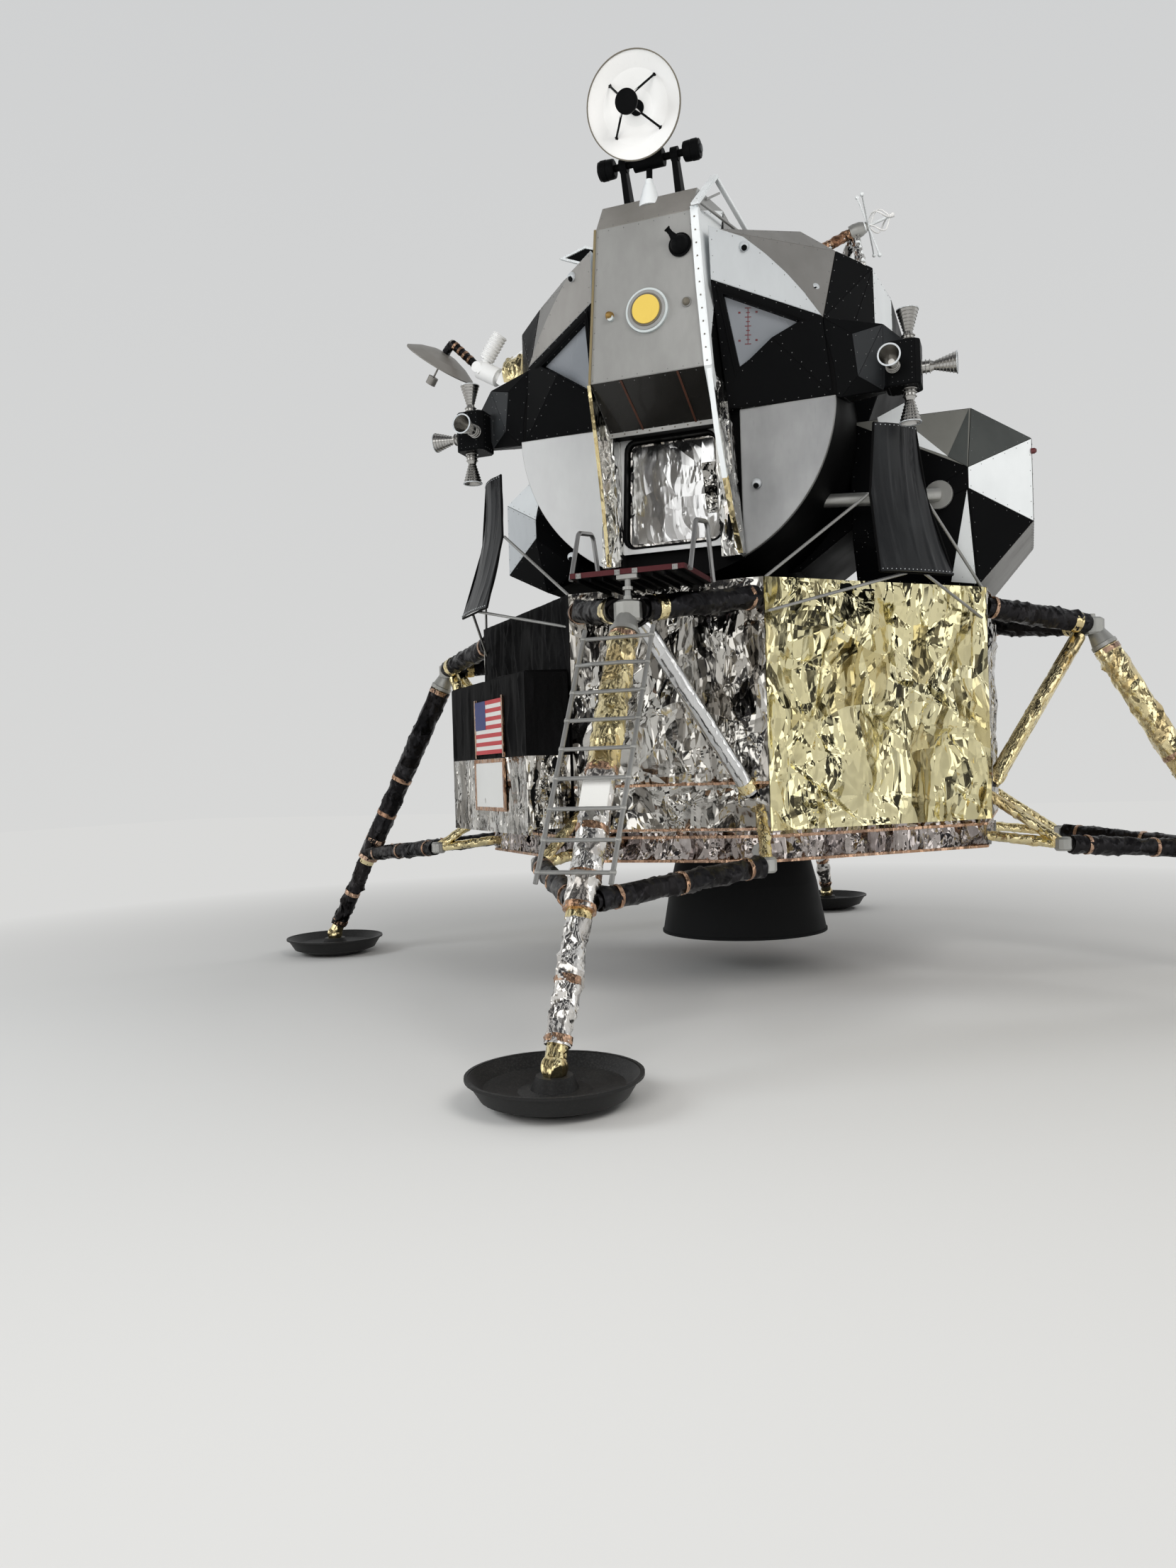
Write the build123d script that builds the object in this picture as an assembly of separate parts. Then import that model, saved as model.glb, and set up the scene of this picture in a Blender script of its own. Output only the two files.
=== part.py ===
"""Lunar lander: a two-stage crewed lander that stands on four braced legs.

The origin is on the ground under the middle of the vehicle, +Z is up, and the ladder, porch and
forward hatch face -Y. All sizes are in millimetres. The lower stage is an octagon with one leg on
each axis face. The upper stage is a crew cabin lying along Y, a midsection with the docking tunnel,
two side tank covers and an equipment bay at the back.
"""
from build123d import *
import math
import os

os.makedirs("parts", exist_ok=True)

# Lower stage body
BODY_HALF = 2105.0  # half the distance across the leg faces
LEG_FACE_HALF = 720.0  # half the width of a leg face
BODY_LOW = 1320.0
BODY_TOP = 3000.0
DECK_THICK = 60.0
BLANKET = 45.0  # depth of the foil blankets on the eight sides
BAY_HALF = 700.0  # half the width of the engine bay
BAY_TOP = 2700.0
SHIELD_LOW = 1100.0
SHIELD_TOP = BODY_LOW + 30.0
SHIELD_HOLE = 722.0  # radius of the hole that the engine swings in

# Engine
GIMBAL_HEIGHT = 1850.0
GIMBAL_RING = 330.0  # outer radius of the gimbal ring
GIMBAL_TUBE = 40.0
GIMBAL_PIN = 22.0
CHAMBER_RADIUS = 200.0
THROAT_RADIUS = 120.0
THROAT_HEIGHT = 1600.0
BELL_LOW = 340.0
BELL_WALL = 14.0
BELL_PROFILE = [  # radius and height
    (330.0, 1440.0),
    (470.0, 1270.0),
    (560.0, 1080.0),
    (640.0, 760.0),
    (715.0, 340.0),
]
MOUNT_GAP, MOUNT_WIDE, MOUNT_HALF = 60.0, 50.0, 60.0  # hangers of the gimbal ring

# Legs: r is the distance out from the middle, s is sideways
APEX_R, APEX_Z = 2870.0, 2800.0
PAD_R, BALL_Z = 4285.0, 200.0
PAD_RADIUS = 470.0
PAD_HEIGHT = 170.0
BALL_RADIUS = 75.0
STRUT_RADIUS = 78.0
PISTON_RADIUS = 60.0
KNEE_Z = 1020.0  # height where the secondary struts meet the primary strut
OUTRIGGER_RADIUS = 62.0
DIAGONAL_RADIUS = 42.0
TRUSS_RADIUS = 32.0
SECONDARY_RADIUS = 52.0
TRUSS_END = (800.0, 2600.0, 1130.0)  # s, r, z of the outer end of a lower truss

# Ladder and porch
LADDER_HALF = 228.0
LADDER_TOP_Z, LADDER_LOW_Z = 2600.0, 1200.0
LADDER_TOP_OFF, LADDER_LOW_OFF = 116.0, 174.0  # from the strut's centre line out to the end rungs
RUNG_COUNT = 9
RUNG_RADIUS = 12.5
RAIL_RADIUS = 15.0
RAIL_END = 70.0  # how far the rails run past the end rungs
BOWED_RUNG = 1  # the second rung goes round the strut
BOW_HALF = 110.0
BOW_DEPTH = 70.0
BOW_BEND = 35.0
BRACKET_HALF, BRACKET_DEPTH = 30.0, 12.0
BRACKET_STEPS = (4, 6, 8)  # rungs with a block to the strut
PORCH_HALF = 385.0
PORCH_FRONT = 2880.0
PORCH_BACK = 2230.0
PORCH_LOW = 3030.0
PORCH_THICK = 38.0
PORCH_CARRIER = 250.0  # distance of the two carriers from the middle
RAIL_HEIGHT = 345.0
RAIL_TUBE = 16.0
RAIL_OFF = 26.0  # from the side of the porch to the rail's centre line
RAIL_STUB = 13.0

# Upper stage
CABIN_RADIUS = 1200.0
CABIN_WALL = 60.0
CABIN_Z = 4360.0
CABIN_FRONT = 1700.0
CABIN_BACK = 630.0
BULKHEAD = 60.0
FACE_Y = CABIN_FRONT + BULKHEAD  # front of the pressure bulkhead
HATCH_TOP, HATCH_LOW = 4185.0, 3430.0
HATCH_TOP_HALF, HATCH_LOW_HALF = 325.0, 355.0
HATCH_THICK = 55.0
HATCH_GAP = 10.0
HATCH_CORNER = 60.0
FRAME_DEPTH = 60.0
NOSE_Y = 2300.0
NOSE_TOP_HALF, NOSE_LOW_HALF = 350.0, 430.0
NOSE_TOP_Z, NOSE_LOW_Z = 5560.0, 4495.0
UNDERCUT_Y, UNDERCUT_Z = 1990.0, 4215.0
ROOF_Z = 5780.0
MID_BACK = 690.0  # back of the midsection
TUNNEL_RADIUS = 406.0
TUNNEL_WALL = 60.0
TUNNEL_TOP = 6080.0
TUNNEL_LOW = 5300.0
CREW_SPACE_HALF = 490.0

# Clearances
RUN_GAP = 0.5  # pins in their eyes


# Shape helpers
def rod(start, end, radius):
    """Round bar between two points."""
    start, end = Vector(*start), Vector(*end)
    return Solid.make_cylinder(radius, (end - start).length, Plane(origin=start, z_dir=end - start))


def taper(start, end, start_radius, end_radius):
    """Round bar whose radius changes between its ends."""
    start, end = Vector(*start), Vector(*end)
    plane = Plane(origin=start, z_dir=end - start)
    return Solid.make_cone(start_radius, end_radius, (end - start).length, plane)


def ball(centre, radius):
    """Sphere about a point."""
    return Pos(*centre) * Sphere(radius)


def plate(points, sweep):
    """Flat outline in space, pushed along a vector."""
    return Solid.extrude(Face(Wire.make_polygon(points, close=True)), Vector(*sweep))


def prism(outline, low, high):
    """Upright prism over an outline in plan."""
    return plate([(x, y, low) for x, y in outline], (0, 0, high - low))


def block(low, high):
    """Box between two opposite corners."""
    size = [b - a for a, b in zip(low, high)]
    middle = [(a + b) / 2 for a, b in zip(low, high)]
    return Pos(*middle) * Box(*size)


def hull(*points):
    """Faceted cover over a set of corner points."""
    return ConvexPolyhedron(points).solid()


def spun(outline, centre=(0, 0, 0), direction=(0, 0, 1)):
    """Ring or bowl from an outline of (radius, height) pairs, turned about a direction."""
    profile = Face(Wire.make_polygon([(r, 0, h) for r, h in outline], close=True))
    turned = revolve(profile, Axis.Z)
    return Plane(origin=Vector(*centre), z_dir=Vector(*direction)) * turned


def both_sides(shape):
    """A shape and its mirror image across the middle of the lander."""
    return [shape, mirror(shape, about=Plane.YZ)]


def four_times(shapes):
    """Shapes repeated at the four quarter turns."""
    return [Rot(0, 0, 90 * turn) * shape for turn in range(4) for shape in shapes]


def four_corners(shapes):
    """Shapes of the front right corner mirrored to the other three."""
    front_pair = [half for shape in shapes for half in both_sides(shape)]
    return front_pair + [mirror(shape, about=Plane.XZ) for shape in front_pair]


def save(node, *shapes):
    """Writes one node, made of one or more solids."""
    solids = [solid for shape in shapes for solid in shape.solids()]
    export_step(Compound(solids) if len(solids) > 1 else solids[0], f"parts/{node}.step")


def octagon(inset=0.0):
    """Plan of the lower stage, with every side moved in by the same distance."""
    a = BODY_HALF - inset
    b = LEG_FACE_HALF - inset * (math.sqrt(2) - 1)
    return [(b, -a), (a, -b), (a, b), (b, a), (-b, a), (-a, b), (-a, -b), (-b, -a)]


# Lower stage body
def descent_core():
    """Octagonal structure with the engine bay open below."""
    core = prism(octagon(BLANKET), SHIELD_TOP, BODY_TOP)
    bay = block((-BAY_HALF, -BAY_HALF, BODY_LOW - 1), (BAY_HALF, BAY_HALF, BAY_TOP))
    return core - bay


def blankets(first_side):
    """Every second side blanket, mitred at the corners of the octagon."""
    outer, inner = octagon(), octagon(BLANKET)
    sides = range(first_side, 8, 2)
    outlines = [[outer[i], outer[(i + 1) % 8], inner[(i + 1) % 8], inner[i]] for i in sides]
    return [prism(outline, BODY_LOW, BODY_TOP) for outline in outlines]


def base_heat_shield():
    """Thick shield under the stage with the hole that the engine hangs through."""
    shield = prism(octagon(BLANKET), SHIELD_LOW, SHIELD_TOP)
    bay = block((-BAY_HALF, -BAY_HALF, BODY_LOW), (BAY_HALF, BAY_HALF, SHIELD_TOP + 1))
    return shield - bay - rod((0, 0, SHIELD_LOW - 1), (0, 0, BODY_LOW + 1), SHIELD_HOLE)


def descent_deck():
    """Octagonal top deck."""
    return prism(octagon(), BODY_TOP, BODY_TOP + DECK_THICK)


# Engine on its two-axis gimbal
def engine_gimbal_mounts():
    """Two hangers from the bay ceiling that carry the ring on pins along X."""
    pieces = []
    for side in (-1, 1):
        x = side * (GIMBAL_RING + MOUNT_GAP)
        near, far = sorted((x, x + side * MOUNT_WIDE))
        hanger = block((near, -MOUNT_HALF, GIMBAL_HEIGHT - MOUNT_HALF), (far, MOUNT_HALF, BAY_TOP))
        pin_start = (side * (GIMBAL_RING - GIMBAL_TUBE), 0, GIMBAL_HEIGHT)
        pieces.append(hanger + rod(pin_start, (x + side, 0, GIMBAL_HEIGHT), GIMBAL_PIN))
    return pieces


def engine_gimbal_ring():
    """Square-section ring with eyes for the pins along X and Y."""
    outline = [
        (GIMBAL_RING - GIMBAL_TUBE, -GIMBAL_TUBE),
        (GIMBAL_RING, -GIMBAL_TUBE),
        (GIMBAL_RING, GIMBAL_TUBE),
        (GIMBAL_RING - GIMBAL_TUBE, GIMBAL_TUBE),
    ]
    ring = spun(outline, (0, 0, GIMBAL_HEIGHT))
    for axis in ((1, 0), (0, 1)):
        reach = GIMBAL_RING + 20
        eye = rod(
            (-axis[0] * reach, -axis[1] * reach, GIMBAL_HEIGHT),
            (axis[0] * reach, axis[1] * reach, GIMBAL_HEIGHT),
            GIMBAL_PIN + RUN_GAP,
        )
        ring -= eye
    return ring


def descent_engine():
    """Chamber, throat and bell with two pins along Y, open at the bottom."""
    top = GIMBAL_HEIGHT + 90
    outer = [(0, top), (CHAMBER_RADIUS, top), (CHAMBER_RADIUS, THROAT_HEIGHT + 120)]
    outer += [(THROAT_RADIUS, THROAT_HEIGHT), *BELL_PROFILE]
    inner = [(radius - BELL_WALL, z) for radius, z in reversed(BELL_PROFILE)]
    inner += [(THROAT_RADIUS - 40, THROAT_HEIGHT), (0, THROAT_HEIGHT)]
    engine = spun(outer + inner)
    for side in (-1, 1):
        start = (0, side * (CHAMBER_RADIUS - 10), GIMBAL_HEIGHT)
        engine += rod(start, (0, side * (GIMBAL_RING + 10), GIMBAL_HEIGHT), GIMBAL_PIN)
    return engine


def lower_stage_envelope():
    """Outside of the lower stage with its deck and base pan."""
    body = prism(octagon(), BODY_LOW, BODY_TOP + DECK_THICK)
    return body + prism(octagon(BLANKET), SHIELD_LOW, BODY_LOW)


# Legs, built at the front and turned to the other sides
def at_leg(s, r, z):
    """Point of the front leg from its sideways and outward distances."""
    return (s, -r, z)


def on_primary(z):
    """Point on the centre line of the primary strut at a height."""
    share = (APEX_Z - z) / (APEX_Z - BALL_Z)
    return at_leg(0, APEX_R + share * (PAD_R - APEX_R), z)


def primary_strut():
    """Cylinder, piston, upper fork and lower ball of one leg."""
    strut = rod(on_primary(APEX_Z - 160), on_primary(KNEE_Z - 90), STRUT_RADIUS)
    strut += taper(on_primary(APEX_Z), on_primary(APEX_Z - 161), 45, STRUT_RADIUS)
    strut += rod(on_primary(KNEE_Z - 60), on_primary(BALL_Z), PISTON_RADIUS)
    strut += ball(on_primary(BALL_Z), BALL_RADIUS)
    strut += rod(at_leg(0, APEX_R, APEX_Z - 60), at_leg(0, APEX_R, APEX_Z + 50), 70)
    return strut


def outriggers():
    """Two upper arms and two diagonals that hold the head of the leg."""
    pieces = []
    for side in (-1, 1):
        root = at_leg(side * 655, BODY_HALF, BODY_TOP - 70)
        pieces.append(rod(at_leg(side * 82, APEX_R - 30, APEX_Z + 5), root, OUTRIGGER_RADIUS))
        low_root = at_leg(side * 590, BODY_HALF, BODY_LOW + 260)
        pieces.append(rod(at_leg(side * 60, APEX_R - 90, APEX_Z - 70), low_root, DIAGONAL_RADIUS))
    return pieces


def lower_truss():
    """Two V frames from the bottom corners of the stage."""
    pieces = []
    s, r, z = TRUSS_END
    for side in (-1, 1):
        end = at_leg(side * s, r, z)
        upper = rod(at_leg(side * 640, BODY_HALF - BLANKET, BODY_LOW + 200), end, TRUSS_RADIUS)
        lower = rod(at_leg(side * 660, BODY_HALF - BLANKET, SHIELD_LOW + 90), end, TRUSS_RADIUS)
        upper += ball(end, TRUSS_RADIUS * 1.6)
        pieces += [upper, lower - upper]
    return pieces


def secondary_struts():
    """Two lower struts from the truss ends to the primary strut."""
    s, r, z = TRUSS_END
    knee_s, knee_r, knee_z = on_primary(KNEE_Z)
    pieces = []
    for side in (-1, 1):
        start = Vector(side * s, -r, z)
        end = Vector(side * 30, knee_r, knee_z)
        along = (end - start).normalized()
        pieces.append(rod(tuple(start + along * 50), tuple(end - along * 60), SECONDARY_RADIUS))
    return pieces


def leg_braces():
    """Every brace of one leg, cut back to the stage and to the primary strut."""
    strut = primary_strut()
    stage = lower_stage_envelope()
    return [shape - stage - strut for shape in outriggers() + lower_truss() + secondary_struts()]


def footpad():
    """Dished pad with a central socket boss."""
    outline = [
        (0, 0), (230, 0), (400, 60), (PAD_RADIUS, PAD_HEIGHT), (PAD_RADIUS - 16, PAD_HEIGHT),
        (380, 110), (200, 80), (130, 90), (100, 160), (0, 160),
    ]
    pad = spun(outline, at_leg(0, PAD_R, 0))
    return pad - ball(at_leg(0, PAD_R, BALL_Z), BALL_RADIUS + RUN_GAP)


# Ladder, porch and handrails
def ladder_point(s, share):
    """Point in the plane of the ladder, from 0 at the top rung to 1 at the bottom one."""
    z = LADDER_TOP_Z + share * (LADDER_LOW_Z - LADDER_TOP_Z)
    off = LADDER_TOP_OFF + share * (LADDER_LOW_OFF - LADDER_TOP_OFF)
    return at_leg(s, off - on_primary(z)[1], z)


def ladder_rails():
    """The two side tubes."""
    past = RAIL_END / (Vector(*ladder_point(0, 1)) - Vector(*ladder_point(0, 0))).length
    ends = [(side * LADDER_HALF, share) for side in (-1, 1) for share in (-past, 1 + past)]
    points = [ladder_point(s, share) for s, share in ends]
    return [rod(points[0], points[1], RAIL_RADIUS), rod(points[2], points[3], RAIL_RADIUS)]


def ladder_rungs():
    """Nine rungs, three of them with a block that holds the ladder off the strut."""
    rails = ladder_rails()
    strut = primary_strut()
    rungs = []
    for step in range(RUNG_COUNT):
        share = step / (RUNG_COUNT - 1)
        left, right = ladder_point(-LADDER_HALF, share), ladder_point(LADDER_HALF, share)
        rung = rod(left, right, RUNG_RADIUS)
        if step == BOWED_RUNG:
            bends = (ladder_point(-BOW_HALF, share), ladder_point(BOW_HALF, share))
            bow = [(x, y - BOW_DEPTH, z) for x, y, z in bends]
            path = FilletPolyline(left, *bow, right, radius=BOW_BEND)
            rung = sweep(Plane(origin=path @ 0, z_dir=path % 0) * Circle(RUNG_RADIUS), path=path)
        if step in BRACKET_STEPS:
            x, y, z = ladder_point(0, share)
            strut_y = on_primary(z)[1]
            rung += block((-BRACKET_HALF, y, z - BRACKET_DEPTH), (BRACKET_HALF, strut_y, z + BRACKET_DEPTH))
        rungs.append(rung - rails[0] - rails[1] - strut)
    return rungs


def porch():
    """Platform and its two carriers from the front of the stage."""
    deck = block(
        (-PORCH_HALF, -PORCH_FRONT, PORCH_LOW), (PORCH_HALF, -PORCH_BACK, PORCH_LOW + PORCH_THICK)
    )
    for side in (-1, 1):
        x = side * PORCH_CARRIER
        high = PORCH_LOW + PORCH_THICK - 5
        outline = [
            (-PORCH_BACK - 200, PORCH_LOW + 1),
            (-BODY_HALF - 5, PORCH_LOW - 30),
            (-BODY_HALF + 60, high),
            (-PORCH_BACK, high),
        ]
        deck += plate([(x - 20, y, z) for y, z in outline], (40, 0, 0))
    return deck - lower_stage_envelope()


def handrails():
    """Two inverted U rails on stubs from the side edges of the porch."""
    low = PORCH_LOW + 4
    front_y, back_y = -PORCH_FRONT + 60, -PORCH_BACK - 30
    stub_z = PORCH_LOW + PORCH_THICK / 2
    pieces = []
    for side in (-1, 1):
        x = side * (PORCH_HALF + RAIL_OFF)
        corners = [
            (x, front_y, low), (x, front_y + 160, low + RAIL_HEIGHT),
            (x, back_y - 130, low + RAIL_HEIGHT + 40), (x, back_y, low),
        ]
        path = FilletPolyline(*corners, radius=60)
        rail = sweep(Plane(origin=path @ 0, z_dir=path % 0) * Circle(RAIL_TUBE), path=path)
        for y in (front_y + 7, back_y - 5):
            rail += rod((side * PORCH_HALF, y, stub_z), (x, y, stub_z), RAIL_STUB)
        pieces.append(rail)
    return pieces


# Plume deflectors over the four diagonal sides
DEFLECTOR_ROWS = [  # distance out, half width, height
    (2205.0, 180.0, 4130.0),
    (2230.0, 245.0, 3630.0),
    (2400.0, 312.0, 3060.0),
]


def deflector_corners():
    """Corners of the sheet of the front right deflector."""
    across = Vector(1, 1, 0).normalized()
    outward = Vector(1, -1, 0).normalized()
    corners = []
    for distance, half, z in DEFLECTOR_ROWS:
        middle = outward * distance + Vector(0, 0, z)
        corners.append((middle - across * half, middle + across * half))
    return corners


def deflector():
    """Black sheet in two bends under a thruster."""
    rows = deflector_corners()
    outward = Vector(1, -1, 0).normalized() * 12
    sheet = None
    for upper, lower in zip(rows, rows[1:]):
        corners = [*upper, *lower]
        points = [tuple(p) for p in corners] + [tuple(p + outward) for p in corners]
        part = hull(*points)
        sheet = part if sheet is None else sheet + part
    return sheet


def deflector_frame():
    """Tubes that hold one deflector off the corners of the deck."""
    rows = deflector_corners()
    back = Vector(1, -1, 0).normalized() * -8
    keep_out = lower_stage_envelope() + deflector()
    low_z = BODY_TOP - 170
    deck_corners = [(LEG_FACE_HALF + 10, -BODY_HALF + 20), (BODY_HALF - 20, -LEG_FACE_HALF - 10)]
    tubes = []
    for index, (x, y) in enumerate(deck_corners):
        deck_point = (x, y, BODY_TOP + DECK_THICK + 5)
        high = rows[1][index] + back
        foot = (rows[2][0] + rows[2][1]) * 0.5 + back
        foot += (rows[2][index] - foot) * 0.25
        tubes.append(rod(tuple(high), deck_point, 11) - keep_out)
        tubes.append(rod(tuple(foot), (x, y, low_z), 11) - keep_out)
    return tubes


# Equipment pallet that folds down from the front left side
PALLET_ACROSS = Vector(1, -1, 0).normalized()
PALLET_OUT = Vector(-1, -1, 0).normalized()
PALLET_LEFT, PALLET_RIGHT = -840.0, 970.0  # ends along the side of the stage
PALLET_INNER = (BODY_HALF + LEG_FACE_HALF) / math.sqrt(2) + 30
PALLET_DEPTH = 330.0
PALLET_LOW = 1360.0
PALLET_SHOULDER = 2505.0
PALLET_TOP = 2520.0
PALLET_HINGE_T = 670.0
PALLET_HINGE_Z = PALLET_LOW - 20
PALLET_KNUCKLE = 50.0  # half the length of a knuckle


def at_pallet(t, out, z):
    """Point from its distance along the side, out from the middle, and height."""
    return tuple(PALLET_ACROSS * t + PALLET_OUT * out + Vector(0, 0, z))


def equipment_pallet():
    """Box with a nearly flat top and two hinge knuckles at its lower inner edge."""
    outer = PALLET_INNER + PALLET_DEPTH
    outline = [
        (PALLET_INNER, PALLET_LOW),
        (outer, PALLET_LOW),
        (outer, PALLET_SHOULDER),
        (PALLET_INNER, PALLET_TOP),
    ]
    section = [at_pallet(PALLET_LEFT, out, z) for out, z in outline]
    body = plate(section, tuple(PALLET_ACROSS * (PALLET_RIGHT - PALLET_LEFT)))
    hinge_out = PALLET_INNER + 25
    middles = (-PALLET_HINGE_T, PALLET_HINGE_T)
    ends = [(middle - PALLET_KNUCKLE, middle + PALLET_KNUCKLE) for middle in middles]
    for low, high in ends:
        start = at_pallet(low, hinge_out, PALLET_HINGE_Z)
        body += rod(start, at_pallet(high, hinge_out, PALLET_HINGE_Z), 24)
    for low, high in ends:
        start = at_pallet(low - 1, hinge_out, PALLET_HINGE_Z)
        body -= rod(start, at_pallet(high + 1, hinge_out, PALLET_HINGE_Z), 10 + RUN_GAP)
    return body


def pallet_hinges():
    """Brackets with pins that the pallet turns on."""
    hinge_out = PALLET_INNER + 25
    pieces = []
    for side in (-1, 1):
        t = side * PALLET_HINGE_T
        bracket = None
        for end in (-1, 1):
            face = t + end * 58
            lug = plate(
                [
                    at_pallet(face, PALLET_INNER - 30, PALLET_HINGE_Z - 22),
                    at_pallet(face, hinge_out + 12, PALLET_HINGE_Z - 22),
                    at_pallet(face, hinge_out + 12, PALLET_HINGE_Z + 8),
                    at_pallet(face, PALLET_INNER - 30, PALLET_HINGE_Z + 8),
                ],
                tuple(PALLET_ACROSS * end * 16),
            )
            bracket = lug if bracket is None else bracket + lug
        pin_ends = [at_pallet(t + reach, hinge_out, PALLET_HINGE_Z) for reach in (-70, 70)]
        pieces.append(bracket + rod(*pin_ends, 10))
    return pieces


# Crew cabin
def cabin_bore(radius, front, back):
    """Cylinder along Y on the centre line of the cabin."""
    return rod((0, -front, CABIN_Z), (0, -back, CABIN_Z), radius)


WINDOW_INNER_TOP = (505.0, 2150.0, 5020.0)
WINDOW_OUTER = (985.0, 1870.0, 4850.0)
WINDOW_INNER_LOW = (560.0, 1960.0, 4560.0)
PANEL_INNER_TOP = (440.0, 2200.0, 5110.0)
PANEL_OUTER = (1120.0, 1800.0, 4890.0)
PANEL_INNER_LOW = (450.0, 1850.0, 4330.0)
PANEL_OUTER_LOW = (1180.0, FACE_Y, 4330.0)
PANE_INSET = 45.0  # how far the glass sits behind the face of its panel
PANE_THICK = 14.0


def front(point):
    """Point on the viewer's right of the face, with its distance to the front as a plain number."""
    x, y, z = point
    return (x, -y, z)


def window_tunnel():
    """Three-sided hole behind the glass."""
    corners = [WINDOW_INNER_TOP, WINDOW_OUTER, WINDOW_INNER_LOW]
    near = [(x, -y - 200, z) for x, y, z in corners]
    far = [(x, -CABIN_FRONT + 30, z) for x, y, z in corners]
    return hull(*near, *far)


def window_panel():
    """Canted panel beside the nose with the triangular window."""
    body = hull(
        front(PANEL_INNER_TOP), front(PANEL_OUTER), front(PANEL_INNER_LOW), front(PANEL_OUTER_LOW),
        (440, -FACE_Y, 5110), (1120, -FACE_Y, 4890), (450, -FACE_Y, 4330),
    )
    return body - window_tunnel()


def window_pane():
    """Glass set back in its frame."""
    points = [Vector(*front(p)) for p in (WINDOW_INNER_TOP, WINDOW_OUTER, WINDOW_INNER_LOW)]
    inner = [tuple(p + Vector(0, PANE_INSET, 0)) for p in points]
    return plate(inner, (0, PANE_THICK, 0))


def hatch_outline(grow):
    """Tapered hatch outline with rounded corners, in the XZ plane."""
    top, low = HATCH_TOP + grow, HATCH_LOW - grow
    points = [
        (-HATCH_LOW_HALF - grow, low), (HATCH_LOW_HALF + grow, low),
        (HATCH_TOP_HALF + grow, top), (-HATCH_TOP_HALF - grow, top),
    ]
    face = make_face(Polyline(*[(x, z) for x, z in points], close=True))
    return fillet(face.vertices(), HATCH_CORNER + grow)


def hatch_prism(grow, front_y, back_y):
    """Hatch outline pushed along Y between two distances in front of the middle."""
    face = Plane(origin=(0, -front_y, 0), x_dir=(1, 0, 0), z_dir=(0, -1, 0)) * hatch_outline(grow)
    return extrude(face, -(front_y - back_y))


def cabin_barrel():
    """Pressure shell of the cabin."""
    return cabin_bore(CABIN_RADIUS, CABIN_FRONT, CABIN_BACK) - cabin_bore(
        CABIN_RADIUS - CABIN_WALL, CABIN_FRONT + 1, CABIN_BACK - 1
    )


def front_bulkhead():
    """Front wall with the hatchway and the two window openings."""
    wall = cabin_bore(CABIN_RADIUS, FACE_Y, CABIN_FRONT)
    wall -= hatch_prism(HATCH_GAP, FACE_Y + 10, CABIN_FRONT - 10)
    for tunnel in both_sides(window_tunnel()):
        wall -= tunnel
    for hinge in hatch_hinges():
        wall += hinge
    return wall


HINGE_X = -(HATCH_LOW_HALF + 32)
HINGE_Y = -(CABIN_FRONT - 18)
HINGE_ROWS = (HATCH_LOW + 130, HATCH_TOP - 130)


def forward_hatch():
    """Hatch door with its hinge straps and knuckles."""
    door = hatch_prism(0, FACE_Y - 5, FACE_Y - 5 - HATCH_THICK + 8)
    for z in HINGE_ROWS:
        strap = block((HINGE_X, HINGE_Y - 8, z - 30), (HINGE_X + 130, -CABIN_FRONT + 26, z + 30))
        strap += block((HINGE_X + 60, -CABIN_FRONT - 20, z - 30), (HINGE_X + 130, -CABIN_FRONT + 20, z + 30))
        door += strap + rod((HINGE_X, HINGE_Y, z - 30), (HINGE_X, HINGE_Y, z + 30), 16)
    for z in HINGE_ROWS:
        door -= rod((HINGE_X, HINGE_Y, z - 31), (HINGE_X, HINGE_Y, z + 31), 7 + RUN_GAP)
    return door


def hatch_hinges():
    """Lugs and pins on the inner side of the front wall."""
    pieces = []
    for z in HINGE_ROWS:
        bracket = rod((HINGE_X, HINGE_Y, z - 56), (HINGE_X, HINGE_Y, z + 56), 7)
        for low in (z - 56, z + 36):
            bracket += block((HINGE_X - 30, -CABIN_FRONT, low), (HINGE_X + 12, -CABIN_FRONT + 34, low + 20))
        pieces.append(bracket)
    return pieces


def hatch_frame():
    """Raised surround between the two side beams."""
    outer = block((-400, -FACE_Y - FRAME_DEPTH, HATCH_LOW - 60), (400, -FACE_Y, UNDERCUT_Z - 5))
    return outer - hatch_prism(HATCH_GAP, FACE_Y + FRAME_DEPTH + 10, FACE_Y - 10)


def face_beam():
    """Upright beside the hatch, from under the nose to the bottom of the cabin."""
    return hull(
        (400, -UNDERCUT_Y, UNDERCUT_Z), (480, -UNDERCUT_Y, UNDERCUT_Z),
        (400, -UNDERCUT_Y + 90, 3270), (520, -UNDERCUT_Y + 90, 3270),
        (400, -FACE_Y, UNDERCUT_Z), (480, -FACE_Y, UNDERCUT_Z), (400, -FACE_Y, 3270), (520, -FACE_Y, 3270),
    )


def lower_face_panel():
    """Silver quarter disc beside the hatch."""
    disc = rod((0, -FACE_Y - 40, CABIN_Z), (0, -FACE_Y, CABIN_Z), CABIN_RADIUS)
    keep = block((521, -FACE_Y - 41, 3000), (1300, -FACE_Y + 1, 4325))
    return disc & keep


def nose_fairing():
    """Block between the windows with the overhanging chin and the roof bevel."""
    right = [
        (NOSE_TOP_HALF, -NOSE_Y, NOSE_TOP_Z), (NOSE_LOW_HALF, -NOSE_Y, NOSE_LOW_Z),
        (NOSE_LOW_HALF - 30, -UNDERCUT_Y, UNDERCUT_Z), (NOSE_TOP_HALF, -NOSE_Y + 150, ROOF_Z),
        (NOSE_LOW_HALF, -FACE_Y, UNDERCUT_Z), (NOSE_LOW_HALF, -FACE_Y, ROOF_Z),
    ]
    return hull(*right, *[(-x, y, z) for x, y, z in right])


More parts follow.
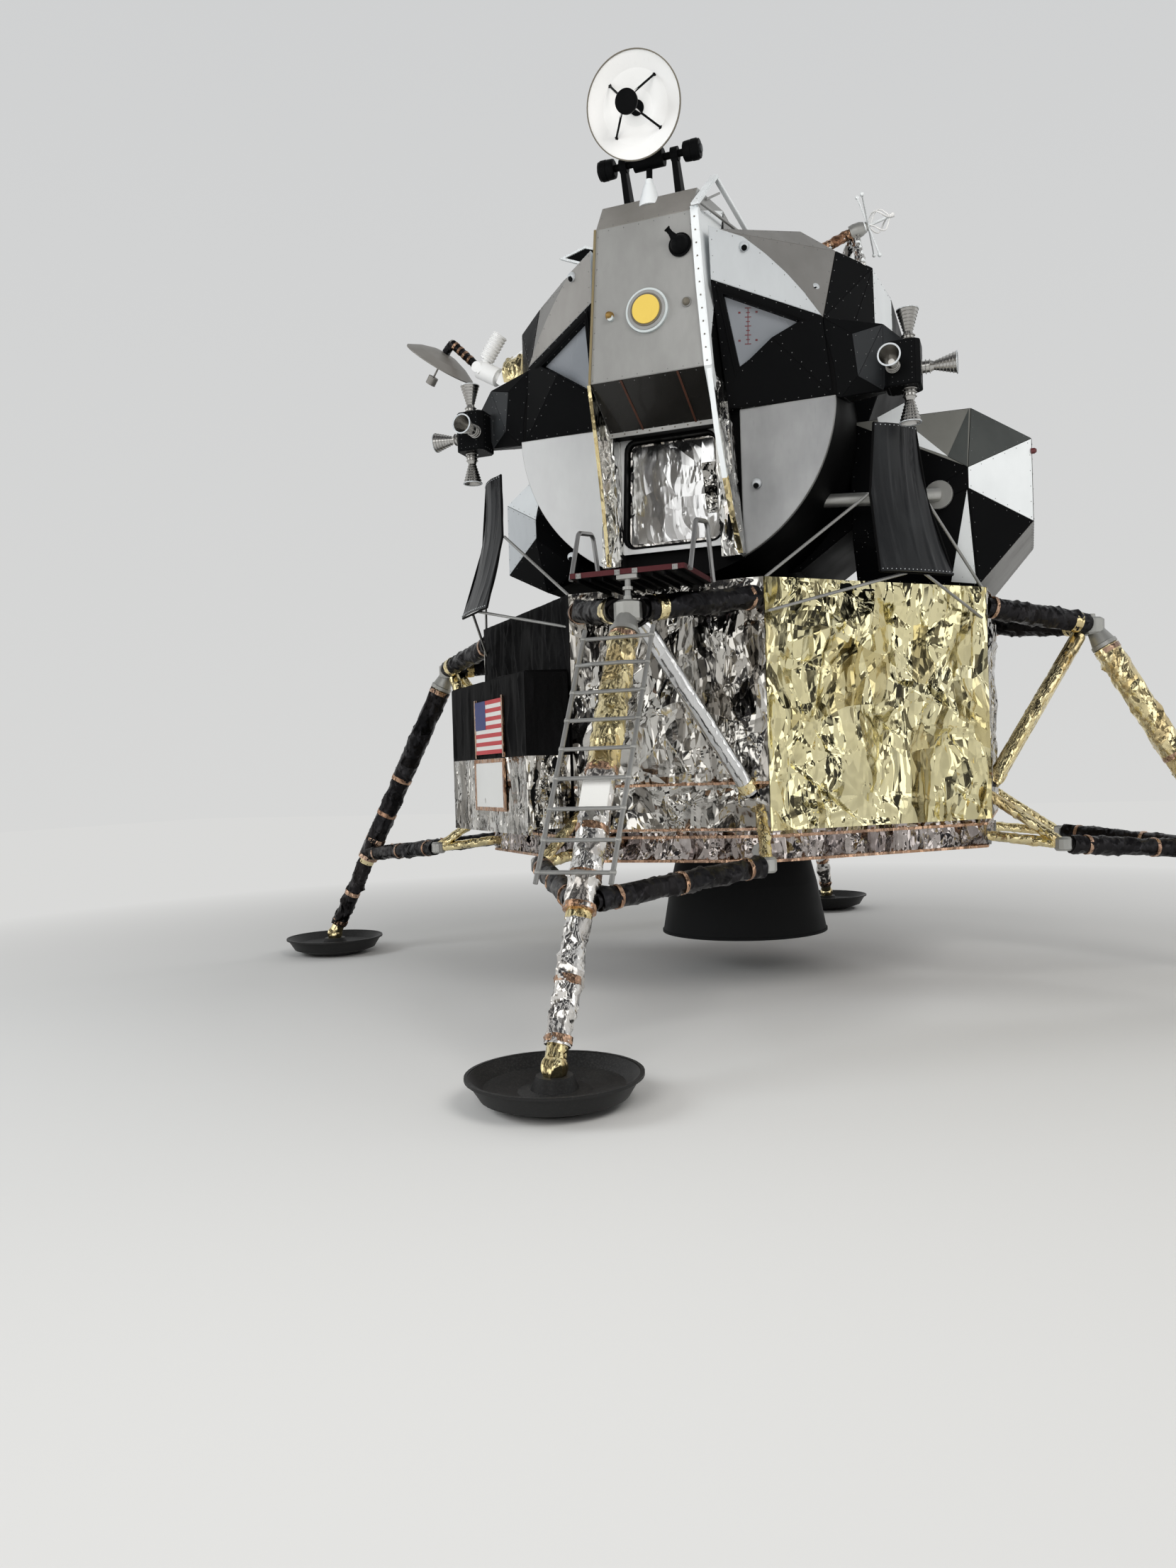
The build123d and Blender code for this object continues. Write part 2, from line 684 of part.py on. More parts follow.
def roof():
    """Flat cover over the barrel from the nose back to the midsection."""
    half = NOSE_LOW_HALF
    top = block((-half, -FACE_Y, CABIN_Z + 900), (half, -CABIN_BACK, ROOF_Z))
    return top - cabin_bore(CABIN_RADIUS, FACE_Y + 1, CABIN_BACK - 1)


BROW_TOP = (432.0, 2200.0, 5480.0)
BROW_ARC = [(640.0, 5415.0), (780.0, 5300.0), (905.0, 5175.0), (1020.0, 5035.0)]  # x and z of its outer edge
SHOULDER = {  # corners of the shoulder in the XZ plane
    "inner": (560.0, 5670.0),
    "top": (930.0, 5650.0),
    "edge": (1170.0, 5485.0),
    "side": (1410.0, 5385.0),
    "low": (1415.0, 4985.0),
    "under": (1280.0, 4860.0),
}


def brow_front(x):
    """Distance to the front of the flat brow at a distance from the middle."""
    (x1, y1, _), (x2, y2, _) = BROW_TOP, PANEL_OUTER
    return y1 + (y2 - y1) * (x - x1) / (x2 - x1)


def window_brow():
    """Bright wedge over the window, with a bowed outer edge."""
    bowed = [(x, -brow_front(x), z) for x, z in BROW_ARC]
    behind = [(x, -FACE_Y, z) for x, z in BROW_ARC]
    wedge = hull(
        front(BROW_TOP), front(PANEL_OUTER), (440, -2200, 5111), (440, -FACE_Y, 5111),
        (1120, -FACE_Y, 4891), (432, -FACE_Y, 5480), *bowed, *behind,
    )
    return wedge - nose_fairing()


SHOULDER_FRONT = {  # y of the front end of each of those corners
    "inner": -1500.0,
    "top": -1480.0,
    "edge": -1420.0,
    "side": -1250.0,
    "low": -1250.0,
    "under": -1500.0,
}
SHOULDER_FLARE = 60.0  # how much wider the black cover is at its back


def shoulder_rows(names, flare=0.0):
    """Front and back corners of the shoulder for some of its named places."""
    rows = [(SHOULDER[name][0], SHOULDER_FRONT[name], SHOULDER[name][1]) for name in names]
    return rows + [(x + flare, -CABIN_BACK, z) for x, _, z in rows]


def shoulder(cutter):
    """Sloping cover from the brow up to the roof and back to the midsection."""
    cover = hull(
        (431, -2100, 5500), (1122, -FACE_Y, 4893), (431, -FACE_Y, 5500),
        (1122, -CABIN_BACK, 4893), (431, -CABIN_BACK, 5500), *shoulder_rows(("inner", "top", "edge")),
    )
    return cover - cutter - window_brow()


def side_shoulder(cutter):
    """Black cover outside the shoulder, above the thruster arm."""
    edge_x, edge_z = SHOULDER["edge"]
    cover = hull(
        (edge_x + 2, SHOULDER_FRONT["edge"], edge_z), (edge_x + 2, -CABIN_BACK, edge_z),
        (1124, -FACE_Y, 4890), (1124, -CABIN_BACK, 4890),
        *shoulder_rows(("side", "low"), SHOULDER_FLARE), *shoulder_rows(("under",)),
    )
    return cover - cutter - window_brow()


# Midsection, tunnel and aft bay
MID_OUTLINE = [  # x and z of the right half, from the roof down
    (560, 5740),
    (930, 5650),
    (1170, 5485),
    (1470, 5385),
    (1475, 4985),
    (1210, 4300),
    (1150, 3650),
    (700, 3330),
]


def midsection_envelope():
    """Outside of the midsection."""
    right = [(x, -CABIN_BACK, z) for x, z in MID_OUTLINE]
    left = [(-x, -CABIN_BACK, z) for x, z in reversed(MID_OUTLINE)]
    return plate(right + left, (0, CABIN_BACK + MID_BACK, 0))


def midsection():
    """Closed body with the crew passage and the tunnel bore."""
    body = midsection_envelope()
    space = block(
        (-CREW_SPACE_HALF, -CABIN_BACK - 1, CABIN_Z - 60), (CREW_SPACE_HALF, MID_BACK - 180, TUNNEL_LOW)
    )
    body -= space + rod((0, 0, TUNNEL_LOW - 1), (0, 0, 5800), TUNNEL_RADIUS)
    return body + overhead_hinge()


def docking_tunnel():
    """Ring on the roof that another vehicle docks to."""
    outer = TUNNEL_RADIUS + TUNNEL_WALL
    outline = [
        (TUNNEL_RADIUS, 5740),
        (outer + 60, 5740),
        (outer + 60, 5790),
        (outer, 5830),
        (outer, TUNNEL_TOP - 40),
        (outer + 20, TUNNEL_TOP - 30),
        (outer + 20, TUNNEL_TOP),
        (TUNNEL_RADIUS, TUNNEL_TOP),
    ]
    return spun(outline)


OVER_RADIUS = TUNNEL_RADIUS + 20
OVER_TOP = TUNNEL_LOW - 6
OVER_HINGE = (OVER_RADIUS + 30, OVER_TOP - 20)


def overhead_hatch():
    """Round hatch under the tunnel with its knuckle at the back."""
    y, z = OVER_HINGE
    lid = rod((0, 0, OVER_TOP - 40), (0, 0, OVER_TOP), OVER_RADIUS)
    lid += block((-60, OVER_RADIUS - 60, z - 14), (60, y, z + 14)) + rod((-60, y, z), (60, y, z), 16)
    lid += rod((0, 0, OVER_TOP - 60), (0, 0, OVER_TOP - 39), OVER_RADIUS - 90)
    return lid - rod((-61, y, z), (61, y, z), 7 + RUN_GAP)


def overhead_hinge():
    """Pin and two lugs hung from the tunnel base."""
    y, z = OVER_HINGE
    bracket = rod((-90, y, z), (90, y, z), 7)
    for low in (-90, 66):
        bracket += block((low, y - 16, z - 16), (low + 24, y + 16, TUNNEL_LOW))
    return bracket


AFT_HALF = 1150.0
AFT_LOW, AFT_TOP = 3750.0, 5300.0
AFT_BACK = 1500.0  # where the back starts to slope in
AFT_END = 1740.0
AFT_BEVEL = 150.0  # inset of the sloped back on every side


def aft_bay():
    """Flat equipment rack on the back of the midsection."""
    rack = block((-AFT_HALF, MID_BACK, AFT_LOW), (AFT_HALF, AFT_BACK, AFT_TOP))
    corners = []
    for y, inset in ((AFT_BACK, 0), (AFT_END, AFT_BEVEL)):
        corners += [
            (side * (AFT_HALF - inset), y, z) for side in (-1, 1) for z in (AFT_LOW + inset, AFT_TOP - inset)
        ]
    return rack + hull(*corners)


def ascent_engine_cover():
    """Short can under the midsection that the upper stage's own engine sits in."""
    return taper((0, 0, 3330), (0, 0, BODY_TOP + DECK_THICK), 560, 430)


TANK_INNER = 1152.0
TANK_OUTER_CORNERS = [  # in from the reach, half depth, height
    (440.0, 980.0, 3920.0),
    (440.0, 980.0, 3765.0),
    (420.0, 700.0, 4430.0),
    (0.0, 600.0, 4170.0),
    (0.0, 600.0, 3550.0),
]
TANK_INNER_CORNERS = [(780.0, 4420.0), (800.0, 3500.0)]  # half depth, height


def tank_cover(reach, low):
    """Faceted cover over one side tank."""
    corners = [(reach - inset, half, z) for inset, half, z in TANK_OUTER_CORNERS]
    corners += [(TANK_INNER, half, z) for half, z in TANK_INNER_CORNERS]
    corners += [(reach - 400, 680, low), (TANK_INNER, 600, low + 120)]
    points = [(x, side * half, z) for x, half, z in corners for side in (-1, 1)]
    return hull(*points) - cabin_bore(CABIN_RADIUS, FACE_Y, CABIN_BACK) - midsection_envelope()


# Thruster quads, built at the front right and mirrored to the other corners
QUAD = (1650.0, -1690.0, 4480.0)
QUAD_HALF = 115.0
NOZZLE = {"collar": 40.0, "throat": 26.0, "exit": 72.0, "neck": 60.0, "length": 235.0, "wall": 6.0}


def nozzle(start, direction):
    """Small bell on a short chamber."""
    n = NOZZLE
    throat_z = n["neck"] + 25
    outline = [
        (0, 0), (n["collar"], 0), (n["collar"], n["neck"]), (n["throat"] + 4, throat_z),
        (n["exit"], n["length"]), (n["exit"] - n["wall"], n["length"]),
        (n["throat"] - 4, throat_z), (0, throat_z),
    ]
    return spun(outline, start, direction)


def thruster_housing():
    """Chamfered box that carries four nozzles."""
    x, y, z = QUAD
    box = block((x - QUAD_HALF, y - QUAD_HALF, z - 150), (x + QUAD_HALF, y + QUAD_HALF, z + 150))
    return chamfer(box.edges().filter_by(Axis.Z), 30)


def thruster_nozzles():
    """Up, down, forward and sideways nozzles of one quad."""
    x, y, z = QUAD
    return [
        nozzle((x + 35, y, z + 150), (0, 0, 1)), nozzle((x + 35, y, z - 150), (0, 0, -1)),
        nozzle((x - 60, y - QUAD_HALF, z - 20), (0, -1, 0)), nozzle((x + QUAD_HALF, y, z - 20), (1, 0, 0)),
    ]


ARM_FACE = [  # flat front beside the cabin's face, x and z
    (1122.0, 4888.0),
    (1318.0, 4743.0),
    (1350.0, 4446.0),
    (1231.0, 4318.0),
    (1150.0, 4330.0),
]
ARM_RIDGE = [(1515.0, -1660.0, 4810.0), (1505.0, -1660.0, 4355.0)]  # upright edge before the housing
ARM_END = [(1665.0, -1560.0, 4690.0), (1650.0, -1560.0, 4380.0)]  # behind the housing
ARM_ROOT = [(1190.0, -1100.0, 4480.0), (1400.0, -1150.0, 4930.0), (1400.0, -1150.0, 4700.0)]
REAR_ROOT = [(1100.0, 200.0), (1450.0, 150.0)]  # y and half height where the rear arm leaves the aft bay


def front_arm(cabin):
    """Fairing from the face and the shoulder to the front thruster housing."""
    arm = hull(*[(x, -FACE_Y + 2, z) for x, z in ARM_FACE], *ARM_RIDGE, *ARM_END, *ARM_ROOT)
    return arm - cabin - shoulder(cabin) - side_shoulder(cabin) - thruster_housing()


def rear_arm():
    """Fairing from the aft bay to the rear thruster housing."""
    x, y, z = QUAD[0] - QUAD_HALF, -QUAD[1], QUAD[2]
    ends = [(x, y + offset, z + rise) for offset in (20 - QUAD_HALF, 60) for rise in (-90, 90)]
    roots = [(AFT_HALF, root_y, z + side * half) for root_y, half in REAR_ROOT for side in (-1, 1)]
    return hull(*ends, *roots) - mirror(thruster_housing(), about=Plane.XZ)


# Tracking radar over the nose: a yoke that tips about X and a dish that turns across it
RADAR_Y, RADAR_Z = -2120.0, 6062.0
RADAR_POST = 190.0
RADAR_EYE = 48.0
RADAR_SHAFT = 24.0
RADAR_END = 370.0
RADAR_DISH_RADIUS = 330.0
RADAR_DISH_DEPTH = 90.0
RADAR_AIM = Vector(0, -0.944, -0.330)
RADAR_UP = Vector(0, -0.330, 0.944)
RADAR_VERTEX = Vector(0, -2350, 6305)
RADAR_PIVOT = RADAR_VERTEX - RADAR_AIM * 75
RADAR_EAR = 64.0  # from the pivot to the inner face of an ear
RADAR_PIN = 12.0


def radar_pedestal():
    """Two bearing posts on a base plate behind the roof bevel."""
    body = block(
        (-RADAR_POST - 60, RADAR_Y + 60, ROOF_Z - 30), (RADAR_POST + 60, RADAR_Y + 300, ROOF_Z + 14)
    )
    body -= nose_fairing()
    for side in (-1, 1):
        s = side * RADAR_POST
        post_rows = [(24, 70, ROOF_Z), (24, 200, ROOF_Z), (20, -30, RADAR_Z - 30), (20, 40, RADAR_Z)]
        body += hull(*[(s + sign * half, RADAR_Y + y, z) for half, y, z in post_rows for sign in (-1, 1)])
        body += rod((s - 26, RADAR_Y, RADAR_Z), (s + 26, RADAR_Y, RADAR_Z), RADAR_EYE)
    return body - rod(
        (-RADAR_POST - 50, RADAR_Y, RADAR_Z), (RADAR_POST + 50, RADAR_Y, RADAR_Z), RADAR_SHAFT + RUN_GAP
    )


def radar_yoke():
    """Shaft with end drums, middle hub, stem and the fork that holds the dish."""
    body = rod((-RADAR_END, RADAR_Y, RADAR_Z), (RADAR_END, RADAR_Y, RADAR_Z), RADAR_SHAFT)
    for side in (-1, 1):
        body += rod((side * (RADAR_END - 110), RADAR_Y, RADAR_Z), (side * RADAR_END, RADAR_Y, RADAR_Z), 64)
    body += rod((-110, RADAR_Y, RADAR_Z), (110, RADAR_Y, RADAR_Z), 60)
    spine = RADAR_PIVOT - RADAR_AIM * 62
    low, high = spine - RADAR_UP * (RADAR_EAR + 20), spine + RADAR_UP * (RADAR_EAR + 20)
    body += rod((0, RADAR_Y, RADAR_Z), tuple(low), 34)
    body += rod(tuple(low), tuple(high), 22)
    for side in (-1, 1):
        near = RADAR_UP * side * RADAR_EAR
        far = RADAR_UP * side * (RADAR_EAR + 20)
        body += rod(tuple(RADAR_PIVOT + near), tuple(RADAR_PIVOT + far), 34)
        middle = (near + far) * 0.5
        body += rod(tuple(RADAR_PIVOT + middle), tuple(spine + middle), 9.9)
    reach = RADAR_UP * (RADAR_EAR + 5)
    return body + rod(tuple(RADAR_PIVOT - reach), tuple(RADAR_PIVOT + reach), RADAR_PIN)


def dish_shape(vertex, aim, radius, depth, wall):
    """Thin bowl that opens along its aim."""
    bends = (0.0, 0.35, 0.7, 1.0)
    outer = [(radius * bend, depth * bend**2) for bend in bends]
    inner = [(r, h + wall) for r, h in reversed(outer)]
    return spun(outer + inner, tuple(vertex), tuple(aim))


def radar_dish():
    """Dish with its hub and the feed on four struts."""
    dish = dish_shape(RADAR_VERTEX, RADAR_AIM, RADAR_DISH_RADIUS, RADAR_DISH_DEPTH, 10)
    hub = rod(
        tuple(RADAR_PIVOT - RADAR_UP * (RADAR_EAR - 1)), tuple(RADAR_PIVOT + RADAR_UP * (RADAR_EAR - 1)), 36
    )
    dish += hub + rod(tuple(RADAR_PIVOT), tuple(RADAR_VERTEX + RADAR_AIM * 5), 30)
    focus = RADAR_VERTEX + RADAR_AIM * 235
    dish += rod(tuple(focus), tuple(focus + RADAR_AIM * 24), 72)
    across = Vector(1, 0, 0)
    for turn in range(4):
        angle = math.radians(45 + 90 * turn)
        side = across * math.cos(angle) + RADAR_UP * math.sin(angle)
        foot_radius = 0.7 * RADAR_DISH_RADIUS
        foot = RADAR_VERTEX + side * foot_radius + RADAR_AIM * (RADAR_DISH_DEPTH * 0.49 + 4)
        dish += rod(tuple(foot), tuple(focus + side * 50 + RADAR_AIM * 8), 6)
    reach = RADAR_UP * (RADAR_EAR + 5)
    return dish - rod(tuple(RADAR_PIVOT - reach), tuple(RADAR_PIVOT + reach), RADAR_PIN + RUN_GAP)


# Steerable dish on the viewer's left shoulder
STEER_Y = -1000.0
STEER_BASE = Vector(-1700, STEER_Y, 5130)
STEER_GIMBAL = Vector(-1930, STEER_Y, 5265)
STEER_TURN = (STEER_GIMBAL - STEER_BASE).normalized()
STEER_ELBOW = Vector(-2190, STEER_Y, 5530)
STEER_VERTEX = Vector(-2265, STEER_Y + 10, 5465)
STEER_AIM = Vector(-0.62, 0.14, -0.77).normalized()
STEER_DISH_RADIUS = 320.0


def steerable_base():
    """Ribbed foot on the shoulder and the bearing stub that the gimbal turns on."""
    side, low = SHOULDER["side"], SHOULDER["low"]
    foot = hull(
        (-side[0] - 6, STEER_Y - 130, side[1] - 40), (-side[0] - 40, STEER_Y + 130, side[1] - 40),
        (-low[0] - 6, STEER_Y - 130, low[1] + 60), (-low[0] - 40, STEER_Y + 130, low[1] + 60),
        (-1660, STEER_Y - 90, 5230), (-1660, STEER_Y + 90, 5230), (-1740, STEER_Y - 90, 5090),
        (-1740, STEER_Y + 90, 5090), (-1600, STEER_Y - 110, 4990), (-1600, STEER_Y + 110, 4990),
    )
    stub = rod(tuple(STEER_BASE - STEER_TURN * 40), tuple(STEER_BASE + STEER_TURN * 110), 45)
    return foot + stub - mirror(side_shoulder(cabin_bore(CABIN_RADIUS, FACE_Y, CABIN_BACK)), about=Plane.YZ)


def steerable_gimbal():
    """Housing that turns on the stub, with a slotted drive case and a cross pin."""
    start = STEER_BASE + STEER_TURN * 70
    body = rod(tuple(start), tuple(STEER_GIMBAL), 78)
    body -= rod(tuple(start - STEER_TURN), tuple(STEER_BASE + STEER_TURN * 112), 45 + RUN_GAP)
    case_low, case_high = STEER_GIMBAL + Vector(60, 0, 70), STEER_GIMBAL + Vector(200, 0, 260)
    body += rod(tuple(STEER_GIMBAL - STEER_TURN * 40 + Vector(20, 0, 30)), tuple(case_low), 40)
    body += rod(tuple(case_low), tuple(case_high), 62)
    for side in (-1, 1):
        ear_in = STEER_GIMBAL + Vector(0, side * 52, 0)
        ear_out = STEER_GIMBAL + Vector(0, side * 76, 0)
        body += rod(tuple(ear_in), tuple(ear_out), 46)
        web = [STEER_TURN * 30, STEER_TURN * -70, Vector(30, 0, 36), Vector(-30, 0, -36) - STEER_TURN * 50]
        body += hull(*[tuple(point + offset) for point in (ear_in, ear_out) for offset in web])
    hub_reach = Vector(0, 51.5, 0)
    body -= rod(tuple(STEER_GIMBAL - hub_reach), tuple(STEER_GIMBAL + hub_reach), 52)
    return body + rod(
        tuple(STEER_GIMBAL - Vector(0, 76, 0)), tuple(STEER_GIMBAL + Vector(0, 76, 0)), 13
    )


def steerable_dish():
    """Bent arm with the dish and its feed."""
    hub = rod(tuple(STEER_GIMBAL - Vector(0, 46, 0)), tuple(STEER_GIMBAL + Vector(0, 46, 0)), 40)
    body = hub + rod(tuple(STEER_GIMBAL), tuple(STEER_ELBOW), 30) + ball(tuple(STEER_ELBOW), 32)
    body += rod(tuple(STEER_ELBOW), tuple(STEER_VERTEX), 30)
    body += dish_shape(STEER_VERTEX, STEER_AIM, STEER_DISH_RADIUS, 100, 9)
    focus = STEER_VERTEX + STEER_AIM * 230
    body += rod(tuple(STEER_VERTEX), tuple(focus), 8) + rod(tuple(focus), tuple(focus + STEER_AIM * 70), 44)
    return body - rod(
        tuple(STEER_GIMBAL - Vector(0, 77, 0)), tuple(STEER_GIMBAL + Vector(0, 77, 0)), 13 + RUN_GAP
    )


# Small fittings
OMNI_HEAD = Vector(1382, -1200, 5722)
OMNI_AIM = Vector(0.957, 0.083, 0.277).normalized()
OMNI_FEET = ((1030.0, -1290.0), (1150.0, -1010.0), (1345.0, -1270.0))  # plan places of the three feet
OMNI_LEG = 28.0
OMNI_RAY = 300.0  # length of each of the four crossed rods
OMNI_BOOM = 165.0


def shoulder_height(x):
    """Height of the shoulder's outer surface at a distance from the middle."""
    corners = [SHOULDER["top"], SHOULDER["edge"], SHOULDER["side"]]
    pair = corners[:2] if x < SHOULDER["edge"][0] else corners[1:]
    (x1, z1), (x2, z2) = pair
    return z1 + (z2 - z1) * (x - x1) / (x2 - x1)


def omni_antenna():
    """Three-legged antenna on the right shoulder, with a boom and four crossed rods."""
    hub = OMNI_HEAD - OMNI_AIM * 105
    body = rod(tuple(hub), tuple(OMNI_HEAD - OMNI_AIM * 20), 40)
    body += rod(tuple(hub), tuple(OMNI_HEAD + OMNI_AIM * OMNI_BOOM), 11) + ball(tuple(hub), 45)
    for x, y in OMNI_FEET:
        body += rod((x, y, shoulder_height(x) - 20), tuple(hub), OMNI_LEG)
    sideways = OMNI_AIM.cross(Vector(0, 0, 1)).normalized()
    upward = sideways.cross(OMNI_AIM)
    for turn in range(4):
        angle = math.radians(20 + 90 * turn)
        tip = OMNI_HEAD + (sideways * math.cos(angle) + upward * math.sin(angle)) * OMNI_RAY
        body += rod(tuple(OMNI_HEAD), tuple(tip), 6) + ball(tuple(tip), 15)
    return body - shoulder(cabin_space) - side_shoulder(cabin_space)


LIGHT = (15.0, 4930.0)  # x and z of the fittings on the nose
COVER = (262.0, 5335.0)
KNOB = (-255.0, 4925.0)


def face_fittings():
    """Tracking light, half-round cover and small knob on the front of the nose."""
    light_x, light_z = LIGHT
    light = rod((light_x, -NOSE_Y - 20, light_z), (light_x, -NOSE_Y, light_z), 150)
    cover_x, cover_z = COVER
    in_front = block((cover_x - 100, -NOSE_Y - 100, cover_z - 100), (cover_x + 100, -NOSE_Y, cover_z + 100))
    cover = ball((cover_x, -NOSE_Y, cover_z), 62) & in_front
    knob_x, knob_z = KNOB
    knob = rod((knob_x, -NOSE_Y - 30, knob_z), (knob_x, -NOSE_Y, knob_z), 22)
    return [light, cover, knob]


# Writes every node
LEG_ORDER = ("front", "right", "rear", "left")
cabin_space = cabin_bore(CABIN_RADIUS, FACE_Y + 1, CABIN_BACK - 1)

save("descent_core", descent_core())
save("leg_face_blankets", *blankets(1))
save("quad_face_blankets", *blankets(0))
save("base_heat_shield", base_heat_shield())
save("descent_deck", descent_deck())
save("engine_gimbal_mounts", *engine_gimbal_mounts())
save("engine_gimbal_ring", engine_gimbal_ring())
save("descent_engine", descent_engine())
for turn, side in enumerate(LEG_ORDER):
    spin = Rot(0, 0, 90 * turn)
    save(f"{side}_primary_strut", spin * primary_strut())
    save(f"{side}_leg_braces", *[spin * shape for shape in leg_braces()])
    save(f"{side}_footpad", spin * footpad())
save("ladder_rails", *ladder_rails())
save("ladder_rungs", *ladder_rungs())
save("porch", porch())
save("porch_handrails", *handrails())
save("plume_deflectors", *four_times([deflector()]))
save("deflector_frames", *four_times(deflector_frame()))
save("equipment_pallet", equipment_pallet())
save("pallet_hinges", *pallet_hinges())
save("cabin_barrel", cabin_barrel())
save("front_bulkhead", front_bulkhead())
save("window_panels", *both_sides(window_panel()))
save("window_panes", *both_sides(window_pane()))
save("window_brows", *both_sides(window_brow()))
save("nose_fairing", nose_fairing())
save("cabin_roof", roof())
save("hatch_frame", hatch_frame())
save("forward_hatch", forward_hatch())
save("face_beams", *both_sides(face_beam()))
save("lower_face_panels", *both_sides(lower_face_panel()))
save("shoulder_covers", *both_sides(shoulder(cabin_space)))
save("side_shoulder_covers", *both_sides(side_shoulder(cabin_space)))
save("midsection", midsection())
save("docking_tunnel", docking_tunnel())
save("overhead_hatch", overhead_hatch())
save("aft_equipment_bay", aft_bay())
save("ascent_engine_can", ascent_engine_cover())
save("right_tank_cover", tank_cover(2460, 3090))
save("left_tank_cover", mirror(tank_cover(1900, 3350), about=Plane.YZ))
save("thruster_arms", *both_sides(front_arm(cabin_space)), *both_sides(rear_arm()))
save("thruster_housings", *four_corners([thruster_housing()]))
save("thruster_nozzles", *four_corners(thruster_nozzles()))
save("radar_pedestal", radar_pedestal())
save("radar_yoke", radar_yoke())
save("radar_dish", radar_dish())
save("steerable_base", steerable_base())
save("steerable_gimbal", steerable_gimbal())
save("steerable_dish", steerable_dish())
save("omni_antenna", omni_antenna())
save("face_fittings", *face_fittings())
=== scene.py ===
"""Looks of a two-stage lunar lander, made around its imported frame.

The frame gives every hard part at its real place. This script adds the finishes, the crumpled film,
the pleated cloth, the wrapped legs, the panels with their rivets and the small fittings of the front.
Lengths are in metres, +Z is up, and the ladder faces -Y.
"""
import logging
import math
from dataclasses import dataclass
from enum import Enum
from typing import Callable, Iterable, Optional, Sequence

import bmesh
import bpy
import numpy as np
from bpy.types import Material, Node, NodeSocket, NodeTree, Object
from mathutils import Matrix, Vector


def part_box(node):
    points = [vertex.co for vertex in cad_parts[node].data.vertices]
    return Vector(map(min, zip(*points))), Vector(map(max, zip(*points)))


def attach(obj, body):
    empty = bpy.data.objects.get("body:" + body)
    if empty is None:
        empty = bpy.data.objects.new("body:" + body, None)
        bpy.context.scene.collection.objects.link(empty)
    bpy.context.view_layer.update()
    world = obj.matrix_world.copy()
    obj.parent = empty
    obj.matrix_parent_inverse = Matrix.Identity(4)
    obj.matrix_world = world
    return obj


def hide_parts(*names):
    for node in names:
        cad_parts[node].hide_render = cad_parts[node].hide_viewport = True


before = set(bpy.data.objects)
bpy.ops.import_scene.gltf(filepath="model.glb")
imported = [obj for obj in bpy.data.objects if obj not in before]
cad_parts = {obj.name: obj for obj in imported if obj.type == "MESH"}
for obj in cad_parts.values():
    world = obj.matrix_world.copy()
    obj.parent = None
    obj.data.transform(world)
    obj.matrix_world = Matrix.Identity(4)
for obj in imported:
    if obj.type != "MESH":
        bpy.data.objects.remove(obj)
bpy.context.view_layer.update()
log = logging.getLogger("lander")
BODY = "lander"
Corner = Sequence[float]
Mesh = tuple[np.ndarray, list[tuple[int, ...]]]
UP = (0.0, 0.0, 1.0)
FRONT = (0.0, -1.0, 0.0)
RIGHT = (1.0, 0.0, 0.0)
ROOT_HALF = math.sqrt(0.5)


class Side(Enum):
    """The two sides of the lander as a viewer who faces the ladder sees them."""

    LEFT = -1
    RIGHT = 1


class Leg(Enum):
    """The four legs, with the quarter turns that bring the front one there."""

    FRONT = 0
    RIGHT = 1
    REAR = 2
    LEFT = 3


# Shader node groups

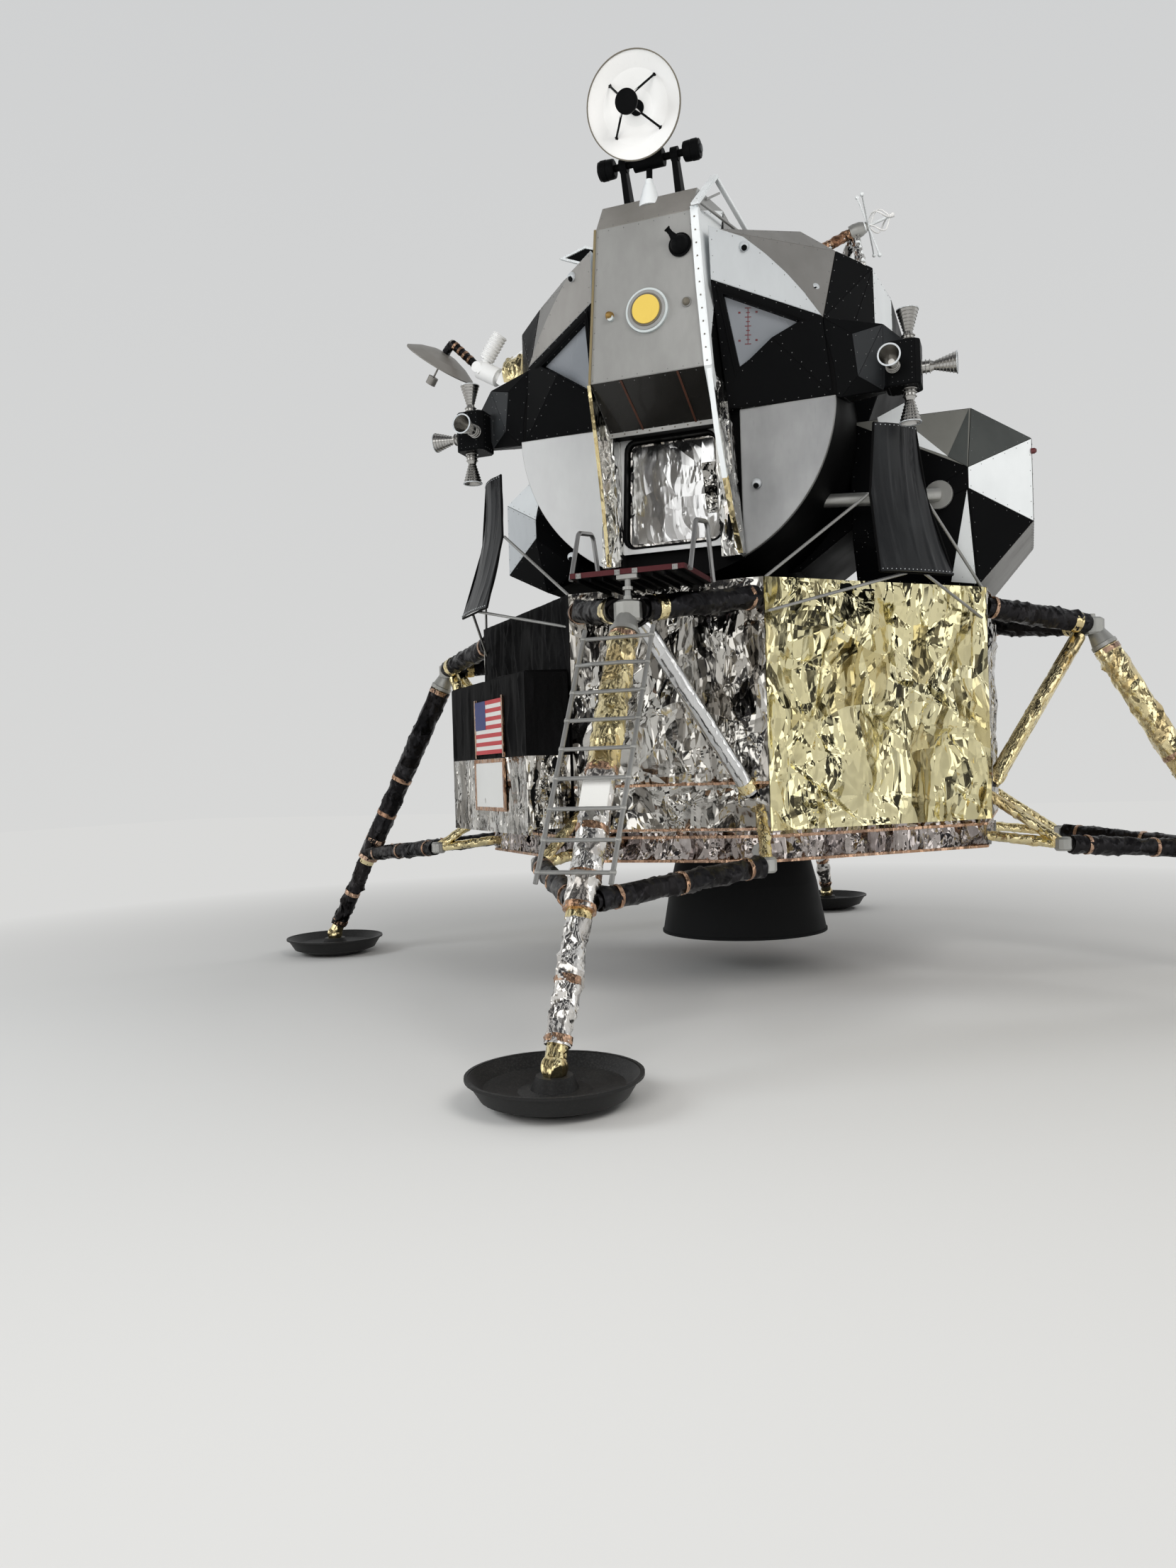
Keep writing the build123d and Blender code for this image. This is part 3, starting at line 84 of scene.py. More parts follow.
class NodeMaker:
    """Small helper that adds and joins the nodes of one tree."""

    def __init__(self, tree: NodeTree) -> None:
        """Keeps the node tree that gets the nodes."""
        self.tree = tree

    def add(self, kind: str, settings: Optional[dict] = None, **inputs: object) -> Node:
        """Adds a node, sets its properties and fills its inputs.

        Args:
            kind: Type name of the node.
            settings: Properties of the node itself.
            **inputs: Values or sockets by input name, with spaces written as underscores.

        Returns:
            The new node.
        """
        node = self.tree.nodes.new(kind)
        for key, value in (settings or {}).items():
            setattr(node, key, value)
        self.feed(node, **inputs)
        return node

    def feed(self, node: Node, **inputs: object) -> None:
        """Fills inputs of a node by name, with spaces written as underscores."""
        for key, value in inputs.items():
            self.fill(node.inputs[key.replace("_", " ")], value)

    def fill(self, socket: NodeSocket, value: object) -> None:
        """Links a socket or sets its value.

        Args:
            socket: Input that is filled.
            value: Socket, node or plain value.
        """
        if isinstance(value, NodeSocket):
            self.tree.links.new(value, socket)
        elif isinstance(value, Node):
            self.tree.links.new(value.outputs[0], socket)
        else:
            socket.default_value = value

    def math(self, operation: str, a: object, b: object = 0.0, clamp: bool = False, third: float = 0.0) -> NodeSocket:
        """Adds a math node.

        Args:
            operation: Name of the operation.
            a: First value or socket.
            b: Second value or socket.
            clamp: Whether the result is kept between 0 and 1.
            third: Third value, for operations that have one.

        Returns:
            The result socket.
        """
        node = self.tree.nodes.new("ShaderNodeMath")
        node.operation = operation
        node.use_clamp = clamp
        self.fill(node.inputs[0], a)
        self.fill(node.inputs[1], b)
        node.inputs[2].default_value = third
        return node.outputs[0]

    def remap(self, value: object, low: float, high: float, to_low: float = 0.0, to_high: float = 1.0) -> NodeSocket:
        """Adds a clamped map range node and returns its result socket.

        Args:
            value: Value or socket that is mapped.
            low: Input that gives to_low.
            high: Input that gives to_high.
            to_low: Result at low.
            to_high: Result at high.

        Returns:
            The result socket.
        """
        node = self.tree.nodes.new("ShaderNodeMapRange")
        self.fill(node.inputs[0], value)
        for index, number in enumerate((low, high, to_low, to_high), 1):
            node.inputs[index].default_value = number
        return node.outputs[0]

    def mix(self, factor: object, a: object, b: object, blend: str = "MIX") -> NodeSocket:
        """Adds a colour mix node.

        Args:
            factor: Value or socket of the mix.
            a: First colour.
            b: Second colour.
            blend: Name of the blend mode.

        Returns:
            The result socket.
        """
        node = self.tree.nodes.new("ShaderNodeMix")
        node.data_type = "RGBA"
        node.blend_type = blend
        self.fill(node.inputs[0], factor)
        self.fill(node.inputs[6], a if isinstance(a, NodeSocket) else (*a, 1.0))
        self.fill(node.inputs[7], b if isinstance(b, NodeSocket) else (*b, 1.0))
        return node.outputs[2]

    def vector(self, operation: str, *inputs: object) -> NodeSocket:
        """Adds a vector math node, filled in order, and returns its result socket.

        Args:
            operation: Name of the operation.
            *inputs: Values or sockets, in order.

        Returns:
            The result socket.
        """
        node = self.add("ShaderNodeVectorMath", {"operation": operation})
        for place, value in zip((0, 3) if operation == "SCALE" else (0, 1, 2), inputs):
            self.fill(node.inputs[place], value)
        return node.outputs[1 if operation == "LENGTH" else 0]

    def place(self) -> NodeSocket:
        """Adds a texture coordinate node and returns its Object socket."""
        return self.add("ShaderNodeTexCoord").outputs["Object"]

    def noise(self, vector: object, **inputs: object) -> NodeSocket:
        """Adds a noise texture on a vector and returns its value socket."""
        return self.add("ShaderNodeTexNoise", Vector=vector, **inputs).outputs[0]

    def scaled(self, vector: object, scale: Corner) -> NodeSocket:
        """Adds a mapping node that scales a vector and returns its socket."""
        return self.add("ShaderNodeMapping", Vector=vector, Scale=scale).outputs[0]


def shader_group(
    name: str, inputs: dict[str, float], outputs: dict[str, str],
) -> tuple[NodeTree, NodeMaker, dict, dict]:
    """Starts a shader node group that works on Object coordinates.

    Args:
        name: Name of the group.
        inputs: Input names with their default values.
        outputs: Output names with their socket types.

    Returns:
        The tree, its node maker, the input sockets by name and the output sockets by name.
    """
    tree = bpy.data.node_groups.new(name, "ShaderNodeTree")
    for key, value in inputs.items():
        socket = tree.interface.new_socket(key, in_out="INPUT", socket_type="NodeSocketFloat")
        socket.default_value = value
    for key, kind in outputs.items():
        tree.interface.new_socket(key, in_out="OUTPUT", socket_type=kind)
    maker = NodeMaker(tree)
    entry = tree.nodes.new("NodeGroupInput")
    leave = tree.nodes.new("NodeGroupOutput")
    return tree, maker, {key: entry.outputs[key] for key in inputs}, {key: leave.inputs[key] for key in outputs}


def crease_group() -> NodeTree:
    """Builds the flat shards of crumpled film: each cell tilts the normal its own way.

    Returns:
        The node tree.
    """
    sockets = {"Normal": "NodeSocketVector", "Facet": "NodeSocketFloat"}
    tree, make, given, out = shader_group("film_creases", {"Scale": 8.0, "Stretch": 2.0, "Tilt": 0.5}, sockets)
    place = make.place()
    bend = make.add("ShaderNodeTexNoise", Vector=place, Scale=2.2, Detail=1.0).outputs["Color"]
    shifted = make.vector("MULTIPLY_ADD", bend, (0.22, 0.22, 0.22), place)
    squeeze = make.add("ShaderNodeCombineXYZ", X=1.0, Y=1.0, Z=make.math("DIVIDE", 1.0, given["Stretch"]))
    total = make.add("ShaderNodeNewGeometry").outputs["Normal"]
    facet = None
    for patch, factor, share in ((1.3, 1.0, 0.9), (2.1, 2.1, 1.0), (4.0, 4.6, 0.5)):
        patches = make.add("ShaderNodeTexVoronoi", Vector=shifted, Scale=patch).outputs["Color"]
        turn = make.vector("SCALE", patches, 2 * math.pi)
        turned_place = make.add("ShaderNodeMapping", Vector=shifted, Rotation=turn, Scale=squeeze)
        size = make.math("MULTIPLY", given["Scale"], factor)
        cells = make.add("ShaderNodeTexVoronoi", Vector=turned_place, Scale=size).outputs["Color"]
        tilt = make.math("MULTIPLY", given["Tilt"], share)
        total = make.vector("ADD", total, make.vector("SCALE", make.vector("SUBTRACT", cells, (0.5, 0.5, 0.5)), tilt))
        facet = facet or make.add("ShaderNodeSeparateColor", Color=cells).outputs[0]
    make.fill(out["Normal"], make.vector("NORMALIZE", total))
    make.fill(out["Facet"], facet)
    return tree


def grain_group() -> NodeTree:
    """Builds brushed grain with broad mottling, for bare sheet metal.

    Returns:
        The node tree.
    """
    tree, make, given, out = shader_group(
        "brushed_grain", {"Grain": 1.0}, {"Fine": "NodeSocketFloat", "Broad": "NodeSocketFloat"}
    )
    place = make.place()
    fine = make.noise(make.scaled(place, (9.0, 9.0, 260.0)), Scale=1.0, Detail=3.0)
    broad = make.noise(make.scaled(place, (2.2, 2.2, 1.1)), Scale=1.3, Detail=4.0, Roughness=0.6)
    make.fill(out["Fine"], make.math("MULTIPLY", fine, given["Grain"]))
    make.fill(out["Broad"], broad)
    return tree


def dust_group() -> NodeTree:
    """Builds light dust, scuffs and slow colour drift for painted and cloth surfaces.

    Returns:
        The node tree.
    """
    sockets = dict.fromkeys(("Dust", "Scuff", "Drift"), "NodeSocketFloat")
    tree, make, given, out = shader_group("dust_and_scuffs", {"Scale": 1.0}, sockets)
    place = make.place()
    drift = make.noise(place, Scale=make.math("MULTIPLY", given["Scale"], 1.4), Detail=3.0)
    speck = make.noise(place, Scale=make.math("MULTIPLY", given["Scale"], 60.0), Detail=4.0)
    scuff = make.noise(make.scaled(place, (40.0, 40.0, 6.0)), Scale=given["Scale"], Detail=2.0)
    facing = make.add("ShaderNodeNewGeometry").outputs["Normal"]
    lying = make.remap(make.add("ShaderNodeSeparateXYZ", Vector=facing).outputs[2], 0.2, 1.0)
    dusty = make.math("MULTIPLY", make.remap(speck, 0.45, 0.75), make.math("ADD", lying, 0.25), clamp=True)
    make.fill(out["Dust"], dusty)
    make.fill(out["Scuff"], make.remap(scuff, 0.62, 0.8))
    make.fill(out["Drift"], make.remap(drift, 0.3, 0.7))
    return tree


def weave_group() -> NodeTree:
    """Builds the fine weave and soft creases of a black blanket.

    Returns:
        The node tree.
    """
    tree, make, given, out = shader_group(
        "blanket_weave", {"Threads": 900.0}, {"Height": "NodeSocketFloat", "Fold": "NodeSocketFloat"}
    )
    place = make.place()
    pitch = make.math("DIVIDE", given["Threads"], 20.0)
    waves = [make.add("ShaderNodeTexWave", {"bands_direction": way}, Vector=place, Scale=pitch).outputs["Fac"]
             for way in "XZ"]
    fold = make.noise(make.scaled(place, (7.0, 7.0, 1.6)), Scale=1.0, Detail=3.0, Distortion=0.6)
    make.fill(out["Height"], make.math("ADD", make.math("MULTIPLY", make.math("MULTIPLY", *waves), 0.1), fold))
    make.fill(out["Fold"], fold)
    return tree


class Groups:
    """The shader groups, each built once."""

    _built: dict[str, NodeTree] = {}
    _makers: dict[str, Callable[[], NodeTree]] = {
        "creases": crease_group, "grain": grain_group, "dust": dust_group, "weave": weave_group,
    }

    @classmethod
    def place(cls, make: NodeMaker, name: str, **inputs: object) -> Node:
        """Places a group in a material.

        Args:
            make: Node maker of the material.
            name: Short name of the group.
            **inputs: Input values.

        Returns:
            The group node.
        """
        if name not in cls._built:
            cls._built[name] = cls._makers[name]()
        return make.add("ShaderNodeGroup", {"node_tree": cls._built[name]}, **inputs)


# Finishes

@dataclass(frozen=True)
class Finish:
    """Common part of every finish: a named material with one Principled shader."""

    name: str

    def material(self) -> Material:
        """Builds the material once, and returns it.

        Returns:
            The material.
        """
        label = f"{self.name}_look"
        found = bpy.data.materials.get(label)
        if found is not None:
            return found
        material = bpy.data.materials.new(label)
        material.use_nodes = True
        tree = material.node_tree
        tree.nodes.clear()
        make = NodeMaker(tree)
        shader = make.add("ShaderNodeBsdfPrincipled")
        leave = make.add("ShaderNodeOutputMaterial")
        make.fill(leave.inputs["Surface"], shader.outputs[0])
        self.dress(make, shader)
        return material

    def dress(self, make: NodeMaker, shader: Node) -> None:
        """Fills the shader; each finish has its own."""
        raise NotImplementedError


def bump(make: NodeMaker, shader: Node, height: object, strength: float, distance: float) -> None:
    """Feeds a height into the shader's normal, with a depth in metres."""
    make.feed(shader, Normal=make.add("ShaderNodeBump", Height=height, Strength=strength, Distance=distance))


@dataclass(frozen=True)
class Film(Finish):
    """Metallised film with flat shards over the modelled folds; its colour carries painted reflections: dark random
    shards and slow patches of a reflection colour.
    """

    bright: Corner = (0.9, 0.89, 0.88)
    # Painted dark reflection: the tone that random shards darken to.
    dark_reflection: Corner = (0.5, 0.48, 0.46)
    # Painted reflection: the colour laid on in slow patches, brownish on some films and pale cream on others, with its
    # share next.
    reflection_tint: Corner = (0.7, 0.5, 0.4)
    reflection_share: float = 0.15
    roughness: float = 0.12
    crease_scale: float = 7.0
    tilt: float = 0.5
    stretch: float = 2.2

    def dress(self, make: NodeMaker, shader: Node) -> None:
        """Mixes the film's own tone with painted dark reflections on random shards and slow patches of a painted
        reflection colour, and tilts the normal.

        Args:
            make: Node maker of the material.
            shader: The Principled node.
        """
        creases = Groups.place(make, "creases", Scale=self.crease_scale, Tilt=self.tilt, Stretch=self.stretch)
        dust = Groups.place(make, "dust", Scale=1.0)
        facet = creases.outputs["Facet"]
        # Painted dark reflections: shards with a high facet value go from the film's own tone towards the dark
        # reflection tone.
        colour = make.mix(make.remap(facet, 0.5, 1.0), self.bright, self.dark_reflection)
        # Painted reflection: slow patches of the reflection colour over the shards.
        reflection_patches = make.math("MULTIPLY", dust.outputs["Drift"], self.reflection_share)
        rough = make.remap(facet, 0.0, 1.0, self.roughness, self.roughness + 0.1)
        make.feed(shader, Base_Color=make.mix(reflection_patches, colour, self.reflection_tint), Metallic=1.0, Roughness=rough,
                  Normal=creases.outputs["Normal"])


@dataclass(frozen=True)
class BareSheet(Finish):
    """Brushed light alloy sheet with slow mottling."""

    colour: Corner = (0.63, 0.63, 0.61)
    dull: Corner = (0.5, 0.49, 0.47)
    metallic: float = 0.85
    roughness: float = 0.36
    grain: float = 0.12

    def dress(self, make: NodeMaker, shader: Node) -> None:
        """Mixes clean and dull metal, with grain in roughness and bump.

        Args:
            make: Node maker of the material.
            shader: The Principled node.
        """
        grain = Groups.place(make, "grain", Grain=1.0)
        dust = Groups.place(make, "dust", Scale=2.0)
        broad = make.remap(grain.outputs["Broad"], 0.35, 0.7)
        colour = make.mix(broad, self.colour, self.dull)
        colour = make.mix(make.math("MULTIPLY", dust.outputs["Scuff"], 0.35), colour, self.dull)
        fine = make.math("MULTIPLY", grain.outputs["Fine"], self.grain)
        rough = make.math("ADD", fine, self.roughness - self.grain / 2)
        make.feed(shader, Base_Color=colour, Metallic=self.metallic,
                  Roughness=make.math("ADD", rough, make.math("MULTIPLY", broad, 0.08)))
        bump(make, shader, grain.outputs["Fine"], 0.12, 0.0006)


@dataclass(frozen=True)
class Paint(Finish):
    """Painted metal with dust, faint scuffs and a slow drift of tone."""

    colour: Corner = (0.012, 0.012, 0.013)
    # Tone of wear and scuffs on the paint.
    wear_and_highlight: Corner = (0.05, 0.05, 0.05)
    roughness: float = 0.42
    dust_share: float = 0.2
    metallic: float = 0.0
    coat: float = 0.0
    specular: float = 0.4
    dust_colour: Corner = (0.35, 0.34, 0.32)

    def dress(self, make: NodeMaker, shader: Node) -> None:
        """Mixes paint, wear and dust, and varies the gloss with them.

        Args:
            make: Node maker of the material.
            shader: The Principled node.
        """
        dust = Groups.place(make, "dust", Scale=1.6)
        colour = make.mix(make.math("MULTIPLY", dust.outputs["Drift"], 0.4), self.colour, self.wear_and_highlight)
        colour = make.mix(make.math("MULTIPLY", dust.outputs["Scuff"], 0.5), colour, self.wear_and_highlight)
        grey = make.math("MULTIPLY", dust.outputs["Dust"], self.dust_share)
        rough = make.remap(dust.outputs["Drift"], 0.0, 1.0, self.roughness - 0.05, self.roughness + 0.1)
        make.feed(shader, Base_Color=make.mix(grey, colour, self.dust_colour), Roughness=rough, Metallic=self.metallic,
                  Specular_IOR_Level=self.specular, Coat_Weight=self.coat)
        bump(make, shader, dust.outputs["Drift"], 0.15, 0.004)


@dataclass(frozen=True)
class Blanket(Finish):
    """Black woven blanket with soft creases and a painted highlight on its raised fold crests."""

    colour: Corner = (0.012, 0.012, 0.014)
    # Painted highlight tone of the raised fold crests.
    wear_and_highlight: Corner = (0.045, 0.045, 0.05)
    roughness: float = 0.72
    sheen: float = 0.15
    depth: float = 0.008
    specular: float = 0.08

    def dress(self, make: NodeMaker, shader: Node) -> None:
        """Lightens the raised fold crests as a painted highlight and adds weave and dust.

        Args:
            make: Node maker of the material.
            shader: The Principled node.
        """
        weave = Groups.place(make, "weave", Threads=900.0)
        dust = Groups.place(make, "dust", Scale=1.2)
        # Painted highlight: the raised fold crests are lightened towards the highlight tone.
        colour = make.mix(make.remap(weave.outputs["Fold"], 0.5, 0.75), self.colour, self.wear_and_highlight)
        colour = make.mix(make.math("MULTIPLY", dust.outputs["Dust"], 0.02), colour, (0.3, 0.29, 0.28))
        rough = make.remap(weave.outputs["Fold"], 0.3, 0.7, self.roughness - 0.1, self.roughness + 0.08)
        make.feed(shader, Base_Color=colour, Roughness=rough, Sheen_Weight=self.sheen, Specular_IOR_Level=self.specular)
        bump(make, shader, weave.outputs["Height"], 0.5, self.depth)


@dataclass(frozen=True)
class Ground(Finish):
    """Plain floor that goes over into the pale backdrop away from the object."""

    colour: Corner = (0.60, 0.60, 0.59)
    far: Corner = (0.70, 0.70, 0.69)

    def dress(self, make: NodeMaker, shader: Node) -> None:
        """Adds the backdrop's tone by the distance from the middle, for the eye and for metal.

        Args:
            make: Node maker of the material.
            shader: The Principled node.
        """
        away = make.vector("LENGTH", make.place())
        path = make.add("ShaderNodeLightPath")
        seen = make.math("MAXIMUM", path.outputs["Is Camera Ray"], path.outputs["Is Glossy Ray"])
        share = make.math("MULTIPLY", make.remap(away, 4.5, 11.0), seen)
        make.feed(shader, Base_Color=make.mix(share, self.colour, (0.0, 0.0, 0.0)), Emission_Color=(*self.far, 1.0),
                  Emission_Strength=share, Roughness=0.9, Specular_IOR_Level=0.0)


@dataclass(frozen=True)
class ClearSheet(Finish):
    """Whitish window sheet with a hard gloss."""

    colour: Corner = (0.24, 0.255, 0.275)
    edge: Corner = (0.165, 0.18, 0.20)

    def dress(self, make: NodeMaker, shader: Node) -> None:
        """Gives the sheet a slow drift of tone under a coat.

        Args:
            make: Node maker of the material.
            shader: The Principled node.
        """
        dust = Groups.place(make, "dust", Scale=1.0)
        drift = dust.outputs["Drift"]
        make.feed(shader, Base_Color=make.mix(drift, self.colour, self.edge), Coat_Weight=0.2,
                  Roughness=make.remap(drift, 0.0, 1.0, 0.22, 0.32))


# Film arguments: own tone, painted dark reflection, painted reflection colour and its share, roughness, crease scale,
# tilt, stretch.
GOLD = Film("gold_film", (0.88, 0.80, 0.46), (0.54, 0.43, 0.15), (0.93, 0.89, 0.68), 0.35, 0.08, 5.4, 0.68, 5.5)
SILVER = Film("silver_film", (0.66, 0.65, 0.62), (0.19, 0.18, 0.165), (0.46, 0.40, 0.33), 0.3, 0.07, 5.6, 0.74, 5.0)
PALE_SILVER = Film("pale_silver_film", (0.76, 0.765, 0.77), (0.60, 0.60, 0.605), (0.70, 0.69, 0.67), 0.15, 0.12, 5.0,
                   0.14, 8.0)
ROSE_SILVER = Film("rose_silver_film", (0.52, 0.485, 0.47), (0.12, 0.10, 0.10), (0.42, 0.31, 0.28), 0.3, 0.09, 8.0,
                   0.8, 4.0)
# Brighter copy of the silver film for the webs and beams: its extra brightness is painted light.
WEB_SILVER = Film("web_silver", (0.88, 0.88, 0.86), (0.58, 0.57, 0.54), (0.76, 0.72, 0.62), 0.3, 0.12, 8.0, 0.45, 3.0)
COPPER = Film("copper_film", (0.52, 0.31, 0.19), (0.26, 0.12, 0.06), (0.75, 0.60, 0.5), 0.4, 0.2, 20.0, 0.4)
GOLD_WRAP = Film("gold_wrap", (0.93, 0.80, 0.45), (0.70, 0.52, 0.22), (0.9, 0.78, 0.55), 0.3, 0.14, 9.0, 0.4)
SILVER_WRAP = Film("silver_wrap", (0.86, 0.85, 0.83), (0.55, 0.52, 0.49), (0.72, 0.6, 0.5), 0.25, 0.12, 9.0, 0.42)
BLACK_WRAP = Film("black_wrap", (0.028, 0.028, 0.031), (0.010, 0.010, 0.011), (0.05, 0.042, 0.038), 0.3, 0.3,
                  11.0, 0.35)
SHEET = BareSheet("bare_sheet", (0.40, 0.40, 0.39), (0.31, 0.31, 0.30), 0.55, 0.36)
# Darker copy of the face sheet on the right lower face panel: painted shade.
SHADED_FACE_SHEET = BareSheet("shaded_face_sheet", (0.34, 0.345, 0.35), (0.24, 0.245, 0.25), 0.55, 0.38, 0.2)
PALE_SHEET = BareSheet("pale_sheet", (0.60, 0.61, 0.61), (0.53, 0.535, 0.54), 0.4, 0.38)
BRIGHT_SHEET = BareSheet("bright_sheet", (0.58, 0.61, 0.63), (0.52, 0.545, 0.565), 0.4, 0.36)
# Brownish grey sheet; on the nose's top bevel its colour is a painted reflection of wood-coloured light.
WARM_SHEET = BareSheet("warm_sheet", (0.30, 0.285, 0.265), (0.24, 0.23, 0.21), 0.5, 0.42)
# Darker copy of the brow sheet on the left brow: painted shade.
SHADED_BROW_SHEET = BareSheet("shaded_brow_sheet", (0.33, 0.32, 0.305), (0.27, 0.26, 0.245), 0.45, 0.4)
WHITE_STRIP = BareSheet("white_strip", (0.80, 0.83, 0.84), (0.74, 0.77, 0.78), 0.2, 0.4)
TUBE_GREY = BareSheet("grey_tube", (0.40, 0.40, 0.39), (0.3, 0.3, 0.29), 0.8, 0.38)
STEEL = BareSheet("ribbed_steel", (0.62, 0.61, 0.59), (0.42, 0.41, 0.39), 1.0, 0.2)
RAIL_GREY = BareSheet("handrail_grey", (0.42, 0.42, 0.42), (0.30, 0.30, 0.30), 0.9, 0.28)
FITTING = BareSheet("cast_fitting", (0.55, 0.55, 0.53), (0.4, 0.4, 0.38), 0.9, 0.45)
BLACK = Paint("black_panel", (0.0028, 0.0030, 0.0033), (0.0050, 0.0052, 0.0056), 0.42, 0.004, specular=0.05)
SOFT_BLACK = Paint("soft_black", (0.0026, 0.0026, 0.0028), (0.0045, 0.0045, 0.0046), 0.55, 0.004, specular=0.05)
ENGINE_BLACK = Paint("engine_black", (0.007, 0.0075, 0.008), (0.012, 0.0125, 0.013), 0.6, 0.01, specular=0.1)
CHIN = Paint("chin_black", (0.010, 0.0095, 0.0085), (0.028, 0.026, 0.023), 0.2, 0.02, 0.2, 0.15)
BROWN_STRIP = Paint("brown_strip", (0.045, 0.016, 0.009), (0.09, 0.035, 0.02), 0.35, 0.05)
MAROON = Paint("maroon_edge", (0.045, 0.008, 0.010), (0.075, 0.02, 0.022), 0.4, 0.05, specular=0.2)
RIVET = BareSheet("rivet_head", (0.24, 0.245, 0.245), (0.17, 0.175, 0.175), 0.6, 0.4)
SHOULDER_SHEET = BareSheet("shoulder_sheet", (0.25, 0.245, 0.235), (0.21, 0.205, 0.195), 0.45, 0.45)
PAD_BLACK = Paint("pad_black", (0.010, 0.010, 0.010), (0.022, 0.022, 0.022), 0.45, 0.06, specular=0.2)
TAN_SHEET = BareSheet("tan_sheet", (0.25, 0.25, 0.228), (0.215, 0.215, 0.195), 0.5, 0.42)
DARK_TAN_SHEET = BareSheet("dark_tan_sheet", (0.085, 0.092, 0.088), (0.066, 0.072, 0.07), 0.5, 0.42)
ARM_DARK = Paint("arm_dark", (0.022, 0.024, 0.026), (0.034, 0.036, 0.038), 0.42, 0.02, specular=0.2)
PALE_GOLD = BareSheet("pale_gold_edge", (0.62, 0.52, 0.32), (0.45, 0.36, 0.2), 0.9, 0.3)
PLACARD = Paint("placard", (0.62, 0.62, 0.60), (0.55, 0.55, 0.53), 0.35, 0.05)
STRIPE_WHITE = Paint("stripe_white", (0.62, 0.61, 0.58), (0.55, 0.54, 0.52), 0.5, 0.05)
STRIPE_RED = Paint("stripe_red", (0.40, 0.03, 0.035), (0.33, 0.04, 0.04), 0.5, 0.05)
STRIPE_BLUE = Paint("stripe_blue", (0.02, 0.03, 0.12), (0.03, 0.04, 0.12), 0.5, 0.05)
WHITE = Paint("radar_white", (0.76, 0.76, 0.75), (0.68, 0.68, 0.67), 0.42, 0.05)
RING_GREY = Paint("ring_grey", (0.48, 0.52, 0.52), (0.4, 0.44, 0.44), 0.35, 0.1)
DARK_RING = Paint("dark_ring", (0.10, 0.09, 0.07), (0.2, 0.18, 0.14), 0.4)
YELLOW = Paint("yellow_lamp", (0.62, 0.45, 0.09), (0.56, 0.40, 0.08), 0.45, 0.04)
BRASS = Paint("brass_knob", (0.42, 0.26, 0.08), (0.3, 0.18, 0.06), 0.35, 0.1, 0.8)
RED = Paint("red_lamp", (0.10, 0.012, 0.014), (0.08, 0.012, 0.013), 0.3, 0.02, 0.0, 0.5)
SCALE_RED = Paint("scale_red", (0.13, 0.03, 0.035), (0.16, 0.05, 0.055), 0.6)
# Blanket colours: own colour, then the painted highlight tone of the fold crests.
CLOTH = Blanket("black_cloth", (0.0026, 0.0026, 0.0028), (0.0065, 0.0065, 0.007), 0.75, 0.01)
DEFLECTOR_CLOTH = Blanket("deflector_cloth", (0.009, 0.0098, 0.011), (0.017, 0.0185, 0.020), 0.42, 0.02, 0.002, 0.3)
WINDOW = ClearSheet("window_sheet")
FLOOR = Ground("pale_floor")


# Mesh tools

def unit(vector: Corner) -> np.ndarray:
    """Returns a vector of length one."""
    values = np.asarray(vector, float)
    return values / np.linalg.norm(values)


def across(direction: Corner) -> tuple[np.ndarray, np.ndarray]:
    """Returns two unit vectors square to a direction and to each other.

    Args:
        direction: Direction that both vectors are square to.

    Returns:
        Both vectors.
    """
    along = unit(direction)
    start = np.array([0.0, 0.0, 1.0]) if abs(along[2]) < 0.9 else np.array([1.0, 0.0, 0.0])
    first = unit(np.cross(start, along))
    return first, np.cross(along, first)


def quads(rows: int, columns: int, closed: bool = False) -> list[tuple[int, ...]]:
    """Lists the quads of a grid of points.

    Args:
        rows: Number of rows of points.
        columns: Number of points in a row.
        closed: Whether each row joins up with its own start.

    Returns:
        The corner numbers of each quad.
    """
    faces = []
    span = columns if closed else columns - 1
    for row in range(rows - 1):
        for column in range(span):
            right = (column + 1) % columns
            low, high = row * columns, (row + 1) * columns
            faces.append((low + column, low + right, high + right, high + column))
    return faces


def capped(rows: int, sides: int) -> list[tuple[int, ...]]:
    """Lists the faces of a bar of rings, with both its ends."""
    last = (rows - 1) * sides
    return quads(rows, sides, closed=True) + [tuple(range(sides - 1, -1, -1)), tuple(range(last, last + sides))]


def circle(first: np.ndarray, second: np.ndarray, sides: int) -> np.ndarray:
    """Returns points on a circle of radius one, spanned by two vectors."""
    turns = np.linspace(0, 2 * math.pi, sides, endpoint=False)
    return np.outer(np.cos(turns), first) + np.outer(np.sin(turns), second)


def as_points(corners: Iterable[Corner]) -> np.ndarray:
    """Returns corners as one array, a row for each."""
    return np.array([tuple(corner) for corner in corners], float)


def newell(corners: np.ndarray) -> np.ndarray:
    """Returns the unit normal of a flat outline."""
    rolled = np.roll(corners, -1, axis=0)
    return unit(np.cross(corners, rolled).sum(axis=0))


def inset(corners: np.ndarray, distance: float) -> np.ndarray:
    """Moves every side of a flat outline inwards.

    Args:
        corners: Corners in order, counter-clockwise seen from outside.
        distance: How far each side moves.

    Returns:
        The new corners, as many as before.
    """
    normal = newell(corners)
    before, after = np.roll(corners, 1, axis=0), np.roll(corners, -1, axis=0)
    result = []
    for last, here, following in zip(before, corners, after):
        side_in = np.cross(normal, unit(here - last))
        side_out = np.cross(normal, unit(following - here))
        spread = max(0.25, 1.0 + float(side_in @ side_out))
        result.append(here + (side_in + side_out) / spread * distance)
    return np.array(result)


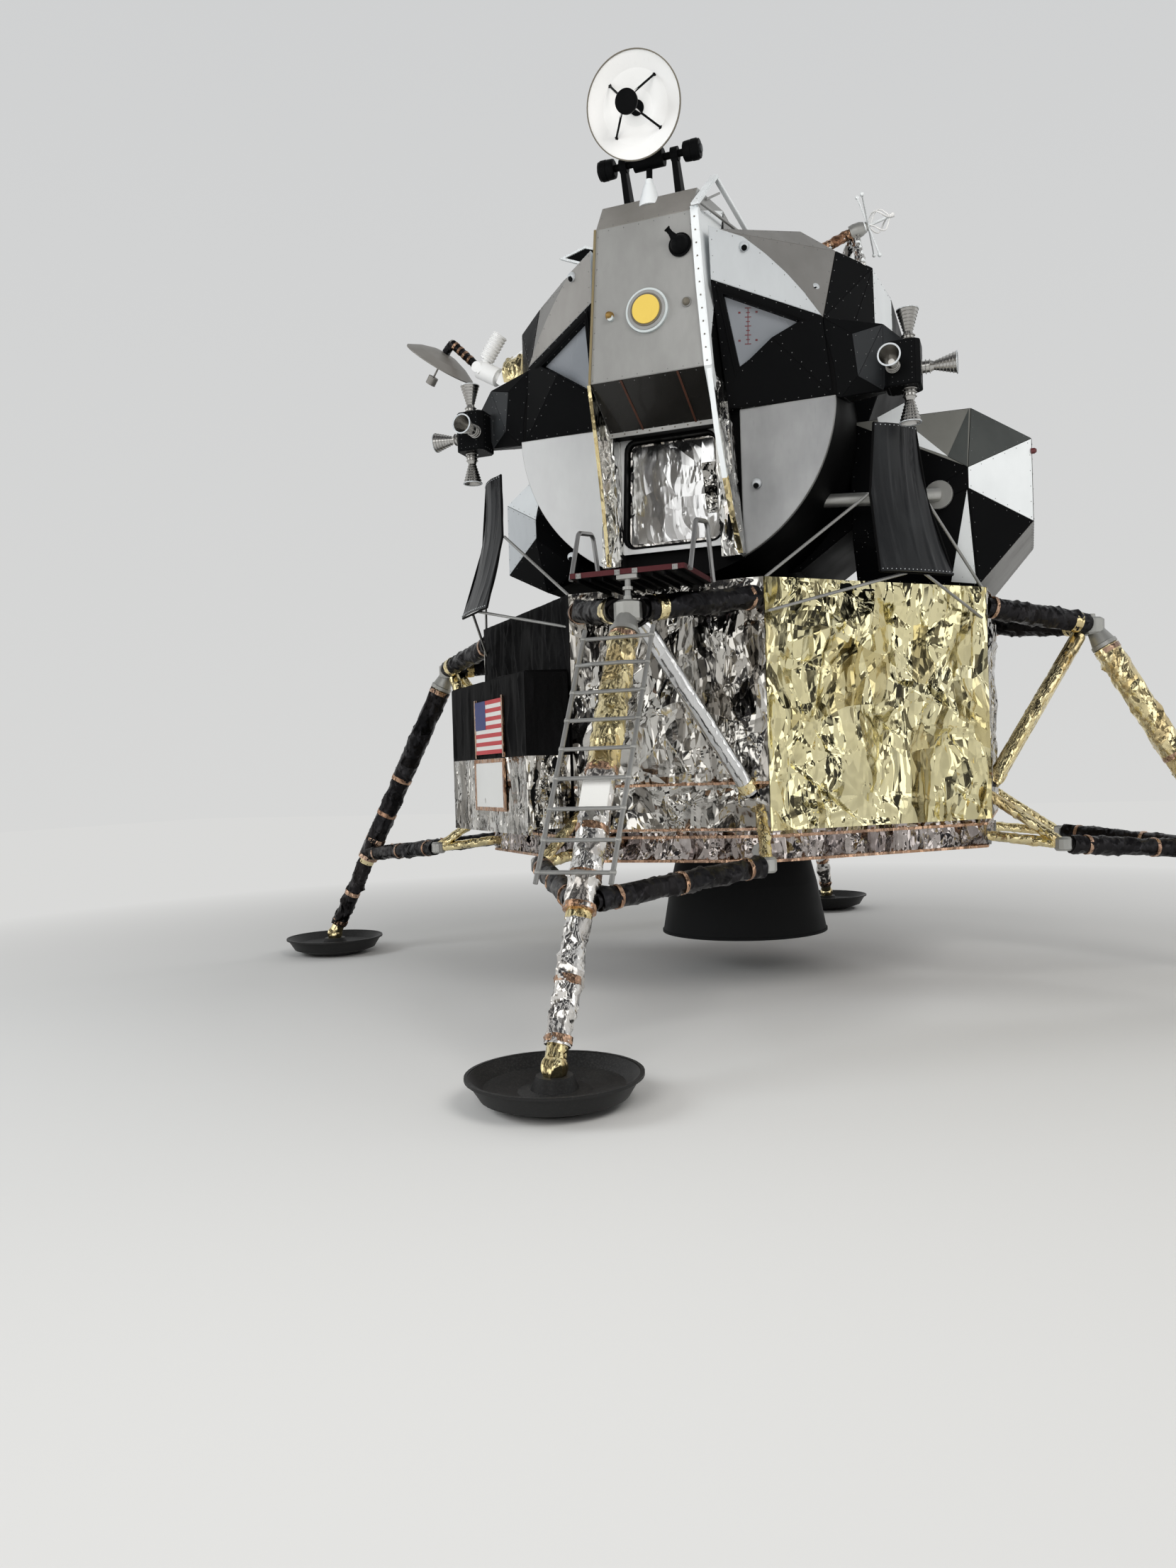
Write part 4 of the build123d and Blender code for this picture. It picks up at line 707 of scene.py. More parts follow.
def plate(corners: Iterable[Corner], depth: float, proud: float = 0.0, edge: float = 0.003) -> Mesh:
    """Builds a flat sheet with softened front edges.

    Args:
        corners: Corners in order, counter-clockwise seen from outside.
        depth: Thickness, measured inwards.
        proud: How far the front stands off the given corners.
        edge: Width of the softened edge.

    Returns:
        The closed mesh.
    """
    outline = as_points(corners)
    normal = newell(outline)
    rings = [
        inset(outline, edge) + normal * proud,
        outline + normal * (proud - edge),
        outline + normal * (proud - depth),
    ]
    count = len(outline)
    faces = [tuple(range(count))]
    for level in range(2):
        for i in range(count):
            j = (i + 1) % count
            faces.append((level * count + i, (level + 1) * count + i, (level + 1) * count + j, level * count + j))
    faces.append(tuple(range(3 * count - 1, 2 * count - 1, -1)))
    return np.vstack(rings), faces


def rim(outer: Iterable[Corner], inner: Iterable[Corner], depth: float, proud: float = 0.0) -> Mesh:
    """Builds a flat frame between two outlines with the same number of corners.

    Args:
        outer: Corners of the outer outline.
        inner: Corners of the inner outline.
        depth: Depth of the frame.
        proud: How far its front stands off the outlines.

    Returns:
        The mesh.
    """
    ring_out, ring_in = as_points(outer), as_points(inner)
    normal = newell(ring_out)
    count = len(ring_out)
    levels = [ring_out + normal * proud, ring_in + normal * proud, ring_in + normal * (proud - depth),
              ring_out + normal * (proud - depth)]
    faces = []
    for level in range(4):
        following = (level + 1) % 4
        for i in range(count):
            j = (i + 1) % count
            faces.append((level * count + i, level * count + j, following * count + j, following * count + i))
    return np.vstack(levels), faces


def tube(path: Sequence[Corner], radius: float | Callable[[float], float], sides: int = 12) -> Mesh:
    """Builds a closed round bar along a path.

    Args:
        path: Points of the path.
        radius: Radius, or a function of the share of the way along.
        sides: Number of points round the bar.

    Returns:
        The closed mesh.
    """
    points = as_points(path)
    steps = np.linalg.norm(np.diff(points, axis=0), axis=1)
    shares = np.concatenate([[0.0], np.cumsum(steps)]) / steps.sum()
    tangents = np.gradient(points, axis=0)
    first = across(tangents[0])[0]
    rings = []
    for point, tangent, share in zip(points, tangents, shares):
        along = unit(tangent)
        first = unit(first - along * (first @ along))
        size = radius(share) if callable(radius) else radius
        rings.append(point + size * circle(first, np.cross(along, first), sides))
    return np.vstack(rings), capped(len(points), sides)


def turned(outline: Sequence[tuple[float, float]], origin: Corner, axis: Corner, sides: int = 32) -> Mesh:
    """Turns an outline of (radius, height) pairs about an axis; radii of zero close it.

    Args:
        outline: Pairs of radius and height.
        origin: Point of the axis at height zero.
        axis: Direction of the axis.
        sides: Number of sides.

    Returns:
        The mesh.
    """
    along, around = unit(axis), circle(*across(axis), sides)
    rings = [np.asarray(origin) + along * height + max(radius, 1e-5) * around for radius, height in outline]
    return np.vstack(rings), capped(len(outline), sides)


def ring(inner: float, outer: float, height: float, origin: Corner, axis: Corner, sides: int = 32) -> Mesh:
    """Builds a flat ring that stands on a plane.

    Args:
        inner: Inner radius.
        outer: Outer radius.
        height: Height over the plane.
        origin: Middle of its foot.
        axis: Normal of the plane.
        sides: Number of sides.

    Returns:
        The mesh.
    """
    profile = [(inner, 0), (outer, 0), (outer, height), (inner, height), (inner, 0)]
    vertices, faces = turned(profile, origin, axis, sides)
    return vertices, faces[:-2]


def mirrored(mesh: Mesh) -> Mesh:
    """Mirrors a mesh across the middle of the lander and keeps its faces outwards."""
    vertices, faces = mesh
    return vertices * (-1, 1, 1), [tuple(reversed(face)) for face in faces]


def spun(mesh: Mesh, quarter_turns: int) -> Mesh:
    """Turns a mesh about the upright middle axis.

    Args:
        mesh: Mesh to turn.
        quarter_turns: Number of quarter turns.

    Returns:
        The turned mesh.
    """
    vertices, faces = mesh
    angle = quarter_turns * math.pi / 2
    cosine, sine = round(math.cos(angle)), round(math.sin(angle))
    turn = np.array([[cosine, sine, 0], [-sine, cosine, 0], [0, 0, 1]])
    return vertices @ turn, faces


@dataclass(frozen=True)
class Folds:
    """Sharp ridges and valleys that are pressed into a surface."""

    seed: int
    count: int
    length: tuple[float, float]
    width: tuple[float, float]
    height: float
    lean: Corner = UP
    follow: float = 0.0
    valleys: float = 0.35

    def heights(self, points: np.ndarray, normals: np.ndarray) -> np.ndarray:
        """Works out how far each point is pushed along its normal.

        Args:
            points: Surface points.
            normals: Their unit normals.

        Returns:
            One height for each point.
        """
        draw = np.random.default_rng(self.seed)
        total = np.zeros(len(points))
        lean = np.asarray(self.lean, float)
        for _ in range(self.count):
            centre = int(draw.integers(len(points)))
            normal = normals[centre]
            direction = unit(draw.normal(size=3)) * (1 - self.follow) + lean * self.follow * draw.choice((-1, 1))
            direction = unit(direction - normal * (direction @ normal))
            half = draw.uniform(*self.length) / 2
            wide = draw.uniform(*self.width)
            skew = draw.uniform(0.35, 1.0)
            sign = -1.0 if draw.random() < self.valleys else 1.0
            size = draw.uniform(0.35, 1.0) * sign
            offset = points - points[centre]
            along = offset @ direction
            share = np.clip(1 - np.abs(along) / half, 0, 1)
            away = offset - np.outer(along, direction)
            side = away @ np.cross(normal, direction)
            reach = np.where(side > 0, wide, wide * skew) * (0.4 + 0.6 * share)
            total += size * share * np.clip(1 - np.linalg.norm(away, axis=1) / reach, 0, 1)
        return total * self.height


def pressed(
    points: np.ndarray, normals: np.ndarray, folds: Sequence[Folds], hold: Optional[np.ndarray] = None,
) -> np.ndarray:
    """Moves points along their normals by several sets of folds.

    Args:
        points: Points to move.
        normals: Their normals.
        folds: Sets of folds.
        hold: Share of the height that each point takes.

    Returns:
        The moved points.
    """
    heights = sum((fold.heights(points, normals) for fold in folds), np.zeros(len(points)))
    if hold is not None:
        heights = heights * hold
    return points + normals * heights[:, None]


def sheet_patch(corners: Sequence[Corner], folds: Sequence[Folds], cell: float = 0.02, proud: float = 0.0,
                skirt: float = 0.03, hold_edge: float = 0.05, sag: float = 0.0, closed: bool = True) -> Mesh:
    """Builds a crumpled sheet over a four-cornered field.

    Args:
        corners: Low left, low right, high right and high left corner, seen from outside.
        folds: Folds to press in.
        cell: Size of the grid cells.
        proud: How far the middle stands off the corners.
        skirt: How far the edges turn back.
        hold_edge: Width over which the folds fade in from the edge.
        sag: How far the middle bellies out.
        closed: Whether the back is closed; cloth stays open there.

    Returns:
        The mesh.
    """
    low_left, low_right, high_right, high_left = (np.asarray(c, float) for c in corners)
    width = max(np.linalg.norm(low_right - low_left), np.linalg.norm(high_right - high_left))
    height = max(np.linalg.norm(high_left - low_left), np.linalg.norm(high_right - low_right))
    columns, rows = max(3, int(width / cell) + 1), max(3, int(height / cell) + 1)
    u, v = np.meshgrid(np.linspace(0, 1, columns), np.linspace(0, 1, rows))
    u, v = u.ravel()[:, None], v.ravel()[:, None]
    points = (low_left * (1 - u) + low_right * u) * (1 - v) + (high_left * (1 - u) + high_right * u) * v
    normal = unit(np.cross(low_right - low_left, high_left - low_left))
    normals = np.tile(normal, (len(points), 1))
    side = np.minimum(np.minimum(u, 1 - u) * width, np.minimum(v, 1 - v) * height).ravel()
    hold = np.clip(side / hold_edge, 0.25, 1)
    belly = sag * (np.sin(u * math.pi) * np.sin(v * math.pi)).ravel()
    moved = pressed(points, normals, folds, hold) + normals * (proud + belly)[:, None]
    border = list(range(columns))
    border += [row * columns + columns - 1 for row in range(1, rows)]
    border += [(rows - 1) * columns + i for i in range(columns - 2, -1, -1)]
    border += [row * columns for row in range(rows - 2, 0, -1)]
    back = points[border] - normal * skirt
    faces = quads(rows, columns)
    first = len(moved)
    for i, here in enumerate(border):
        j = (i + 1) % len(border)
        faces.append((border[j], here, first + i, first + j))
    if closed:
        faces.append(tuple(range(first + len(border) - 1, first - 1, -1)))
    return np.vstack([moved, back]), faces


def sleeve(start: Corner, end: Corner, radius: float | Callable[[float], float], folds: Sequence[Folds],
           cell: float = 0.014, sides: int = 28, droop: float = 0.0) -> Mesh:
    """Builds a wrapped round sleeve between two points, with folds pressed in.

    Args:
        start: First end.
        end: Second end.
        radius: Radius, or a function of the share of the way along.
        folds: Folds to press in.
        cell: Length of the grid cells along the sleeve.
        sides: Number of points round it.
        droop: How far the middle hangs down.

    Returns:
        The closed mesh.
    """
    start, end = np.asarray(start, float), np.asarray(end, float)
    length = np.linalg.norm(end - start)
    rows = max(4, int(length / cell) + 1)
    around = circle(*across(end - start), sides)
    points = []
    for row in range(rows):
        share = row / (rows - 1)
        size = radius(share) if callable(radius) else radius
        middle = start + (end - start) * share - np.array([0, 0, droop * math.sin(share * math.pi)])
        points.append(middle + around * size)
    return pressed(np.vstack(points), np.tile(around, (rows, 1)), folds), capped(rows, sides)


class Piece:
    """One visible piece, gathered from meshes that each have their finish."""

    def __init__(self, name: str) -> None:
        """Starts an empty piece.

        Args:
            name: Name of the piece.
        """
        self.name = name
        self.vertices: list[np.ndarray] = []
        self.faces: list[tuple[int, ...]] = []
        self.slots: list[int] = []
        self.finishes: list[Finish] = []
        self.count = 0

    def add(self, mesh: Mesh, finish: Finish) -> "Piece":
        """Adds a mesh with its finish and returns the piece.

        Args:
            mesh: Vertices and faces.
            finish: Finish of the mesh.

        Returns:
            The piece itself.
        """
        vertices, faces = mesh
        if finish not in self.finishes:
            self.finishes.append(finish)
        self.vertices.append(np.asarray(vertices, float))
        self.faces += [tuple(i + self.count for i in face) for face in faces]
        self.slots += [self.finishes.index(finish)] * len(faces)
        self.count += len(vertices)
        return self

    def both(self, mesh: Mesh, finish: Finish) -> "Piece":
        """Adds a mesh and its mirror image."""
        return self.add(mesh, finish).add(mirrored(mesh), finish)

    def build(self, slot: str, body: str = BODY, replaces: Sequence[str] = (), sharp: float = 28.0) -> Object:
        """Makes the Blender object and sets it on its body.

        Args:
            slot: Material slot; not used.
            body: Body that the piece moves with.
            replaces: Nodes that the piece stands for.
            sharp: Edges bent by more degrees than this stay sharp.

        Returns:
            The new object.
        """
        mesh = bpy.data.meshes.new(self.name)
        mesh.from_pydata(np.vstack(self.vertices).tolist(), [], self.faces)
        for finish in self.finishes:
            mesh.materials.append(finish.material())
        mesh.polygons.foreach_set("material_index", self.slots)
        mesh.polygons.foreach_set("use_smooth", [True] * len(self.faces))
        mesh.validate()
        mesh.set_sharp_from_angle(angle=math.radians(sharp))
        mesh.update()
        made = bpy.data.objects.new(self.name, mesh)
        bpy.context.scene.collection.objects.link(made)
        return settle(made, body, replaces)


@dataclass(frozen=True)
class Cloth:
    """How a piece of cloth was cut and how it is held."""

    flat: tuple[float, float]
    area: float
    held: str
    rests_on: str
    thick: float = 0.003

    def declare(self, made: Object, with_pieces: Sequence[Object] = ()) -> None:
        """Gives the open sheet its thickness.

        Args:
            made: Object of the sheet.
            with_pieces: Objects that belong to it; not used.
        """
        shell = made.modifiers.new("cloth", "SOLIDIFY")
        shell.thickness = self.thick
        shell.offset = -1.0


def settle(made: Object, body: str = BODY, replaces: Sequence[str] = ()) -> Object:
    """Makes an object ride on its body and logs it.

    Args:
        made: The object.
        body: Body that it rides on.
        replaces: Frame pieces that it stands for.

    Returns:
        The object.
    """
    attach(made, body)
    if replaces:
        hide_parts(*replaces)
    log.info("%s: %d faces on %s", made.name, len(made.data.polygons), body)
    return made


# Geometry Nodes: what repeats along rows and paths

class Rows:
    """A Geometry Nodes tree that sets copies of a small shape along edge rows."""

    def __init__(self, name: str, sizes: dict[str, float], counts: dict[str, int]) -> None:
        """Starts the tree with its named inputs.

        Args:
            name: Name of the tree.
            sizes: Decimal inputs with their default values.
            counts: Whole-number inputs with their default values.
        """
        self.tree = bpy.data.node_groups.new(name, "GeometryNodeTree")
        sides = self.tree.interface
        sides.new_socket("Rows", in_out="INPUT", socket_type="NodeSocketGeometry")
        for key, value in sizes.items():
            sides.new_socket(key, in_out="INPUT", socket_type="NodeSocketFloat").default_value = value
        for key, value in counts.items():
            sides.new_socket(key, in_out="INPUT", socket_type="NodeSocketInt").default_value = value
        sides.new_socket("Finish", in_out="INPUT", socket_type="NodeSocketMaterial")
        sides.new_socket("Copies", in_out="OUTPUT", socket_type="NodeSocketGeometry")
        self.make = NodeMaker(self.tree)
        self.entry = self.tree.nodes.new("NodeGroupInput")
        self.leave = self.tree.nodes.new("NodeGroupOutput")

    def given(self, name: str) -> NodeSocket:
        """Returns the socket of a named input."""
        return self.entry.outputs[name]

    def close(self, copies: NodeSocket) -> None:
        """Realizes the copies, shades them smooth and gives them the finish.

        Args:
            copies: Socket of the copies.
        """
        real = self.make.add("GeometryNodeRealizeInstances", Geometry=copies)
        smooth = self.make.add("GeometryNodeSetShadeSmooth", Geometry=real)
        painted = self.make.add("GeometryNodeSetMaterial", Geometry=smooth, Material=self.given("Finish"))
        self.make.fill(self.leave.inputs[0], painted)

    def grow(self, name: str, rows: Sequence[Sequence[Corner]], finish: Finish, slot: str, body: str = BODY,
             **values: float) -> Object:
        """Grows the copies along rows and turns the result into a plain piece.

        Args:
            name: Name of the piece.
            rows: Rows of points; closed rows repeat their first point.
            finish: Finish of the copies.
            slot: Material slot; not used.
            body: Body that the piece moves with.
            **values: Inputs by name, with spaces written as underscores.

        Returns:
            The new object.
        """
        points, edges = [], []
        for row in rows:
            first = len(points)
            points += [tuple(p) for p in row]
            edges += [(first + i, first + i + 1) for i in range(len(row) - 1)]
        mesh = bpy.data.meshes.new(name)
        mesh.from_pydata(points, edges, [])
        made = bpy.data.objects.new(name, mesh)
        bpy.context.scene.collection.objects.link(made)
        modifier = made.modifiers.new("rows", "NODES")
        modifier.node_group = self.tree
        names = {item.name: item.identifier for item in self.tree.interface.items_tree if item.in_out == "INPUT"}
        modifier[names["Finish"]] = finish.material()
        for key, value in values.items():
            modifier[names[key.replace("_", " ")]] = value
        seen = bpy.context.evaluated_depsgraph_get()
        plain = bpy.data.meshes.new_from_object(made.evaluated_get(seen), depsgraph=seen)
        made.modifiers.clear()
        made.data = plain
        return settle(made, body)


def bead_rows() -> Rows:
    """Builds the tree that sets small round heads along rows, for rivets and lacing.

    Returns:
        The finished tree.
    """
    rows = Rows("bead_rows", {"Spacing": 0.06, "Radius": 0.004}, {"Sides": 6})
    curve = rows.make.add("GeometryNodeMeshToCurve", Mesh=rows.given("Rows"))
    spaced = rows.make.add("GeometryNodeResampleCurve", {"mode": "LENGTH"}, Curve=curve, Length=rows.given("Spacing"))
    head = rows.make.add("GeometryNodeMeshUVSphere", Segments=rows.given("Sides"), Rings=4, Radius=rows.given("Radius"))
    copies = rows.make.add("GeometryNodeInstanceOnPoints", Points=spaced, Instance=head)
    rows.close(copies.outputs[0])
    return rows


def hoop_rows() -> Rows:
    """Builds the tree that sets hoops round a path, for straps, collars and bell ribs.

    Returns:
        The finished tree.
    """
    rows = Rows("hoop_rows", {"First Radius": 0.05, "Last Radius": 0.05, "Thickness": 0.06, "Flatness": 1.0},
                {"Count": 4, "Sides": 24})
    make = rows.make
    curve = make.add("GeometryNodeMeshToCurve", Mesh=rows.given("Rows"))
    stops = make.add("GeometryNodeCurveToPoints", {"mode": "COUNT"}, Curve=curve, Count=rows.given("Count"))
    order = make.add("GeometryNodeInputIndex")
    per_row = make.math("MODULO", order.outputs[0], rows.given("Count"))
    share = make.math("DIVIDE", per_row, make.math("SUBTRACT", rows.given("Count"), 1.0))
    spread = make.math("SUBTRACT", rows.given("Last Radius"), rows.given("First Radius"))
    size = make.math("ADD", rows.given("First Radius"), make.math("MULTIPLY", share, spread))
    circle = make.add("GeometryNodeCurvePrimitiveCircle", Resolution=rows.given("Sides"), Radius=1.0)
    section = make.add("GeometryNodeCurvePrimitiveCircle", Resolution=6, Radius=rows.given("Thickness"))
    hoop = make.add("GeometryNodeCurveToMesh", Curve=circle.outputs[0], Profile_Curve=section.outputs[0])
    flat = make.add("ShaderNodeCombineXYZ", X=1.0, Y=1.0, Z=rows.given("Flatness"))
    shaped = make.add("GeometryNodeTransform", Geometry=hoop, Scale=flat.outputs[0])
    copies = make.add("GeometryNodeInstanceOnPoints", Points=stops.outputs["Points"], Instance=shaped,
                      Rotation=stops.outputs["Rotation"])
    sized = make.add("GeometryNodeScaleInstances", Instances=copies)
    make.fill(sized.inputs["Scale"], size)
    rows.close(sized.outputs[0])
    return rows


def slat_rows() -> Rows:
    """Builds the tree that sets thin bars across a path, for louvres and slots.

    Returns:
        The finished tree.
    """
    rows = Rows("slat_rows", {"Width": 0.1, "Depth": 0.01, "Height": 0.004, "Tilt": 0.0}, {"Count": 8})
    make = rows.make
    curve = make.add("GeometryNodeMeshToCurve", Mesh=rows.given("Rows"))
    stops = make.add("GeometryNodeCurveToPoints", {"mode": "COUNT"}, Curve=curve, Count=rows.given("Count"))
    size = make.add("ShaderNodeCombineXYZ", X=rows.given("Height"), Y=rows.given("Width"), Z=rows.given("Depth"))
    bar = make.add("GeometryNodeMeshCube", Size=size.outputs[0])
    lean = make.add("ShaderNodeCombineXYZ", X=0.0, Y=rows.given("Tilt"), Z=0.0)
    leaning = make.add("GeometryNodeTransform", Geometry=bar.outputs[0], Rotation=lean.outputs[0])
    copies = make.add("GeometryNodeInstanceOnPoints", Points=stops.outputs["Points"], Instance=leaning,
                      Rotation=stops.outputs["Rotation"])
    rows.close(copies.outputs[0])
    return rows


class Patterns:
    """The Geometry Nodes trees, each built once by the main function."""

    beads: Rows
    hoops: Rows
    slats: Rows

    @classmethod
    def build(cls) -> None:
        """Builds the three trees."""
        cls.beads = bead_rows()
        cls.hoops = hoop_rows()
        cls.slats = slat_rows()


# Panels over the flat sides of the hard parts

@dataclass(frozen=True)
class Facet:
    """One flat side of a hard part."""

    corners: np.ndarray
    centre: np.ndarray
    normal: np.ndarray
    area: float


def facets(node: str, least: float = 0.008) -> list[Facet]:
    """Finds the flat sides of a node on a merged copy of its mesh.

    Args:
        node: Name of the node.
        least: Smallest area that counts, in square metres.

    Returns:
        The flat sides, with corners counter-clockwise seen from outside.
    """
    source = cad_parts[node]
    shape = bmesh.new()
    shape.from_mesh(source.data)
    shape.transform(source.matrix_world)
    bmesh.ops.remove_doubles(shape, verts=shape.verts, dist=1e-5)
    bmesh.ops.dissolve_limit(shape, angle_limit=math.radians(0.5), verts=shape.verts, edges=shape.edges)
    found = []
    for face in shape.faces:
        if face.calc_area() >= least:
            corners = np.array([tuple(v.co) for v in face.verts])
            centre = np.array(face.calc_center_median())
            found.append(Facet(corners, centre, np.array(face.normal), face.calc_area()))
    shape.free()
    return found


@dataclass(frozen=True)
class Cover:
    """Finish for the flat sides of a node that lie near a place, on one side of the lander or on both."""

    finish: Finish
    near: Corner = (0.0, 0.0, 4.0)
    reach: float = 9.0
    side: Optional[Side] = None

    def fits(self, facet: Facet) -> bool:
        """Tells whether a flat side lies within reach.

        Args:
            facet: The flat side.

        Returns:
            Whether it lies within reach.
        """
        x, y, z = facet.centre
        if self.side is not None and x * self.side.value < 0:
            return False
        return math.dist((abs(x), y, z), self.near) < self.reach


@dataclass(frozen=True)
class Skin:
    """Thin riveted panels over every flat side of a node."""

    node: str
    slot: str
    covers: tuple[Cover, ...]
    body: str = BODY
    margin: float = 0.002
    rivets: float = 0.11
    rivet_size: float = 0.0038
    least: float = 0.012

    def build(self) -> None:
        """Makes the panels of the node as one piece and its rivets as another."""
        piece = Piece(f"{self.node}_panels")
        rows = []
        for facet in facets(self.node, self.least):
            cover = next((c for c in self.covers if c.fits(facet)), None)
            if cover is None:
                continue
            piece.add(plate(inset(facet.corners, self.margin), 0.006, 0.003, 0.002), cover.finish)
            if self.rivets and facet.area > 0.03:
                row = inset(facet.corners, 0.02) + facet.normal * 0.003
                rows.append([*row, row[0]])
        if piece.count:
            piece.build(self.slot, self.body)
        if rows:
            Patterns.beads.grow(f"{self.node}_rivets", rows, RIVET, self.slot, self.body,
                                Spacing=self.rivets, Radius=self.rivet_size)


def bar(path: Sequence[Corner], side: Corner, width: float, depth: float) -> Mesh:
    """Builds a flat bar along a path.

    Args:
        path: Points of the bar's back middle line.
        side: Direction of the width; the depth grows along the path's direction crossed with it.
        width: Width of the bar.
        depth: Depth of the bar.

    Returns:
        The closed mesh.
    """
    points = as_points(path)
    half = unit(side) * width / 2
    rings = []
    for point, tangent in zip(points, np.gradient(points, axis=0)):
        out = unit(np.cross(tangent, half)) * depth
        rings.append(np.array([point - half, point + half, point + half + out, point - half + out]))
    return np.vstack(rings), capped(len(points), 4)


def box(low: Corner, high: Corner, edge: float = 0.002) -> Mesh:
    """Builds a block between two corners, with a softened front."""
    (x0, y0, z0), (x1, y1, z1) = low, high
    return plate([(x0, y0, z0), (x1, y0, z0), (x1, y0, z1), (x0, y0, z1)], y1 - y0, 0.0, edge)


def disc(centre: Corner, normal: Corner, radius: float, thick: float, sides: int = 32) -> Mesh:
    """Builds a round plate that stands on a surface point.

    Args:
        centre: Middle of its foot.
        normal: Direction in which it stands.
        radius: Radius of the plate.
        thick: Thickness of the plate.
        sides: Number of sides.

    Returns:
        The mesh.
    """
    edge = min(0.002, thick / 3)
    profile = [(0, 0), (radius, 0), (radius, thick - edge), (radius - edge, thick), (0, thick)]
    return turned(profile, centre, normal, sides)


def dome(centre: Corner, normal: Corner, radius: float, sides: int = 20) -> Mesh:
    """Builds half a ball that stands on a surface point."""
    outline = [(radius * math.cos(a), radius * math.sin(a)) for a in np.linspace(0, math.pi / 2, 7)]
    return turned([(0, 0), *outline], centre, normal, sides)


def small_folds(seed: int, size: float = 1.0, count: int = 90) -> tuple[Folds, ...]:
    """Returns folds for narrow wraps and bands, scaled by size.

    Args:
        seed: Seed of the folds.
        size: Scale of the folds.
        count: Number of the larger folds.

    Returns:
        Two sets of folds.
    """
    return (
        Folds(seed, count, (0.08 * size, 0.3 * size), (0.015 * size, 0.04 * size), 0.009 * size),
        Folds(seed + 1, count * 2, (0.03 * size, 0.1 * size), (0.005 * size, 0.014 * size), 0.003 * size),
    )


# Sub-assemblies

@dataclass(frozen=True)
class PlainParts:
    """Hard parts that show as they are, each with one finish on all its slots."""

    finishes: tuple[tuple[Finish, tuple[str, ...]], ...]

    def build(self) -> None:
        """Gives every listed node its finish."""
        for finish, nodes in self.finishes:
            for name in nodes:
                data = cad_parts[name].data
                data.materials.clear()
                data.materials.append(finish.material())
        log.info("finishes set on %d hard parts", sum(len(nodes) for _, nodes in self.finishes))


PLAIN_PARTS = PlainParts((
    (SOFT_BLACK, ("descent_core", "descent_deck", "cabin_barrel", "midsection", "front_bulkhead", "cabin_roof",
                  "aft_equipment_bay", "left_tank_cover", "right_tank_cover")),
    (ROSE_SILVER, ("base_heat_shield",)),
    (TUBE_GREY, ("engine_gimbal_mounts", "engine_gimbal_ring", "ladder_rails", "ladder_rungs", "deflector_frames",
                 "docking_tunnel", "overhead_hatch", "pallet_hinges")),
    (ENGINE_BLACK, ("descent_engine",)),
    (BLACK, ("window_panels", "side_shoulder_covers", "thruster_arms", "thruster_housings", "radar_pedestal",
             "radar_yoke", "porch", "hatch_frame")),
    (BRIGHT_SHEET, ("window_brows",)),
    (RAIL_GREY, ("porch_handrails",)),
    (SHEET, ("nose_fairing", "lower_face_panels")),
    (WARM_SHEET, ("shoulder_covers", "steerable_dish")),
    (CLOTH, ("equipment_pallet",)),
    (WINDOW, ("window_panes",)),
    (SILVER_WRAP, ("forward_hatch", "face_beams", "ascent_engine_can")),
    (STEEL, ("thruster_nozzles",)),
    (WHITE, ("radar_dish", "steerable_base", "steerable_gimbal")),
    (WHITE_STRIP, ("omni_antenna",)),
    (RING_GREY, ("face_fittings",)),
    (BLACK_WRAP, tuple(f"{leg.name.lower()}_leg_braces" for leg in Leg)),
    (GOLD_WRAP, tuple(f"{leg.name.lower()}_primary_strut" for leg in Leg)),
    (PAD_BLACK, tuple(f"{leg.name.lower()}_footpad" for leg in Leg)),
))

